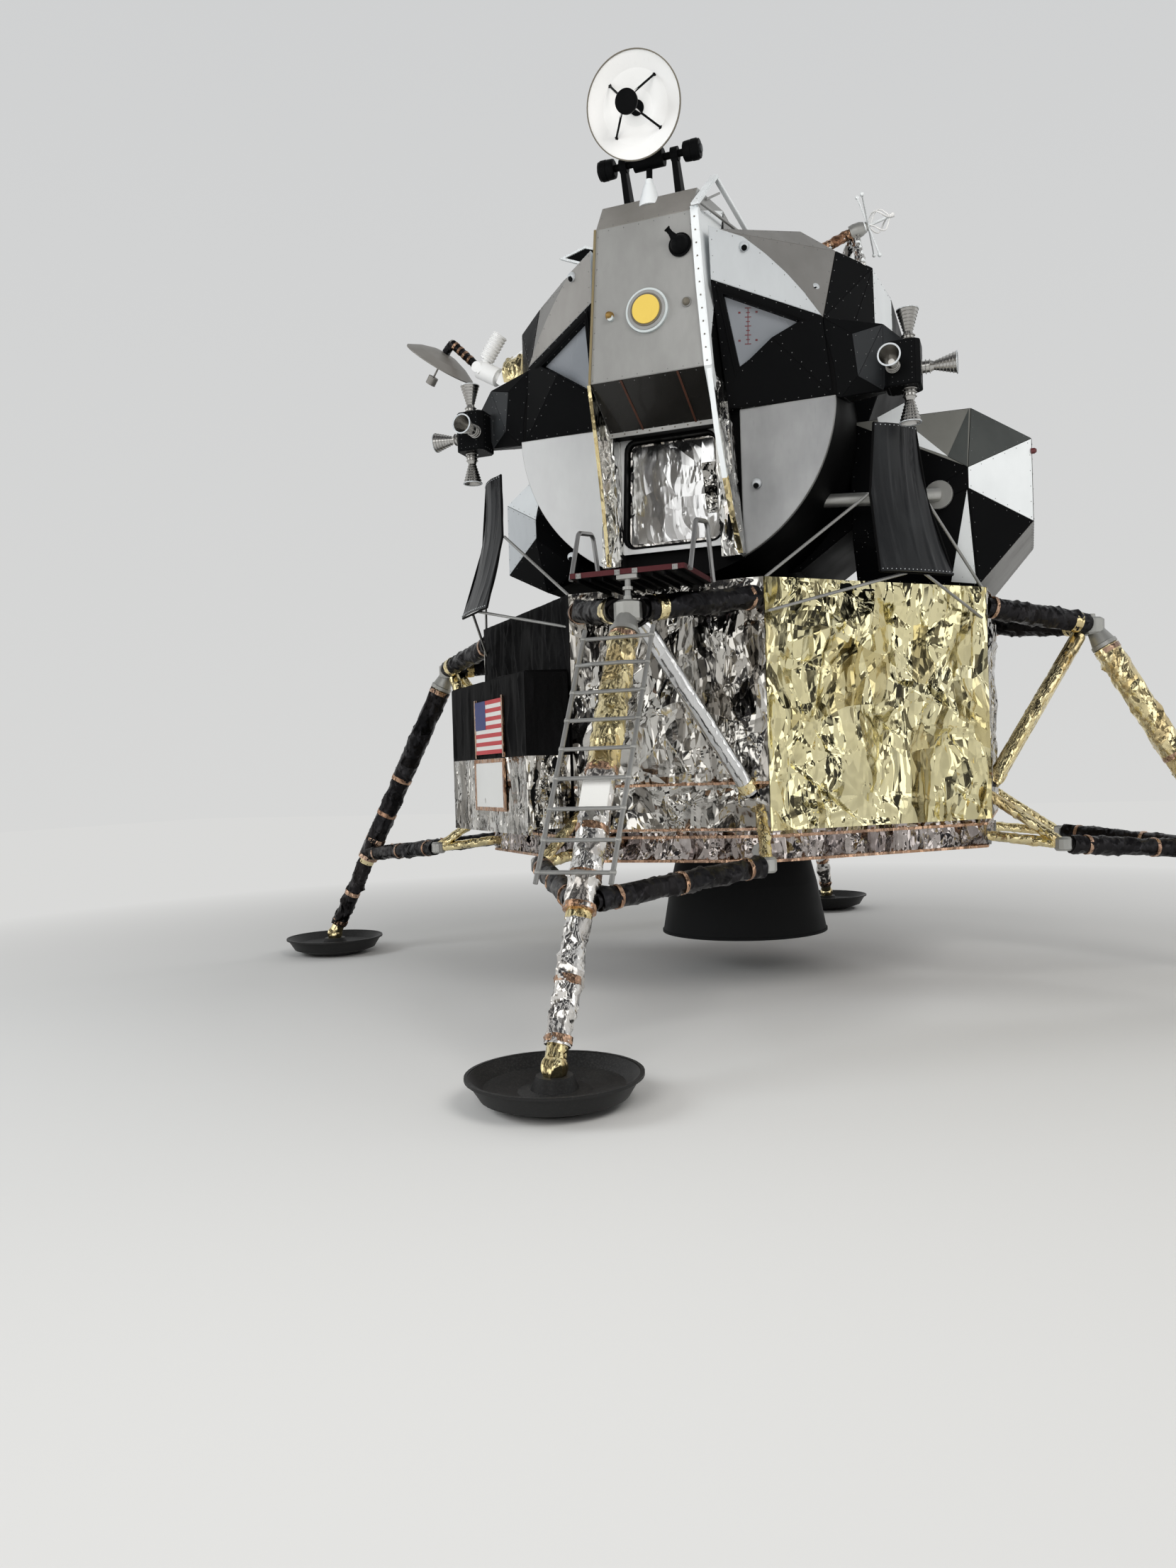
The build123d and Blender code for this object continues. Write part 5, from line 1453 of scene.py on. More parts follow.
SKINS = (
    Skin("nose_fairing", "bare_panel", (
        Cover(CHIN, (0.0, -2.14, 4.36), 0.1), Cover(SHEET, (0.0, -2.30, 5.03), 0.1),
        # The brownish sheet on the nose's top bevel is a painted reflection of wood-coloured light.
        Cover(WARM_SHEET, (0.0, -2.22, 5.67), 0.1), Cover(WHITE_STRIP, (0.40, -2.12, 5.28), 0.3),
        Cover(SOFT_BLACK, (0.43, -1.94, 4.83), 0.4), Cover(SOFT_BLACK, (0.0, -1.88, 4.22), 0.1),
        Cover(SHEET, (0.0, -1.96, 5.78), 0.2),
    )),
    Skin("shoulder_covers", "bare_panel", (
        Cover(SHOULDER_SHEET, (0.85, -1.84, 5.24), 0.05), Cover(SHOULDER_SHEET, (0.84, -1.67, 5.55), 0.05),
        Cover(SHEET, (0.8, -1.2, 5.6), 0.5),
    )),
    Skin("side_shoulder_covers", "black_panel", (
        Cover(WHITE_STRIP, (1.44, -0.94, 5.19), 0.1), Cover(BLACK),
    )),
    Skin("window_brows", "bare_panel", (
        # Both brows are one sheet; the left one gets a darker copy as painted shade.
        Cover(SHADED_BROW_SHEET, (0.76, -2.01, 5.20), 0.3, Side.LEFT), Cover(BRIGHT_SHEET, (0.76, -2.01, 5.20), 0.3),
    )),
    Skin("window_panels", "black_panel", (Cover(BLACK),), rivets=0.09),
    Skin("lower_face_panels", "bare_panel", (
        # Both lower face panels are one sheet: the left gets a paler copy as painted light, the right a darker copy as
        # painted shade.
        Cover(PALE_SHEET, (0.8, -1.8, 3.8), 0.6, Side.LEFT), Cover(SHADED_FACE_SHEET, (0.8, -1.8, 3.8), 0.6),
    ), rivets=0.0),
    Skin("thruster_arms", "black_panel", (
        Cover(ARM_DARK, (1.39, -1.73, 4.67), 0.05), Cover(ARM_DARK, (1.46, -1.69, 4.54), 0.05),
        Cover(ARM_DARK, (1.57, -1.62, 4.59), 0.05), Cover(BLACK),
    ), margin=0.001, rivets=0.11),
    Skin("thruster_housings", "black_panel", (Cover(BLACK),), rivets=0.035, rivet_size=0.0025),
    Skin("right_tank_cover", "black_panel", (
        Cover(TAN_SHEET, (1.53, -0.81, 4.31), 0.1), Cover(DARK_TAN_SHEET, (2.17, -0.76, 4.17), 0.08),
        Cover(WHITE_STRIP, (2.24, -0.79, 3.85), 0.1), Cover(SHOULDER_SHEET, (2.26, 0.0, 3.32), 0.2),
        Cover(DARK_TAN_SHEET, (2.25, 0.0, 4.30), 0.1), Cover(BLACK),
    )),
    Skin("left_tank_cover", "black_panel", (
        Cover(WHITE_STRIP, (1.61, -0.76, 4.17), 0.1), Cover(BRIGHT_SHEET, (1.68, -0.79, 3.85), 0.1), Cover(BLACK),
    )),
    Skin("midsection", "black_panel", (Cover(BLACK),)),
    Skin("aft_equipment_bay", "black_panel", (Cover(BLACK),)),
    Skin("cabin_roof", "black_panel", (Cover(SHEET),)),
)


@dataclass(frozen=True)
class LowerStage:
    """Foil and cloth over the sides, the edge bands and the base of the lower stage."""

    half: float = 2.105
    face_half: float = 0.72
    low: float = 1.32
    high: float = 3.066
    cell: float = 0.0115
    fill: float = 0.3

    def folds(self, seed: int, bold: float) -> tuple[Folds, ...]:
        """Returns the folds of one side; bold scales the big ones.

        Args:
            seed: Seed of the folds.
            bold: Scale of the big folds.

        Returns:
            The sets of folds.
        """
        return (
            Folds(seed, int(16 * bold), (0.5, 1.5), (0.10, 0.28), 0.040 * bold, follow=0.3, valleys=0.3),
            Folds(seed + 1, 70, (0.3, 0.9), (0.03, 0.09), 0.016 * bold, valleys=0.35),
            Folds(seed + 2, 120, (0.12, 0.4), (0.02, 0.045), 0.0045),
            Folds(seed + 3, int(5 * bold), (0.8, 1.6), (0.03, 0.05), 0.026 * bold, follow=0.93, valleys=0.0),
        )

    def side(self, quad: bool, low: float, high: float, back: float = -0.004) -> list[Corner]:
        """Returns the corners of the front side or of the side right of it.

        Args:
            quad: Whether the diagonal side is meant.
            low: Height of the lower edge.
            high: Height of the upper edge.
            back: How far the field lies behind the surface.

        Returns:
            The four corners.
        """
        a, b = self.half - back, self.face_half - back * (math.sqrt(2) - 1)
        left, right = ((b, -a), (a, -b)) if quad else ((-b, -a), (b, -a))
        return [(*left, low), (*right, low), (*right, high), (*left, high)]

    def build(self) -> None:
        """Makes every side."""
        for leg in Leg:
            name = leg.name.lower()
            field = self.side(False, self.low, self.high)
            face = sheet_patch(field, self.folds(11 + 7 * leg.value, 1.0), self.cell, 0.006, 0.049)
            piece = Piece(f"{name}_leg_face_foil").add(spun(face, leg.value), SILVER)
            for z in (self.low + 0.005, self.low + 0.325):
                strip = sheet_patch(self.side(False, z, z + 0.018), small_folds(31 + leg.value, 0.6, 40), 0.008, 0.012)
                piece.add(spun(strip, leg.value), COPPER)
            piece.build("silver_foil", replaces=("leg_face_blankets",))
        self.quads()
        self.band()

    def quads(self) -> None:
        """Makes the four sides between the legs."""
        gold = self.folds(91, 1.25)
        for name, turns in (("front_right", 0), ("rear_left", 2)):
            patch = sheet_patch(self.side(True, self.low, self.high), gold, self.cell, 0.006, 0.049)
            piece = Piece(f"{name}_gold_foil").add(spun(patch, turns), GOLD)
            piece.build("gold_foil", replaces=("quad_face_blankets",))
        pleats = (
            Folds(121, 70, (0.3, 1.0), (0.03, 0.09), 0.022, follow=0.8, valleys=0.4),
            Folds(122, 120, (0.1, 0.4), (0.015, 0.05), 0.008),
        )
        for name, turns in (("front_left", 3), ("rear_right", 1)):
            piece = Piece(f"{name}_black_blanket")
            for low, high, proud in ((self.low, 2.42, 0.0), (2.40, self.high, 0.008)):
                patch = sheet_patch(self.side(True, low, high), pleats, 0.015, proud, 0.045, sag=0.015)
                piece.add(spun(patch, turns), CLOTH)
            piece.build("black_cloth", replaces=("quad_face_blankets",))

    def band(self) -> None:
        """Makes the crumpled band round the base, and its copper edges."""
        piece = Piece("base_band")
        for turns in range(4):
            for quad in (False, True):
                seed = 200 + turns * 2 + quad
                folds = small_folds(seed, 1.6, 70)
                patch = sheet_patch(self.side(quad, 1.105, 1.285, 0.045), folds, 0.014, 0.012)
                piece.add(spun(patch, turns), ROSE_SILVER)
                for z in (1.10, 1.27):
                    edge = sheet_patch(self.side(quad, z, z + 0.02, 0.045), small_folds(seed, 0.4, 30), 0.01, 0.02)
                    piece.add(spun(edge, turns), COPPER)
        piece.build("silver_foil")


@dataclass(frozen=True)
class LegLooks:
    """Colours of the wraps on one leg."""

    upper: Finish
    lower: Finish
    diagonal: Finish
    arm: Finish = BLACK_WRAP
    band: Finish = COPPER


@dataclass(frozen=True)
class LegDress:
    """Wraps, bands, castings and brackets of one leg, built at the front and turned."""

    leg: Leg
    looks: LegLooks
    apex: tuple[float, float] = (2.87, 2.8)
    foot: tuple[float, float] = (4.285, 0.2)
    truss: Corner = (0.80, -2.60, 1.13)
    tape_half: float = 0.018

    def on_strut(self, z: float, out: float = 0.0) -> np.ndarray:
        """Returns a point of the strut's centre line at a height, moved outwards."""
        share = (self.apex[1] - z) / (self.apex[1] - self.foot[1])
        return np.array([0.0, -(self.apex[0] + share * (self.foot[0] - self.apex[0])) - out, z])

    def build(self) -> None:
        """Makes the pieces of the leg."""
        name = self.leg.name.lower()
        seed = 300 + 20 * self.leg.value
        wrap = Piece(f"{name}_leg_wraps")
        self.strut(wrap, seed)
        for side in (-1, 1):
            self.arms(wrap, side, seed + 6)
        metal = Piece(f"{name}_leg_castings")
        self.castings(metal)
        for piece, slot in ((wrap, "gold_foil"), (metal, "steel")):
            piece.vertices = [spun((v, []), self.leg.value)[0] for v in piece.vertices]
            piece.build(slot)

    def strut(self, wrap: Piece, seed: int) -> None:
        """Wraps the cylinder and the piston, with bands between the tiers.

        Args:
            wrap: Piece that gets the wraps.
            seed: Seed of the folds.
        """
        upper, lower = self.looks.upper, self.looks.lower
        tiers = ((2.62, 1.76, 0.097, upper), (1.76, 0.98, 0.093, lower), (0.96, 0.30, 0.072, lower))
        for top, low, radius, finish in tiers:
            path = self.on_strut(top), self.on_strut(low)
            wrap.add(sleeve(*path, radius, small_folds(seed, 1.3, 110), 0.012, 32), finish)
        tapes = ((2.60, 0.10), (1.76, 0.101), (1.42, 0.098), (1.16, 0.098), (0.99, 0.097), (0.62, 0.077), (0.33, 0.077))
        for z, radius in tapes:
            ends = self.on_strut(z + self.tape_half), self.on_strut(z - self.tape_half)
            wrap.add(sleeve(*ends, radius, small_folds(seed + 3, 0.4, 30), 0.006, 28), self.looks.band)

    def arms(self, wrap: Piece, side: int, seed: int) -> None:
        """Wraps the arms, diagonals, trusses and lower struts of one side.

        Args:
            wrap: Piece that gets the wraps.
            side: Sign of the side.
            seed: Seed of the folds.
        """
        look = self.looks
        truss, knee = np.array(self.truss), np.array((0.03, *self.on_strut(1.02)[1:]))
        strut = truss + (knee - truss) * 0.04, knee - (knee - truss) * 0.06
        runs = (
            ((0.10, -2.82, 2.808), (0.66, -2.10, 2.93), 0.078, look.arm, 1.6, ((0.12, GOLD_WRAP), (0.93, look.band))),
            ((0.065, -2.77, 2.72), (0.59, -2.11, 1.585), 0.056, look.diagonal, 0.6, ((0.96, GOLD_WRAP),)),
            ((0.64, -2.06, 1.52), self.truss, 0.038, GOLD_WRAP, 0.8, ()),
            ((0.66, -2.06, 1.19), self.truss, 0.038, GOLD_WRAP, 0.8, ()),
            (*strut, 0.066, BLACK_WRAP, 1.4, ((0.1, look.band), (0.52, look.band), (0.9, look.band))),
        )
        for index, (start, end, radius, finish, size, bands) in enumerate(runs):
            start, end = np.array(start) * (side, 1, 1), np.array(end) * (side, 1, 1)
            wrap.add(sleeve(start, end, radius, small_folds(seed + index, size, 70), 0.013, 24), finish)
            for share, band in bands:
                middle = start + (end - start) * share
                half = unit(end - start) * (0.035 if band is GOLD_WRAP else 0.014)
                tight = small_folds(seed + 9, 0.4, 24)
                wrap.add(sleeve(middle - half, middle + half, radius + 0.006, tight, 0.006, 24), band)

    def castings(self, metal: Piece) -> None:
        """Makes the cone and block at the head, and the brackets at the truss ends.

        Args:
            metal: Piece that gets the castings.
        """
        along = unit(self.on_strut(2.5) - self.on_strut(2.8))
        cone = [(0, 0), (0.05, 0), (0.055, 0.02), (0.09, 0.16), (0.1, 0.165), (0.1, 0.195), (0.088, 0.2), (0, 0.2)]
        metal.add(turned(cone, self.on_strut(2.80), along, 32), FITTING)
        block = [(0, -0.075), (0.08, -0.075), (0.092, -0.06), (0.092, 0.045), (0.07, 0.06), (0.03, 0.062),
                 (0.026, 0.09), (0, 0.09)]
        metal.add(turned(block, (0, -2.87, 2.80), UP, 10), FITTING)
        drum = [(0, -0.05), (0.05, -0.05), (0.062, -0.035), (0.062, 0.035), (0.05, 0.05), (0, 0.05)]
        for side in (-1, 1):
            metal.add(turned(drum, (side * self.truss[0], *self.truss[1:]), UP, 12), FITTING)
            for z in (1.50, 1.18):
                metal.add(disc((side * 0.64, -2.07, z), FRONT, 0.06, 0.03, 8), TUBE_GREY)
        centre = self.on_strut(0.2)
        metal.add(ring(0.462, 0.48, 0.016, (centre[0], centre[1], 0.158), UP, 48), PAD_BLACK)


@dataclass(frozen=True)
class PalletDress:
    """Cloth cover, crumpled lower part, striped patch and blank placard of the equipment pallet."""

    left: float = -0.84
    right: float = 0.97
    inner: float = 2.0275
    depth: float = 0.33
    low: float = 1.36
    seam: float = 1.895
    shoulder: float = 2.505
    top: float = 2.52
    stripes: int = 13
    marks_proud: float = 0.029
    tapes: tuple[tuple[float, ...], ...] = (
        (-0.185, -0.15, 1.49, 1.89), (0.50, 0.535, 1.49, 1.89), (-0.18, 0.53, 1.485, 1.515),
        (-0.18, 0.53, 1.862, 1.892), (-0.15, -0.12, 1.9, 2.37), (0.51, 0.54, 1.9, 2.37),
    )
    body: str = "equipment_pallet"
    cover_cut: Cloth = Cloth((2.47, 0.94), 2.1, "draped", "equipment_pallet")

    def at(self, along: float, out: float, z: float) -> np.ndarray:
        """Returns a point from its distance along the side, out from the middle, and height."""
        return np.array([(along - out) * ROOT_HALF, (-along - out) * ROOT_HALF, z])

    def field(self, left: float, right: float, out: Sequence[float], z: Sequence[float]) -> list[np.ndarray]:
        """Returns the corners of a field on the outer side."""
        places = (left, out[0], z[0]), (right, out[0], z[0]), (right, out[1], z[1]), (left, out[1], z[1])
        return [self.at(*place) for place in places]

    def build(self) -> None:
        """Makes the cover, the patch and the placard."""
        outer = self.inner + self.depth
        pleats = (
            Folds(401, 46, (0.3, 0.9), (0.03, 0.09), 0.014, follow=0.96, valleys=0.5),
            Folds(402, 50, (0.1, 0.3), (0.015, 0.04), 0.004),
        )
        creases = (
            Folds(411, 60, (0.2, 0.6), (0.02, 0.06), 0.016, follow=0.8),
            Folds(412, 180, (0.05, 0.25), (0.008, 0.03), 0.007),
        )
        cover = Piece("pallet_cover")
        foil = Piece("pallet_foil")
        ends = (self.left, self.right)
        front = self.field(*ends, (outer, outer), (self.seam, self.shoulder))
        slant = self.field(*ends, (outer, self.inner), (self.shoulder, self.top))
        for field in (front, slant):
            cover.add(sheet_patch(field, pleats, 0.014, 0.008, 0.02, closed=False), CLOTH)
        lower = self.field(*ends, (outer, outer), (self.low - 0.04, self.seam))
        foil.add(sheet_patch(lower, creases, 0.0125, 0.01, 0.02), SILVER)
        parts = ((self.low, self.seam, SILVER, creases, foil), (self.seam, self.shoulder, CLOTH, pleats, cover))
        for end in ends:
            near, far = (self.inner, outer) if end < 0 else (outer, self.inner)
            for low, high, finish, folds, piece in parts:
                corners = [self.at(end, *place) for place in ((near, low), (far, low), (far, high), (near, high))]
                piece.add(sheet_patch(corners, folds, 0.014, 0.006, 0.015, closed=piece is foil), finish)
        self.cover_cut.declare(cover.build("black_cloth", self.body))
        foil.build("silver_foil", self.body)
        self.marks(outer)

    def marks(self, outer: float) -> None:
        """Makes the striped patch and the blank placard with their taped edges.

        Args:
            outer: Distance of the cover's outer side.
        """
        marks = Piece("pallet_marks")
        left, right, low, high = -0.13, 0.52, 1.93, 2.35
        proud = outer + self.marks_proud
        step = (high - low) / self.stripes
        marks.add(plate(self.field(left, right, (proud, proud), (low, high)), 0.012), STRIPE_WHITE)
        for i in range(0, self.stripes, 2):
            z = low + i * step
            stripe = self.field(left + 0.002, right - 0.002, (proud + 0.0015,) * 2, (z, z + step))
            marks.add(plate(stripe, 0.003, 0.0, 0.0005), STRIPE_RED)
        blue = self.field(left + 0.002, left + 0.26, (proud + 0.003,) * 2, (low + 6 * step, high))
        marks.add(plate(blue, 0.003, 0.0, 0.0005), STRIPE_BLUE)
        marks.add(plate(self.field(-0.165, 0.515, (proud, proud), (1.51, 1.87)), 0.012), PLACARD)
        for a0, a1, z0, z1 in self.tapes:
            tape = self.field(a0, a1, (proud + 0.001,) * 2, (z0, z1))
            marks.add(sheet_patch(tape, small_folds(431, 0.3, 24), 0.009, 0.002, 0.012, 0.01), COPPER)
        marks.build("silver_foil", self.body)


@dataclass(frozen=True)
class LadderDress:
    """Collars on the ladder, the blank plaque, and the edges and brackets of the porch."""

    half: float = 0.228
    high: tuple[float, float] = (-3.095, 2.60)
    low: float = 1.20
    edge_high: float = 3.049

    def build(self) -> None:
        """Makes the collars, the plaque and the porch parts."""
        y_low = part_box("ladder_rungs")[0].y + 0.0125
        rows = [[(side * self.half, *self.high), (side * self.half, y_low, self.low)] for side in (-1, 1)]
        Patterns.hoops.grow("ladder_collars", rows, FITTING, "steel", First_Radius=0.0165, Last_Radius=0.0165,
                            Thickness=0.22, Flatness=4.0, Count=9, Sides=14)
        plaque = Piece("plaque")
        low, high = (-3.662, 1.555), (-3.572, 1.72)
        plaque.add(plate([(-0.07, *low), (0.11, *low), (0.11, *high), (-0.07, *high)], 0.006), PLACARD)
        plaque.build("bare_panel")
        self.porch()

    def porch(self) -> None:
        """Makes the painted edge, the brackets, the ribs and the post of the porch."""
        piece = Piece("porch_edges")
        ends = ((-0.385, -2.24), (-0.385, -2.885), (0.385, -2.885), (0.385, -2.24))
        corners = [(x, y, self.edge_high) for x, y in ends]
        front = [(-0.388, -2.88, self.edge_high), (0.388, -2.88, self.edge_high)]
        for edge in (front, corners[:2], corners[2:]):
            piece.add(bar(edge, UP, 0.034, 0.008), MAROON)
        piece.build("black_panel")
        metal = Piece("porch_brackets")
        for x in (-0.33, -0.06, 0.06, 0.33):
            metal.add(box((x - 0.018, -2.896, 3.028), (x + 0.018, -2.888, 3.062)), TUBE_GREY)
            for dx in (-0.01, 0.01):
                metal.add(dome((x + dx, -2.896, 3.045), FRONT, 0.005, 10), STEEL)
        for x in np.linspace(-0.34, 0.34, 9):
            metal.add(box((x - 0.006, -2.87, 3.004), (x + 0.006, -2.25, 3.03)), SOFT_BLACK)
        metal.add(tube([(0, -2.855, 3.03), (0, -2.865, 2.88)], 0.02, 16), TUBE_GREY)
        metal.add(ring(0.018, 0.034, 0.02, (0, -2.862, 2.93), UP, 20), FITTING)
        metal.add(box((-0.07, -2.885, 3.0), (0.07, -2.83, 3.03)), FITTING)
        metal.build("steel")


@dataclass(frozen=True)
class FaceDress:
    """Strips, fittings, window frames, foil and parapet of the cabin's front."""

    nose_y: float = -2.306
    outline: tuple[Corner, ...] = ((0.505, -2.15, 5.02), (0.985, -1.87, 4.85), (0.56, -1.96, 4.56))
    panel: Corner = (0.44, -2.2, 5.11)
    slope: Corner = (0.377, -0.846, -0.375)
    tank_fields: tuple[tuple[tuple[Corner, ...], Finish], ...] = (
        (((1.372, -0.794, 4.363), (1.633, -0.785, 4.341), (1.601, -0.662, 4.57), (1.356, -0.754, 4.439)), WHITE_STRIP),
        (((1.602, -0.793, 4.33), (1.65, -0.887, 4.151), (1.878, -0.937, 4.026)), WHITE_STRIP),
        (((2.026, -0.711, 4.42), (1.878, -0.937, 4.026), (2.014, -0.983, 3.922)), DARK_TAN_SHEET),
        (((2.009, -0.976, 3.756), (1.863, -0.686, 3.135), (2.045, -0.685, 3.105)), WHITE_STRIP),
    )

    def build(self) -> None:
        """Makes the front's own pieces."""
        self.fittings()
        self.strips()
        self.windows()
        self.foil()
        self.parapet()
        self.small_parts()

    def fittings(self) -> None:
        """Makes the lamp, the scope, the knob and the small dome."""
        piece = Piece("nose_fittings")
        out = FRONT
        lamp = (0.013, self.nose_y - 0.014, 4.931)
        rings = ((0.152, 0.008, RING_GREY), (0.135, 0.016, SHEET), (0.113, 0.022, DARK_RING), (0.099, 0.03, YELLOW))
        for radius, height, finish in rings:
            piece.add(disc(lamp, out, radius, height, 48), finish)
        piece.add(disc((-0.263, self.nose_y, 4.944), out, 0.03, 0.01), BRASS)
        piece.add(dome((-0.263, self.nose_y - 0.025, 4.944), out, 0.024), BRASS)
        piece.add(disc((0.293, self.nose_y, 4.943), out, 0.034, 0.008), TUBE_GREY)
        piece.add(dome((0.293, self.nose_y - 0.006, 4.943), out, 0.028), DARK_RING)
        scope = np.array((0.262, self.nose_y - 0.005, 5.335))
        piece.add(dome(scope, out, 0.068, 28), BLACK)
        aim = unit((-0.5, -0.55, 0.67))
        barrel = [(0, 0), (0.04, 0.04), (0.024, 0.075), (0.017, 0.10), (0.017, 0.125), (0.022, 0.132), (0.022, 0.14),
                  (0, 0.14)]
        piece.add(turned(barrel, scope, aim, 24), BLACK)
        piece.add(ring(0.062, 0.08, 0.008, scope, out, 32), BLACK)
        piece.build("steel")

    def strips(self) -> None:
        """Makes the angle strips down the edges of the nose and the strips of the chin."""
        piece = Piece("face_strips")
        right = [(0.366, -2.31, 5.575), (0.392, -2.312, 5.03), (0.432, -2.31, 4.49), (0.418, -2.05, 4.22)]
        flank = [(0.385, -2.29, 5.575), (0.415, -2.29, 5.03), (0.452, -2.29, 4.49), (0.435, -2.03, 4.22)]
        left = [(-0.352, -2.308, 5.56), (-0.39, -2.308, 5.03), (-0.43, -2.308, 4.49)]
        low_left = [self.edge(z, Side.LEFT) for z in (4.49, 4.1, 3.7, 3.28)]
        high_right = [self.edge(z, Side.RIGHT) for z in (4.49, 4.1, 3.78)]
        low_right = [self.edge(z, Side.RIGHT) for z in (3.80, 3.54, 3.28)]
        chin = [[(low, -2.302, 4.488), (high, -1.996, 4.218)] for low, high in ((-0.2, -0.143), (0.212, 0.252))]
        sill = [(-0.40, -1.993, 4.207), (0.40, -1.993, 4.207)]
        for path, side, width, depth, finish in (
            (right, RIGHT, 0.05, 0.012, WHITE_STRIP), (flank, (0, 1, 0), 0.06, 0.01, WHITE_STRIP),
            (left, RIGHT, 0.016, 0.008, PALE_GOLD), (low_left, RIGHT, 0.026, 0.01, GOLD_WRAP),
            (high_right, RIGHT, 0.036, 0.012, WHITE_STRIP), (low_right, RIGHT, 0.036, 0.01, GOLD_WRAP),
            (chin[0], RIGHT, 0.014, 0.005, BROWN_STRIP), (chin[1], RIGHT, 0.014, 0.005, BROWN_STRIP),
            (sill, UP, 0.034, 0.01, SHEET),
        ):
            piece.add(bar(path, side, width, depth), finish)
        piece.build("bare_panel")
        rows = [[(-0.38, -2.004, 4.207), (0.38, -2.004, 4.207)],
                [(0.37, -2.324, 5.5), (0.395, -2.326, 5.03), (0.43, -2.324, 4.52)]]
        Patterns.beads.grow("strip_screws", rows, DARK_RING, "steel", Spacing=0.085, Radius=0.006)

    def edge(self, z: float, side: Side) -> np.ndarray:
        """Returns the point of the outer edge of a beam's web at a height.

        Args:
            z: Height of the point.
            side: Side of the beam.

        Returns:
            The point.
        """
        share = (4.49 - z) / (4.49 - 3.28)
        spread = 0.09 if side is Side.RIGHT else 0.035
        return np.array([side.value * (0.436 + spread * share ** 2), -2.30 + 0.385 * share, z])

    def webs(self, piece: Piece) -> None:
        """Adds the crumpled webs between the chin, the outer edges and the cabin's front.

        Args:
            piece: Piece that gets the webs.
        """
        for side in Side:
            out = side.value
            top, low = self.edge(4.49, side), self.edge(3.28, side)
            rear_top, rear_low = (out * 0.445, -1.84, 4.49), (out * 0.54, -1.84, 3.28)
            folds = (Folds(540 + out, 30, (0.15, 0.6), (0.02, 0.08), 0.018, follow=0.5),
                     Folds(550 + out, 60, (0.05, 0.25), (0.012, 0.03), 0.006))
            outer = [low, rear_low, rear_top, top] if out > 0 else [rear_low, low, top, rear_top]
            inner = [outer[i] for i in (1, 0, 3, 2)]
            piece.add(sheet_patch(outer, folds, 0.011, 0.0, 0.004), WEB_SILVER)
            piece.add(sheet_patch(inner, folds, 0.011, 0.004, 0.004), WEB_SILVER)

    def windows(self) -> None:
        """Makes the frames, the red scales and the corner marks of the windows."""
        normal = unit(self.slope)
        outline = as_points(self.outline)
        inner = outline - np.outer((outline - self.panel) @ normal, normal)
        inner = inner[::-1] if newell(inner) @ normal < 0 else inner
        outer = inset(inner, -0.03)
        frame_piece = Piece("window_frames")
        frame_piece.both(rim(outer, inner, 0.05, 0.03), BLACK)
        frame_piece.both(rim(inset(outer, 0.012), inset(outer, 0.018), 0.006, 0.033), SOFT_BLACK)
        frame_piece.build("black_panel")
        scale = Piece("window_scale")
        top, low = np.array((0.650, -2.013, 4.947)), np.array((0.627, -1.944, 4.7256))
        face = unit((0.3947, -0.8649, -0.31))
        lift = face * 0.002
        along = unit(np.cross(face, top - low))
        scale.add(bar([top + lift, low + lift], along * -1, 0.004, 0.0015), SCALE_RED)
        wide = unit(np.cross(along, face))
        for i in range(9):
            middle = top + (low - top) * i / 8 + lift
            reach = along * (0.022 if i % 2 == 0 else 0.013)
            scale.add(bar([middle - reach, middle + reach], wide, 0.0055, 0.0015), SCALE_RED)
        for share in (0.12, 0.9):
            for side in (-1, 1):
                mark = top + (low - top) * share + lift + along * side * 0.06
                scale.add(bar([mark - along * 0.008, mark + along * 0.008], wide, 0.012, 0.001), SCALE_RED)
        scale.build("window_sheet")

    def foil(self) -> None:
        """Makes the hatch foil, its seal, and the foil on the beams."""
        creases = (
            Folds(501, 10, (0.3, 0.7), (0.04, 0.10), 0.002, follow=0.96),
            Folds(502, 150, (0.03, 0.11), (0.005, 0.010), 0.0022, follow=0.9, valleys=0.1),
        )
        crumples = small_folds(505, 0.9, 60)
        front = [(-0.338, -1.757, 3.45), (0.338, -1.757, 3.45), (0.308, -1.757, 4.168), (-0.308, -1.757, 4.168)]
        hatch = Piece("hatch_foil").add(sheet_patch(front, creases, 0.0075, 0.006, 0.004, 0.045, 0.012), PALE_SILVER)
        patch = [(0.25, -1.762, 3.62), (0.335, -1.762, 3.62), (0.32, -1.762, 3.99), (0.22, -1.762, 3.99)]
        hatch.add(sheet_patch(patch, crumples, 0.008, 0.012, 0.008, 0.01), SILVER)
        hatch.build("silver_foil", "forward_hatch")
        seal = Piece("hatch_seal")
        outer, inner = self.rounded(0.028, 0.09), self.rounded(0.013, 0.07)
        seal.add(rim(outer, inner, 0.03, 0.008), SOFT_BLACK)
        wide, narrow = self.rounded(0.062, 0.02), self.rounded(0.028, 0.09)
        seal.add(rim(wide, narrow, 0.02, 0.003), PALE_SHEET)
        seal.build("black_panel")
        beams = Piece("beam_foil")
        self.webs(beams)
        face = as_points(((0.40, -1.90, 3.272), (0.52, -1.90, 3.272), (0.475, -1.96, 4.34), (0.40, -1.99, 4.34)))
        flank = as_points([(0.401, y, z) for y, z in ((-1.90, 3.272), (-1.77, 3.272), (-1.77, 4.2), (-1.99, 4.2))])
        for side in (-1, 1):
            order = [0, 1, 2, 3] if side > 0 else [1, 0, 3, 2]
            folds = (Folds(520 + side, 26, (0.15, 0.5), (0.02, 0.07), 0.016, follow=0.7),
                     Folds(530 + side, 50, (0.05, 0.2), (0.01, 0.025), 0.004))
            for field, cell, proud, skirt in ((face, 0.009, 0.012, 0.03), (flank, 0.012, 0.006, 0.02)):
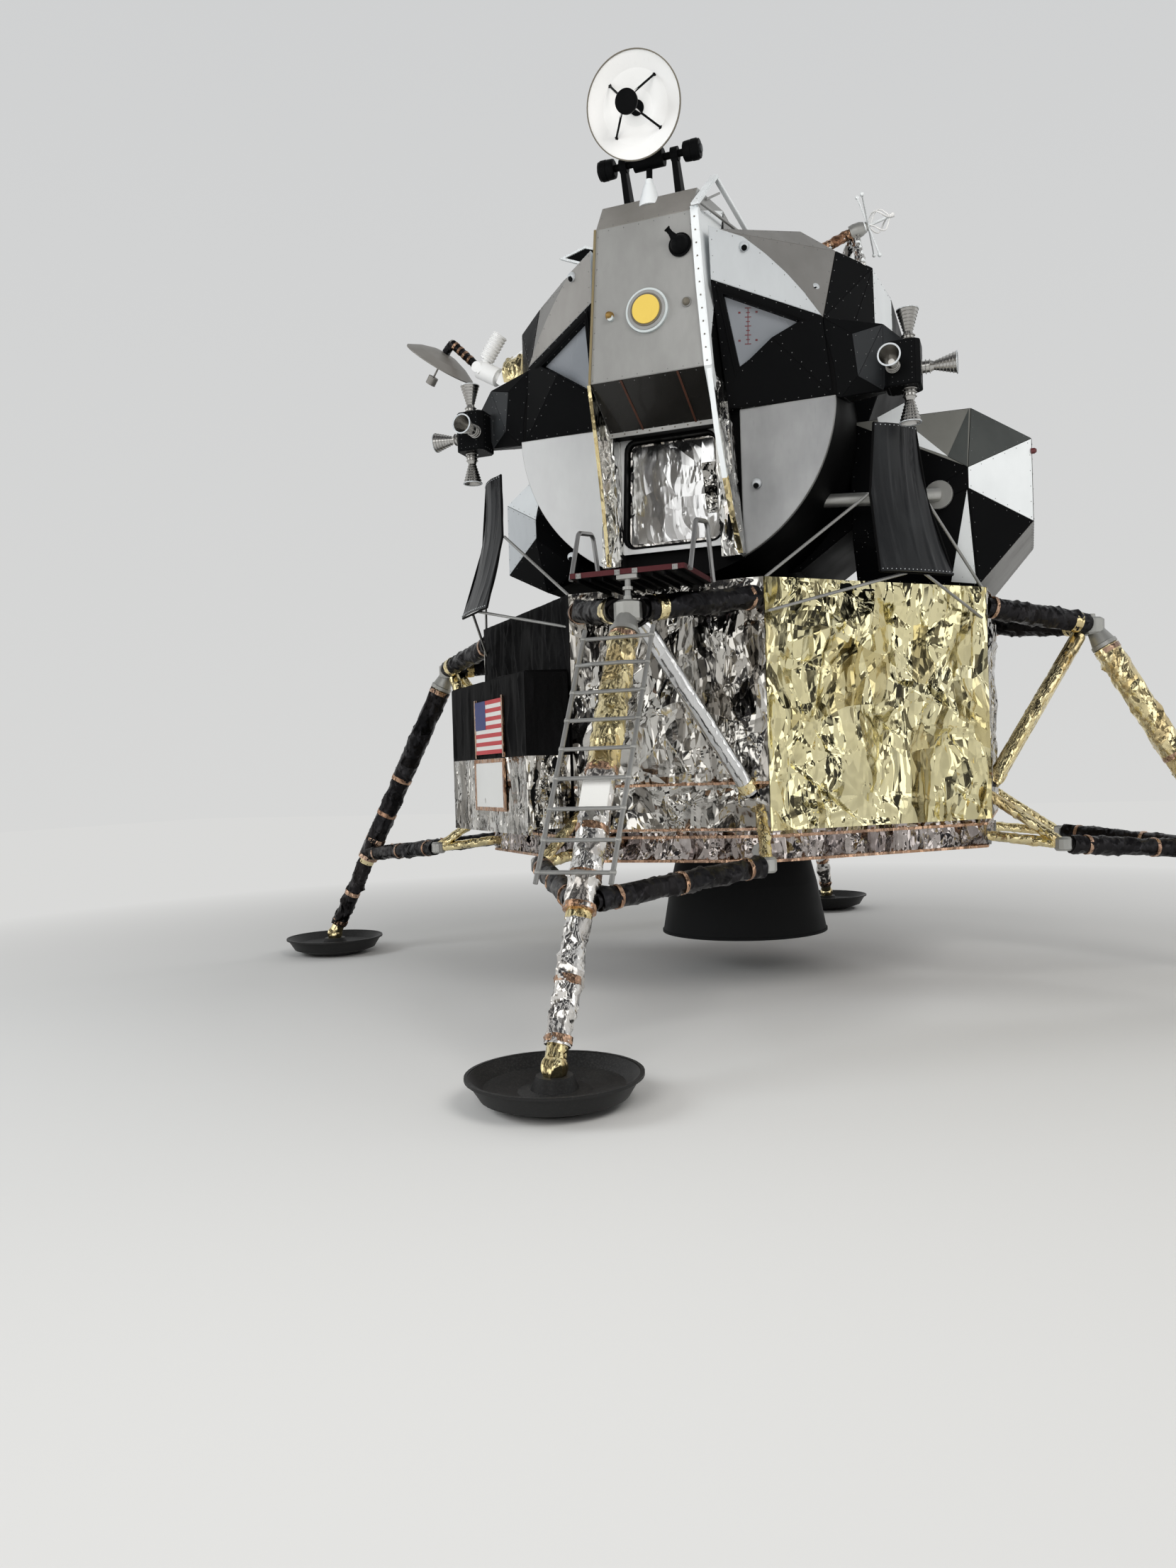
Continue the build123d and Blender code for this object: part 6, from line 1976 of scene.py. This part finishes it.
                beams.add(sheet_patch((field * (side, 1, 1))[order], folds, cell, proud, skirt), WEB_SILVER)
        beams.build("silver_foil")

    def rounded(self, grow: float, radius: float) -> list[Corner]:
        """Returns the hatch outline, grown, with rounded corners, on the frame's front.

        Args:
            grow: How far the outline is grown.
            radius: Radius of the corners.

        Returns:
            The points of the outline.
        """
        low, high = 3.43 - grow, 4.185 + grow
        half_low, half_high = 0.355 + grow, 0.325 + grow
        centres = (
            (-half_low + radius, low + radius, 180), (half_low - radius, low + radius, 270),
            (half_high - radius, high - radius, 0), (-half_high + radius, high - radius, 90),
        )
        points = []
        for x, z, start in centres:
            for step in range(6):
                angle = math.radians(start + 18 * step)
                points.append((x + radius * math.cos(angle), -1.82, z + radius * math.sin(angle)))
        return points

    def parapet(self) -> None:
        """Makes the open frame of bars on the right edge of the roof."""
        piece = Piece("parapet_frame")
        base, apex, rear = as_points(((0.385, -2.36, 5.56), (0.387, -1.80, 6.015), (0.56, -1.40, 5.685)))
        for low, high, shift, side, width, depth in (
            (apex, base, 0.0, RIGHT, 0.05, 0.014), (apex, base, 0.02, (0, 1, 0.4), 0.05, 0.01),
            (rear, apex, 0.0, (1, -0.2, 0), 0.038, 0.012), (rear, apex, 0.019, (0.2, 1, 0.3), 0.034, 0.008),
        ):
            piece.add(bar([low + (shift, 0, 0), high + (shift, 0, 0)], side, width, depth), WHITE_STRIP)
        piece.add(tube([(0.384, -2.045, 5.74), (0.419, -1.8, 5.89)], 0.008, 8), SHEET)
        piece.add(tube([(0.385, -2.30, 5.62), (0.545, -1.43, 5.69)], 0.011, 8), SHEET)
        piece.build("white_paint")

    def small_parts(self) -> None:
        """Makes the cowls, the handle, the grey tube and the louvred vent."""
        piece = Piece("face_small_parts")
        cowls = (
            ((0.649, -2.078, 5.345), (0.51, -0.86, 0.1)), ((1.055, -1.668, 5.14), (0.64, -0.69, 0.34)),
            ((0.63, -1.815, 3.78), (0.1, -1, 0)), ((-0.802, -1.815, 3.40), (0.0, -1, 0)),
            ((-0.62, -2.092, 5.37), (-0.51, -0.86, 0.1)),
        )
        for centre, normal in cowls:
            piece.add(dome(centre, unit(normal), 0.036), BRIGHT_SHEET)
            mouth = np.array(centre) + unit(normal) * 0.012 + (0, -0.012, -0.02)
            piece.add(disc(mouth, unit((normal[0], normal[1], -0.6)), 0.02, 0.008, 16), BLACK)
        handle = [(0.44, -1.84, 3.55), (0.455, -1.94, 3.55), (0.455, -1.94, 3.38), (0.44, -1.84, 3.38)]
        piece.add(tube(handle, 0.012, 10), BLACK)
        piece.add(tube([(0.90, -1.2, 3.749), (1.378, -1.19, 3.718), (1.81, -0.99, 3.742)], 0.05, 24), FITTING)
        piece.add(disc((1.81, -0.955, 3.742), (-0.2, -0.98, 0), 0.105, 0.03), FITTING)
        lamp = [(0, 0), (0.022, 0), (0.022, 0.026), (0.012, 0.04), (0, 0.042)]
        piece.add(turned(lamp, (2.455, -0.6, 4.075), RIGHT, 16), RED)
        piece.build("steel")
        tank = Piece("tank_cover_panels")
        for corners, finish in self.tank_fields:
            outline = np.array(corners)
            outline = outline if newell(outline)[1] < 0 else outline[::-1]
            tank.add(plate(outline, 0.006, 0.0055, 0.001), finish)
        tank.build("bare_panel")
        vent = Piece("vent_frame")
        corners = ((-0.70, 5.70), (-0.60, 5.72), (-0.60, 5.82), (-0.736, 5.868), (-0.953, 5.81))
        outline = np.array([(x, -1.5, z) for x, z in corners])
        vent.add(rim(outline, inset(outline, 0.018), 0.03, 0.012), WHITE_STRIP)
        vent.add(plate(inset(outline, 0.01), 0.02), BLACK)
        vent.add(box((-0.72, -1.49, 5.62), (-0.62, -1.34, 5.80)), SHEET)
        vent.build("white_paint")
        Patterns.slats.grow("vent_slats", [[(-0.895, -1.508, 5.806), (-0.735, -1.508, 5.748)]], SHEET, "white_paint",
                            Width=0.012, Depth=0.012, Height=0.006, Tilt=0.5, Count=2)


@dataclass(frozen=True)
class ThrusterDress:
    """Rings and collars of the small nozzles."""

    centre: Corner = (1.65, -1.69, 4.48)

    def build(self) -> None:
        """Grows the rings along every nozzle of the four quads."""
        x, y, z = self.centre
        axes = (((0.035, 0, 0.15), UP), ((0.035, 0, -0.15), (0, 0, -1)), ((-0.06, -0.115, -0.02), FRONT),
                ((0.115, 0, -0.02), RIGHT))
        bells, necks = [], []
        for sx in (-1, 1):
            for sy in (-1, 1):
                for start, way in axes:
                    place = np.array([(x + start[0]) * sx, (y + start[1]) * sy, z + start[2]])
                    aim = np.array([way[0] * sx, way[1] * sy, way[2]])
                    bells.append([place + aim * 0.10, place + aim * 0.233])
                    necks.append([place + aim * 0.006, place + aim * 0.058])
        Patterns.hoops.grow("nozzle_rings", bells, STEEL, "steel", First_Radius=0.036, Last_Radius=0.073,
                            Thickness=0.05, Flatness=1.0, Count=7, Sides=24)
        Patterns.hoops.grow("nozzle_collars", necks, STEEL, "steel", First_Radius=0.046, Last_Radius=0.043,
                            Thickness=0.12, Flatness=0.7, Count=3, Sides=20)
        mouths = Piece("nozzle_mouths")
        for row in bells:
            aim = unit(row[1] - row[0])
            mouths.add(ring(0.066, 0.0765, 0.006, row[1], aim, 28), BRIGHT_SHEET)
        mouths.build("steel")


@dataclass(frozen=True)
class Deflectors:
    """Pleated cloth on the four plume deflectors, with laced edges."""

    rows: tuple[tuple[float, float, float], ...] = ((2.205, 0.18, 4.13), (2.23, 0.245, 3.63), (2.40, 0.312, 3.06))
    bow: float = 0.03
    cut: Cloth = Cloth((0.66, 1.13), 0.58, "stretched", "deflector_frames")

    def edge(self, row: tuple[float, float, float], back: float = 0.0) -> tuple[np.ndarray, np.ndarray]:
        """Returns the left and right end of one row of the front right deflector, seen from outside.

        Args:
            row: Distance, half width and height of the row.
            back: How far the ends lie further out.

        Returns:
            The left end and the right end.
        """
        distance, half, z = row
        out = np.array([ROOT_HALF, -ROOT_HALF, 0]) * (distance + back)
        along = np.array([ROOT_HALF, ROOT_HALF, 0]) * half
        return out - along + (0, 0, z), out + along + (0, 0, z)

    def bowed(self, points: np.ndarray, lift: float) -> np.ndarray:
        """Bends a flat sheet through the middle row and bows it outwards.

        Args:
            points: Points of the sheet between the top and the bottom row.
            lift: How far the whole sheet stands off.

        Returns:
            The bent points.
        """
        (top, half_top, z_top), (middle, _, z_middle), (low, half_low, z_low) = self.rows
        share = np.clip((z_top - points[:, 2]) / (z_top - z_low), 0, 1)
        at_middle = (z_top - z_middle) / (z_top - z_low)
        dip = (middle - (top + (low - top) * at_middle)) / (at_middle * (1 - at_middle))
        along = (points[:, 0] + points[:, 1]) * ROOT_HALF
        across_share = np.clip(along / (half_top + (half_low - half_top) * share), -1, 1)
        out = lift + dip * share * (1 - share) + self.bow * (1 - across_share ** 2)
        return points + np.outer(out, (ROOT_HALF, -ROOT_HALF, 0))

    def build(self) -> None:
        """Makes the cloth, the edge binding and the lacing."""
        pleats = (
            Folds(601, 16, (0.5, 1.2), (0.022, 0.05), 0.012, follow=1.0, valleys=0.3),
            Folds(602, 14, (0.2, 0.6), (0.015, 0.03), 0.004, follow=0.98),
        )
        lacing = []
        for turns, name in enumerate(("front_right", "rear_right", "rear_left", "front_left")):
            low, high = self.edge(self.rows[2]), self.edge(self.rows[0])
            front = sheet_patch([low[0], low[1], high[1], high[0]], pleats, 0.0095, 0.003, 0.004, 0.02, closed=False)
            bent = spun((self.bowed(front[0], 0.012), front[1]), turns)
            cloth = Piece(f"{name}_deflector_cloth").add(bent, DEFLECTOR_CLOTH)
            piece = Piece(f"{name}_deflector_binding")
            lefts, rights = ([self.edge(row, 0.006)[end] for row in self.rows] for end in (0, 1))
            for path in (lefts, rights, [lefts[0], rights[0]], [lefts[-1], rights[-1]]):
                piece.add(spun(tube(path, 0.009, 8), turns), SOFT_BLACK)
            binding = piece.build("black_cloth")
            self.cut.declare(cloth.build("black_cloth", replaces=("plume_deflectors",)), [binding])
            for row, drop in ((self.rows[0], -0.015), (self.rows[2], 0.015)):
                left, right = self.edge(row)
                stops = np.linspace(0.02, 0.98, 15)[:, None]
                path = left + (right - left) * stops + (0, 0, drop)
                lacing.append(list(spun((self.bowed(path, 0.022), []), turns)[0]))
        Patterns.beads.grow("deflector_lacing", lacing, BRIGHT_SHEET, "steel", Spacing=0.032, Radius=0.004)


@dataclass(frozen=True)
class RadarDress:
    """Rim, feed and struts of the tracking radar, and its cone on the roof."""

    aim: Corner = (0.0, -0.944, -0.330)
    up: Corner = (0.0, -0.330, 0.944)
    vertex: Corner = (0.0, -2.350, 6.305)
    radius: float = 0.33
    depth: float = 0.09

    def build(self) -> None:
        """Makes the radar's pieces."""
        aim, up, vertex = (np.array(v, float) for v in (self.aim, self.up, self.vertex))
        piece = Piece("radar_feed")
        rim_at = vertex + aim * self.depth
        piece.add(ring(self.radius - 0.004, self.radius + 0.004, 0.014, rim_at, aim, 72), DARK_RING)
        focus = vertex + aim * 0.232
        feed = [(0, -0.02), (0.05, -0.02), (0.074, 0), (0.078, 0.01), (0.078, 0.026), (0.06, 0.034), (0, 0.034)]
        piece.add(turned(feed, focus, aim, 36), BLACK)
        piece.add(disc(vertex + aim * 0.008, aim, 0.05, 0.012), BLACK)
        for turn in range(4):
            angle = math.radians(45 + 90 * turn)
            side = np.array([1.0, 0, 0]) * math.cos(angle) + up * math.sin(angle)
            foot = vertex + side * 0.7 * self.radius + aim * (self.depth * 0.49 + 0.006)
            piece.add(tube([foot, focus + side * 0.05 + aim * 0.008], 0.0075, 10), BLACK)
            piece.add(disc(foot, -aim, 0.016, 0.01, 12), BLACK)
            piece.add(disc(foot - aim * 0.008, aim, 0.016, 0.012, 12), BLACK)
        piece.build("black_panel", "radar_dish")
        yoke = Piece("radar_drums")
        for side in (-1, 1):
            place = (side * 0.255, -2.12, 6.062)
            drum = [(0, 0), (0.055, 0), (0.066, 0.012), (0.068, 0.05), (0.066, 0.055), (0.07, 0.06), (0.07, 0.098),
                    (0.058, 0.118), (0, 0.118)]
            yoke.add(turned(drum, place, (side, 0, 0), 32), BLACK)
            yoke.add(disc((side * 0.372, -2.12, 6.062), (side, 0, 0), 0.03, 0.012, 20), ARM_DARK)
        yoke.build("black_panel", "radar_yoke")
        base = Piece("radar_cone")
        cone = [(0, 0), (0.085, 0), (0.08, 0.02), (0.055, 0.11), (0.04, 0.16), (0.03, 0.165), (0.028, 0.2), (0, 0.2)]
        base.add(turned(cone, (0.0, -2.135, 5.715), UP, 28), WHITE_STRIP)
        base.add(tube([(0, -2.13, 5.90), (0, -2.122, 5.995)], 0.022, 14), BLACK)
        base.build("white_paint")


@dataclass(frozen=True)
class SteerableDress:
    """Wraps, bands and slots of the steerable dish on the left shoulder."""

    gimbal: Corner = (-1.93, -1.0, 5.265)
    elbow: Corner = (-2.19, -1.0, 5.53)
    vertex: Corner = (-2.265, -0.99, 5.465)
    aim: Corner = (-0.62, 0.14, -0.77)

    def build(self) -> None:
        """Makes the arm wraps, the case slots and the foil at the foot."""
        gimbal, elbow, vertex = (np.array(v, float) for v in (self.gimbal, self.elbow, self.vertex))
        arm = Piece("steerable_arm_wraps")
        start, end = gimbal + (elbow - gimbal) * 0.14, elbow
        arm.add(sleeve(start, end, 0.035, small_folds(701, 0.5, 60), 0.008, 20), BLACK_WRAP)
        arm.add(sleeve(elbow, vertex, 0.035, small_folds(702, 0.4, 20), 0.008, 20), BLACK_WRAP)
        for share in (0.25, 0.45, 0.65, 0.85):
            middle = start + (end - start) * share
            half = unit(end - start) * 0.012
            arm.add(sleeve(middle - half, middle + half, 0.039, small_folds(703, 0.3, 12), 0.006, 20), COPPER)
        arm.build("black_panel", "steerable_dish")
        foot = Piece("steerable_foot_foil")
        folds = small_folds(711, 1.2, 80)
        wrap = sleeve((-1.47, -1.0, 5.16), (-1.66, -1.0, 5.16), lambda share: 0.17 - 0.04 * share, folds, 0.012, 32)
        foot.add(wrap, GOLD_WRAP)
        foot.build("gold_foil")
        low, high = gimbal + (0.06, 0, 0.07), gimbal + (0.2, 0, 0.26)
        case = [low + (high - low) * 0.1, low + (high - low) * 0.95]
        Patterns.hoops.grow("steerable_case_ribs", [case], WHITE, "white_paint", "steerable_gimbal", First_Radius=0.064,
                            Last_Radius=0.064, Thickness=0.09, Flatness=1.4, Count=8, Sides=24)


@dataclass(frozen=True)
class OmniDress:
    """Foil legs, loops and tip of the antenna on the right shoulder."""

    head: Corner = (1.382, -1.2, 5.722)
    aim: Corner = (0.957, 0.083, 0.277)
    feet: tuple[Corner, ...] = ((1.03, -1.29, 5.575), (1.15, -1.01, 5.50), (1.345, -1.27, 5.35))

    def build(self) -> None:
        """Makes the antenna's pieces."""
        head, aim = np.array(self.head), unit(self.aim)
        hub = head - aim * 0.105
        legs = Piece("omni_leg_foil")
        for index, foot in enumerate(self.feet):
            finish = SILVER_WRAP if index else COPPER
            legs.add(sleeve(np.array(foot), hub, 0.034, small_folds(801 + index, 0.8, 60), 0.01, 20), finish)
        legs.build("silver_foil")
        parts = Piece("omni_parts")
        case = [(0, -0.03), (0.052, -0.03), (0.056, 0), (0.052, 0.05), (0.03, 0.10), (0, 0.10)]
        parts.add(turned(case, hub, aim, 24), FITTING)
        parts.add(turned([(0, 0), (0.014, 0), (0.018, 0.03), (0, 0.04)], head + aim * 0.16, aim, 14), WHITE)
        parts.build("steel")
        loops = Piece("omni_loops")
        first, second = across(aim)
        for quarter in range(4):
            start = 0.5 + quarter * math.pi / 2
            wire = []
            for share in np.linspace(0, 1, 17):
                turn = start + share * math.pi / 2
                side = first * math.cos(turn) + second * math.sin(turn)
                reach = 0.095 * math.sin(math.pi * (0.08 + 0.92 * share))
                wire.append(head + aim * (0.01 + 0.15 * share) + side * reach)
            loops.add(tube(wire, 0.0058, 8), WHITE)
        loops.build("white_paint")


@dataclass(frozen=True)
class EngineDress:
    """Lip of the main engine's bell."""

    def build(self) -> None:
        """Makes the rolled lip."""
        lip = Piece("engine_bell_lip").add(ring(0.700, 0.7205, 0.02, (0, 0, 0.338), UP, 96), ENGINE_BLACK)
        lip.build("engine_metal", "descent_engine")


# Studio

@dataclass(frozen=True)
class Studio:
    """Camera, lamps, floor and world."""

    place: Corner = (2.38567, -9.72564, 1.74453)
    yaw: float = 21.50237
    pitch: float = -0.47029
    roll: float = -1.78739
    lens: float = 34.355

    def build(self) -> None:
        """Sets everything up."""
        self.camera()
        self.world()
        self.lamps()
        self.floor()

    def camera(self) -> None:
        """Sets the camera where the photograph was taken."""
        yaw, pitch, roll = (math.radians(v) for v in (self.yaw, self.pitch, self.roll))
        right = Vector((math.cos(yaw), math.sin(yaw), 0))
        ahead = Vector((-math.sin(yaw) * math.cos(pitch), math.cos(yaw) * math.cos(pitch), math.sin(pitch)))
        up = right.cross(ahead)
        turned_right = right * math.cos(roll) + up * math.sin(roll)
        turned_up = up * math.cos(roll) - right * math.sin(roll)
        data = bpy.data.cameras.new("camera")
        data.lens = self.lens
        data.sensor_width = 36.0
        data.sensor_fit = "HORIZONTAL"
        data.clip_end = 200.0
        made = bpy.data.objects.new("camera", data)
        turn = Matrix((turned_right, turned_up, -ahead)).transposed()
        made.matrix_world = Matrix.Translation(self.place) @ turn.to_4x4()
        bpy.context.scene.collection.objects.link(made)
        bpy.context.scene.camera = made

    def world(self) -> None:
        """Gives a pale backdrop, an even light, and a hall with windows that only reflections see."""
        world = bpy.data.worlds.new("studio")
        bpy.context.scene.world = world
        world.use_nodes = True
        world.node_tree.nodes.clear()
        make = NodeMaker(world.node_tree)
        way = make.add("ShaderNodeSeparateXYZ", Vector=make.add("ShaderNodeTexCoord").outputs["Generated"])
        turn = make.math("ARCTAN2", way.outputs[1], way.outputs[0])
        wall = make.mix(make.remap(way.outputs[2], 0.0, 0.6), (0.24, 0.225, 0.20), (0.03, 0.03, 0.034))
        bays = make.remap(make.math("SINE", make.math("MULTIPLY_ADD", turn, 5.0, third=2.4)), -0.35, -0.2)
        sill = make.remap(way.outputs[2], 0.01, 0.03)
        head = make.remap(way.outputs[2], 0.42, 0.38)
        window = make.math("MULTIPLY", bays, make.math("MULTIPLY", sill, head))
        beams = make.remap(make.math("SINE", make.math("MULTIPLY", way.outputs[0], 14.0)), 0.6, 0.7)
        roof = make.math("MULTIPLY", beams, make.remap(way.outputs[2], 0.5, 0.55))
        hall = make.mix(window, wall, (1.6, 1.6, 1.58))
        hall = make.mix(roof, hall, (0.8, 0.8, 0.79))
        pale = make.mix(make.remap(way.outputs[2], -0.2, 0.9), (0.70, 0.70, 0.69), (0.60, 0.61, 0.62))
        path = make.add("ShaderNodeLightPath")
        mirrored_tone = make.mix(make.remap(way.outputs[1], -0.05, 0.25), hall, pale)
        tone = make.mix(path.outputs["Is Glossy Ray"], (0.46, 0.46, 0.46), mirrored_tone)
        light = make.add("ShaderNodeBackground", Color=make.mix(path.outputs["Is Camera Ray"], tone, pale))
        leave = make.add("ShaderNodeOutputWorld")
        make.fill(leave.inputs["Surface"], light.outputs[0])

    def lamps(self) -> None:
        """Adds the soft window light and its fills."""
        rows = (
            ("window_light", (7.0, -9.0, 8.5), (0.3, -1.5, 3.4), 5.0, 560.0, (1.0, 0.98, 0.95)),
            ("left_window", (-8.0, -8.5, 6.0), (-0.5, -1.0, 3.2), 5.0, 460.0, (0.93, 0.97, 1.0)),
            ("front_fill", (0.5, -12.0, 4.5), (0.0, -2.0, 3.6), 4.0, 360.0, (1.0, 0.98, 0.96)),
            ("back_strip", (6.0, 7.5, 7.5), (0.0, 0.0, 4.0), 4.0, 300.0, (1.0, 1.0, 1.0)),
        )
        for name, place, target, size, power, colour in rows:
            data = bpy.data.lights.new(name, "AREA")
            data.shape = "DISK"
            data.size = size
            data.energy = power
            data.color = colour
            made = bpy.data.objects.new(name, data)
            made.visible_glossy = False
            aim = Vector(target) - Vector(place)
            made.matrix_world = Matrix.Translation(place) @ aim.to_track_quat("-Z", "Y").to_matrix().to_4x4()
            bpy.context.scene.collection.objects.link(made)

    def floor(self) -> None:
        """Adds the plain pale floor."""
        mesh = bpy.data.meshes.new("floor")
        mesh.from_pydata([(-40, -40, 0), (40, -40, 0), (40, 40, 0), (-40, 40, 0)], [], [(0, 1, 2, 3)])
        mesh.materials.append(FLOOR.material())
        made = bpy.data.objects.new("floor", mesh)
        bpy.context.scene.collection.objects.link(made)


LEG_LOOKS = {
    Leg.FRONT: LegLooks(GOLD_WRAP, SILVER_WRAP, PALE_SILVER),
    Leg.RIGHT: LegLooks(GOLD_WRAP, GOLD_WRAP, GOLD_WRAP),
    Leg.REAR: LegLooks(GOLD_WRAP, SILVER_WRAP, PALE_SILVER),
    Leg.LEFT: LegLooks(BLACK_WRAP, BLACK_WRAP, GOLD_WRAP),
}


def main() -> None:
    """Builds the looks around the loaded frame."""
    logging.basicConfig(level=logging.INFO, format="%(message)s")
    Patterns.build()
    PLAIN_PARTS.build()
    for skin in SKINS:
        skin.build()
    LowerStage().build()
    for leg in Leg:
        LegDress(leg, LEG_LOOKS[leg]).build()
    for part in (PalletDress(), LadderDress(), FaceDress(), ThrusterDress(), Deflectors(), RadarDress(),
                 SteerableDress(), OmniDress(), EngineDress(), Studio()):
        part.build()
    bpy.context.scene.view_settings.view_transform = "Standard"


if __name__ == "__main__":
    main()
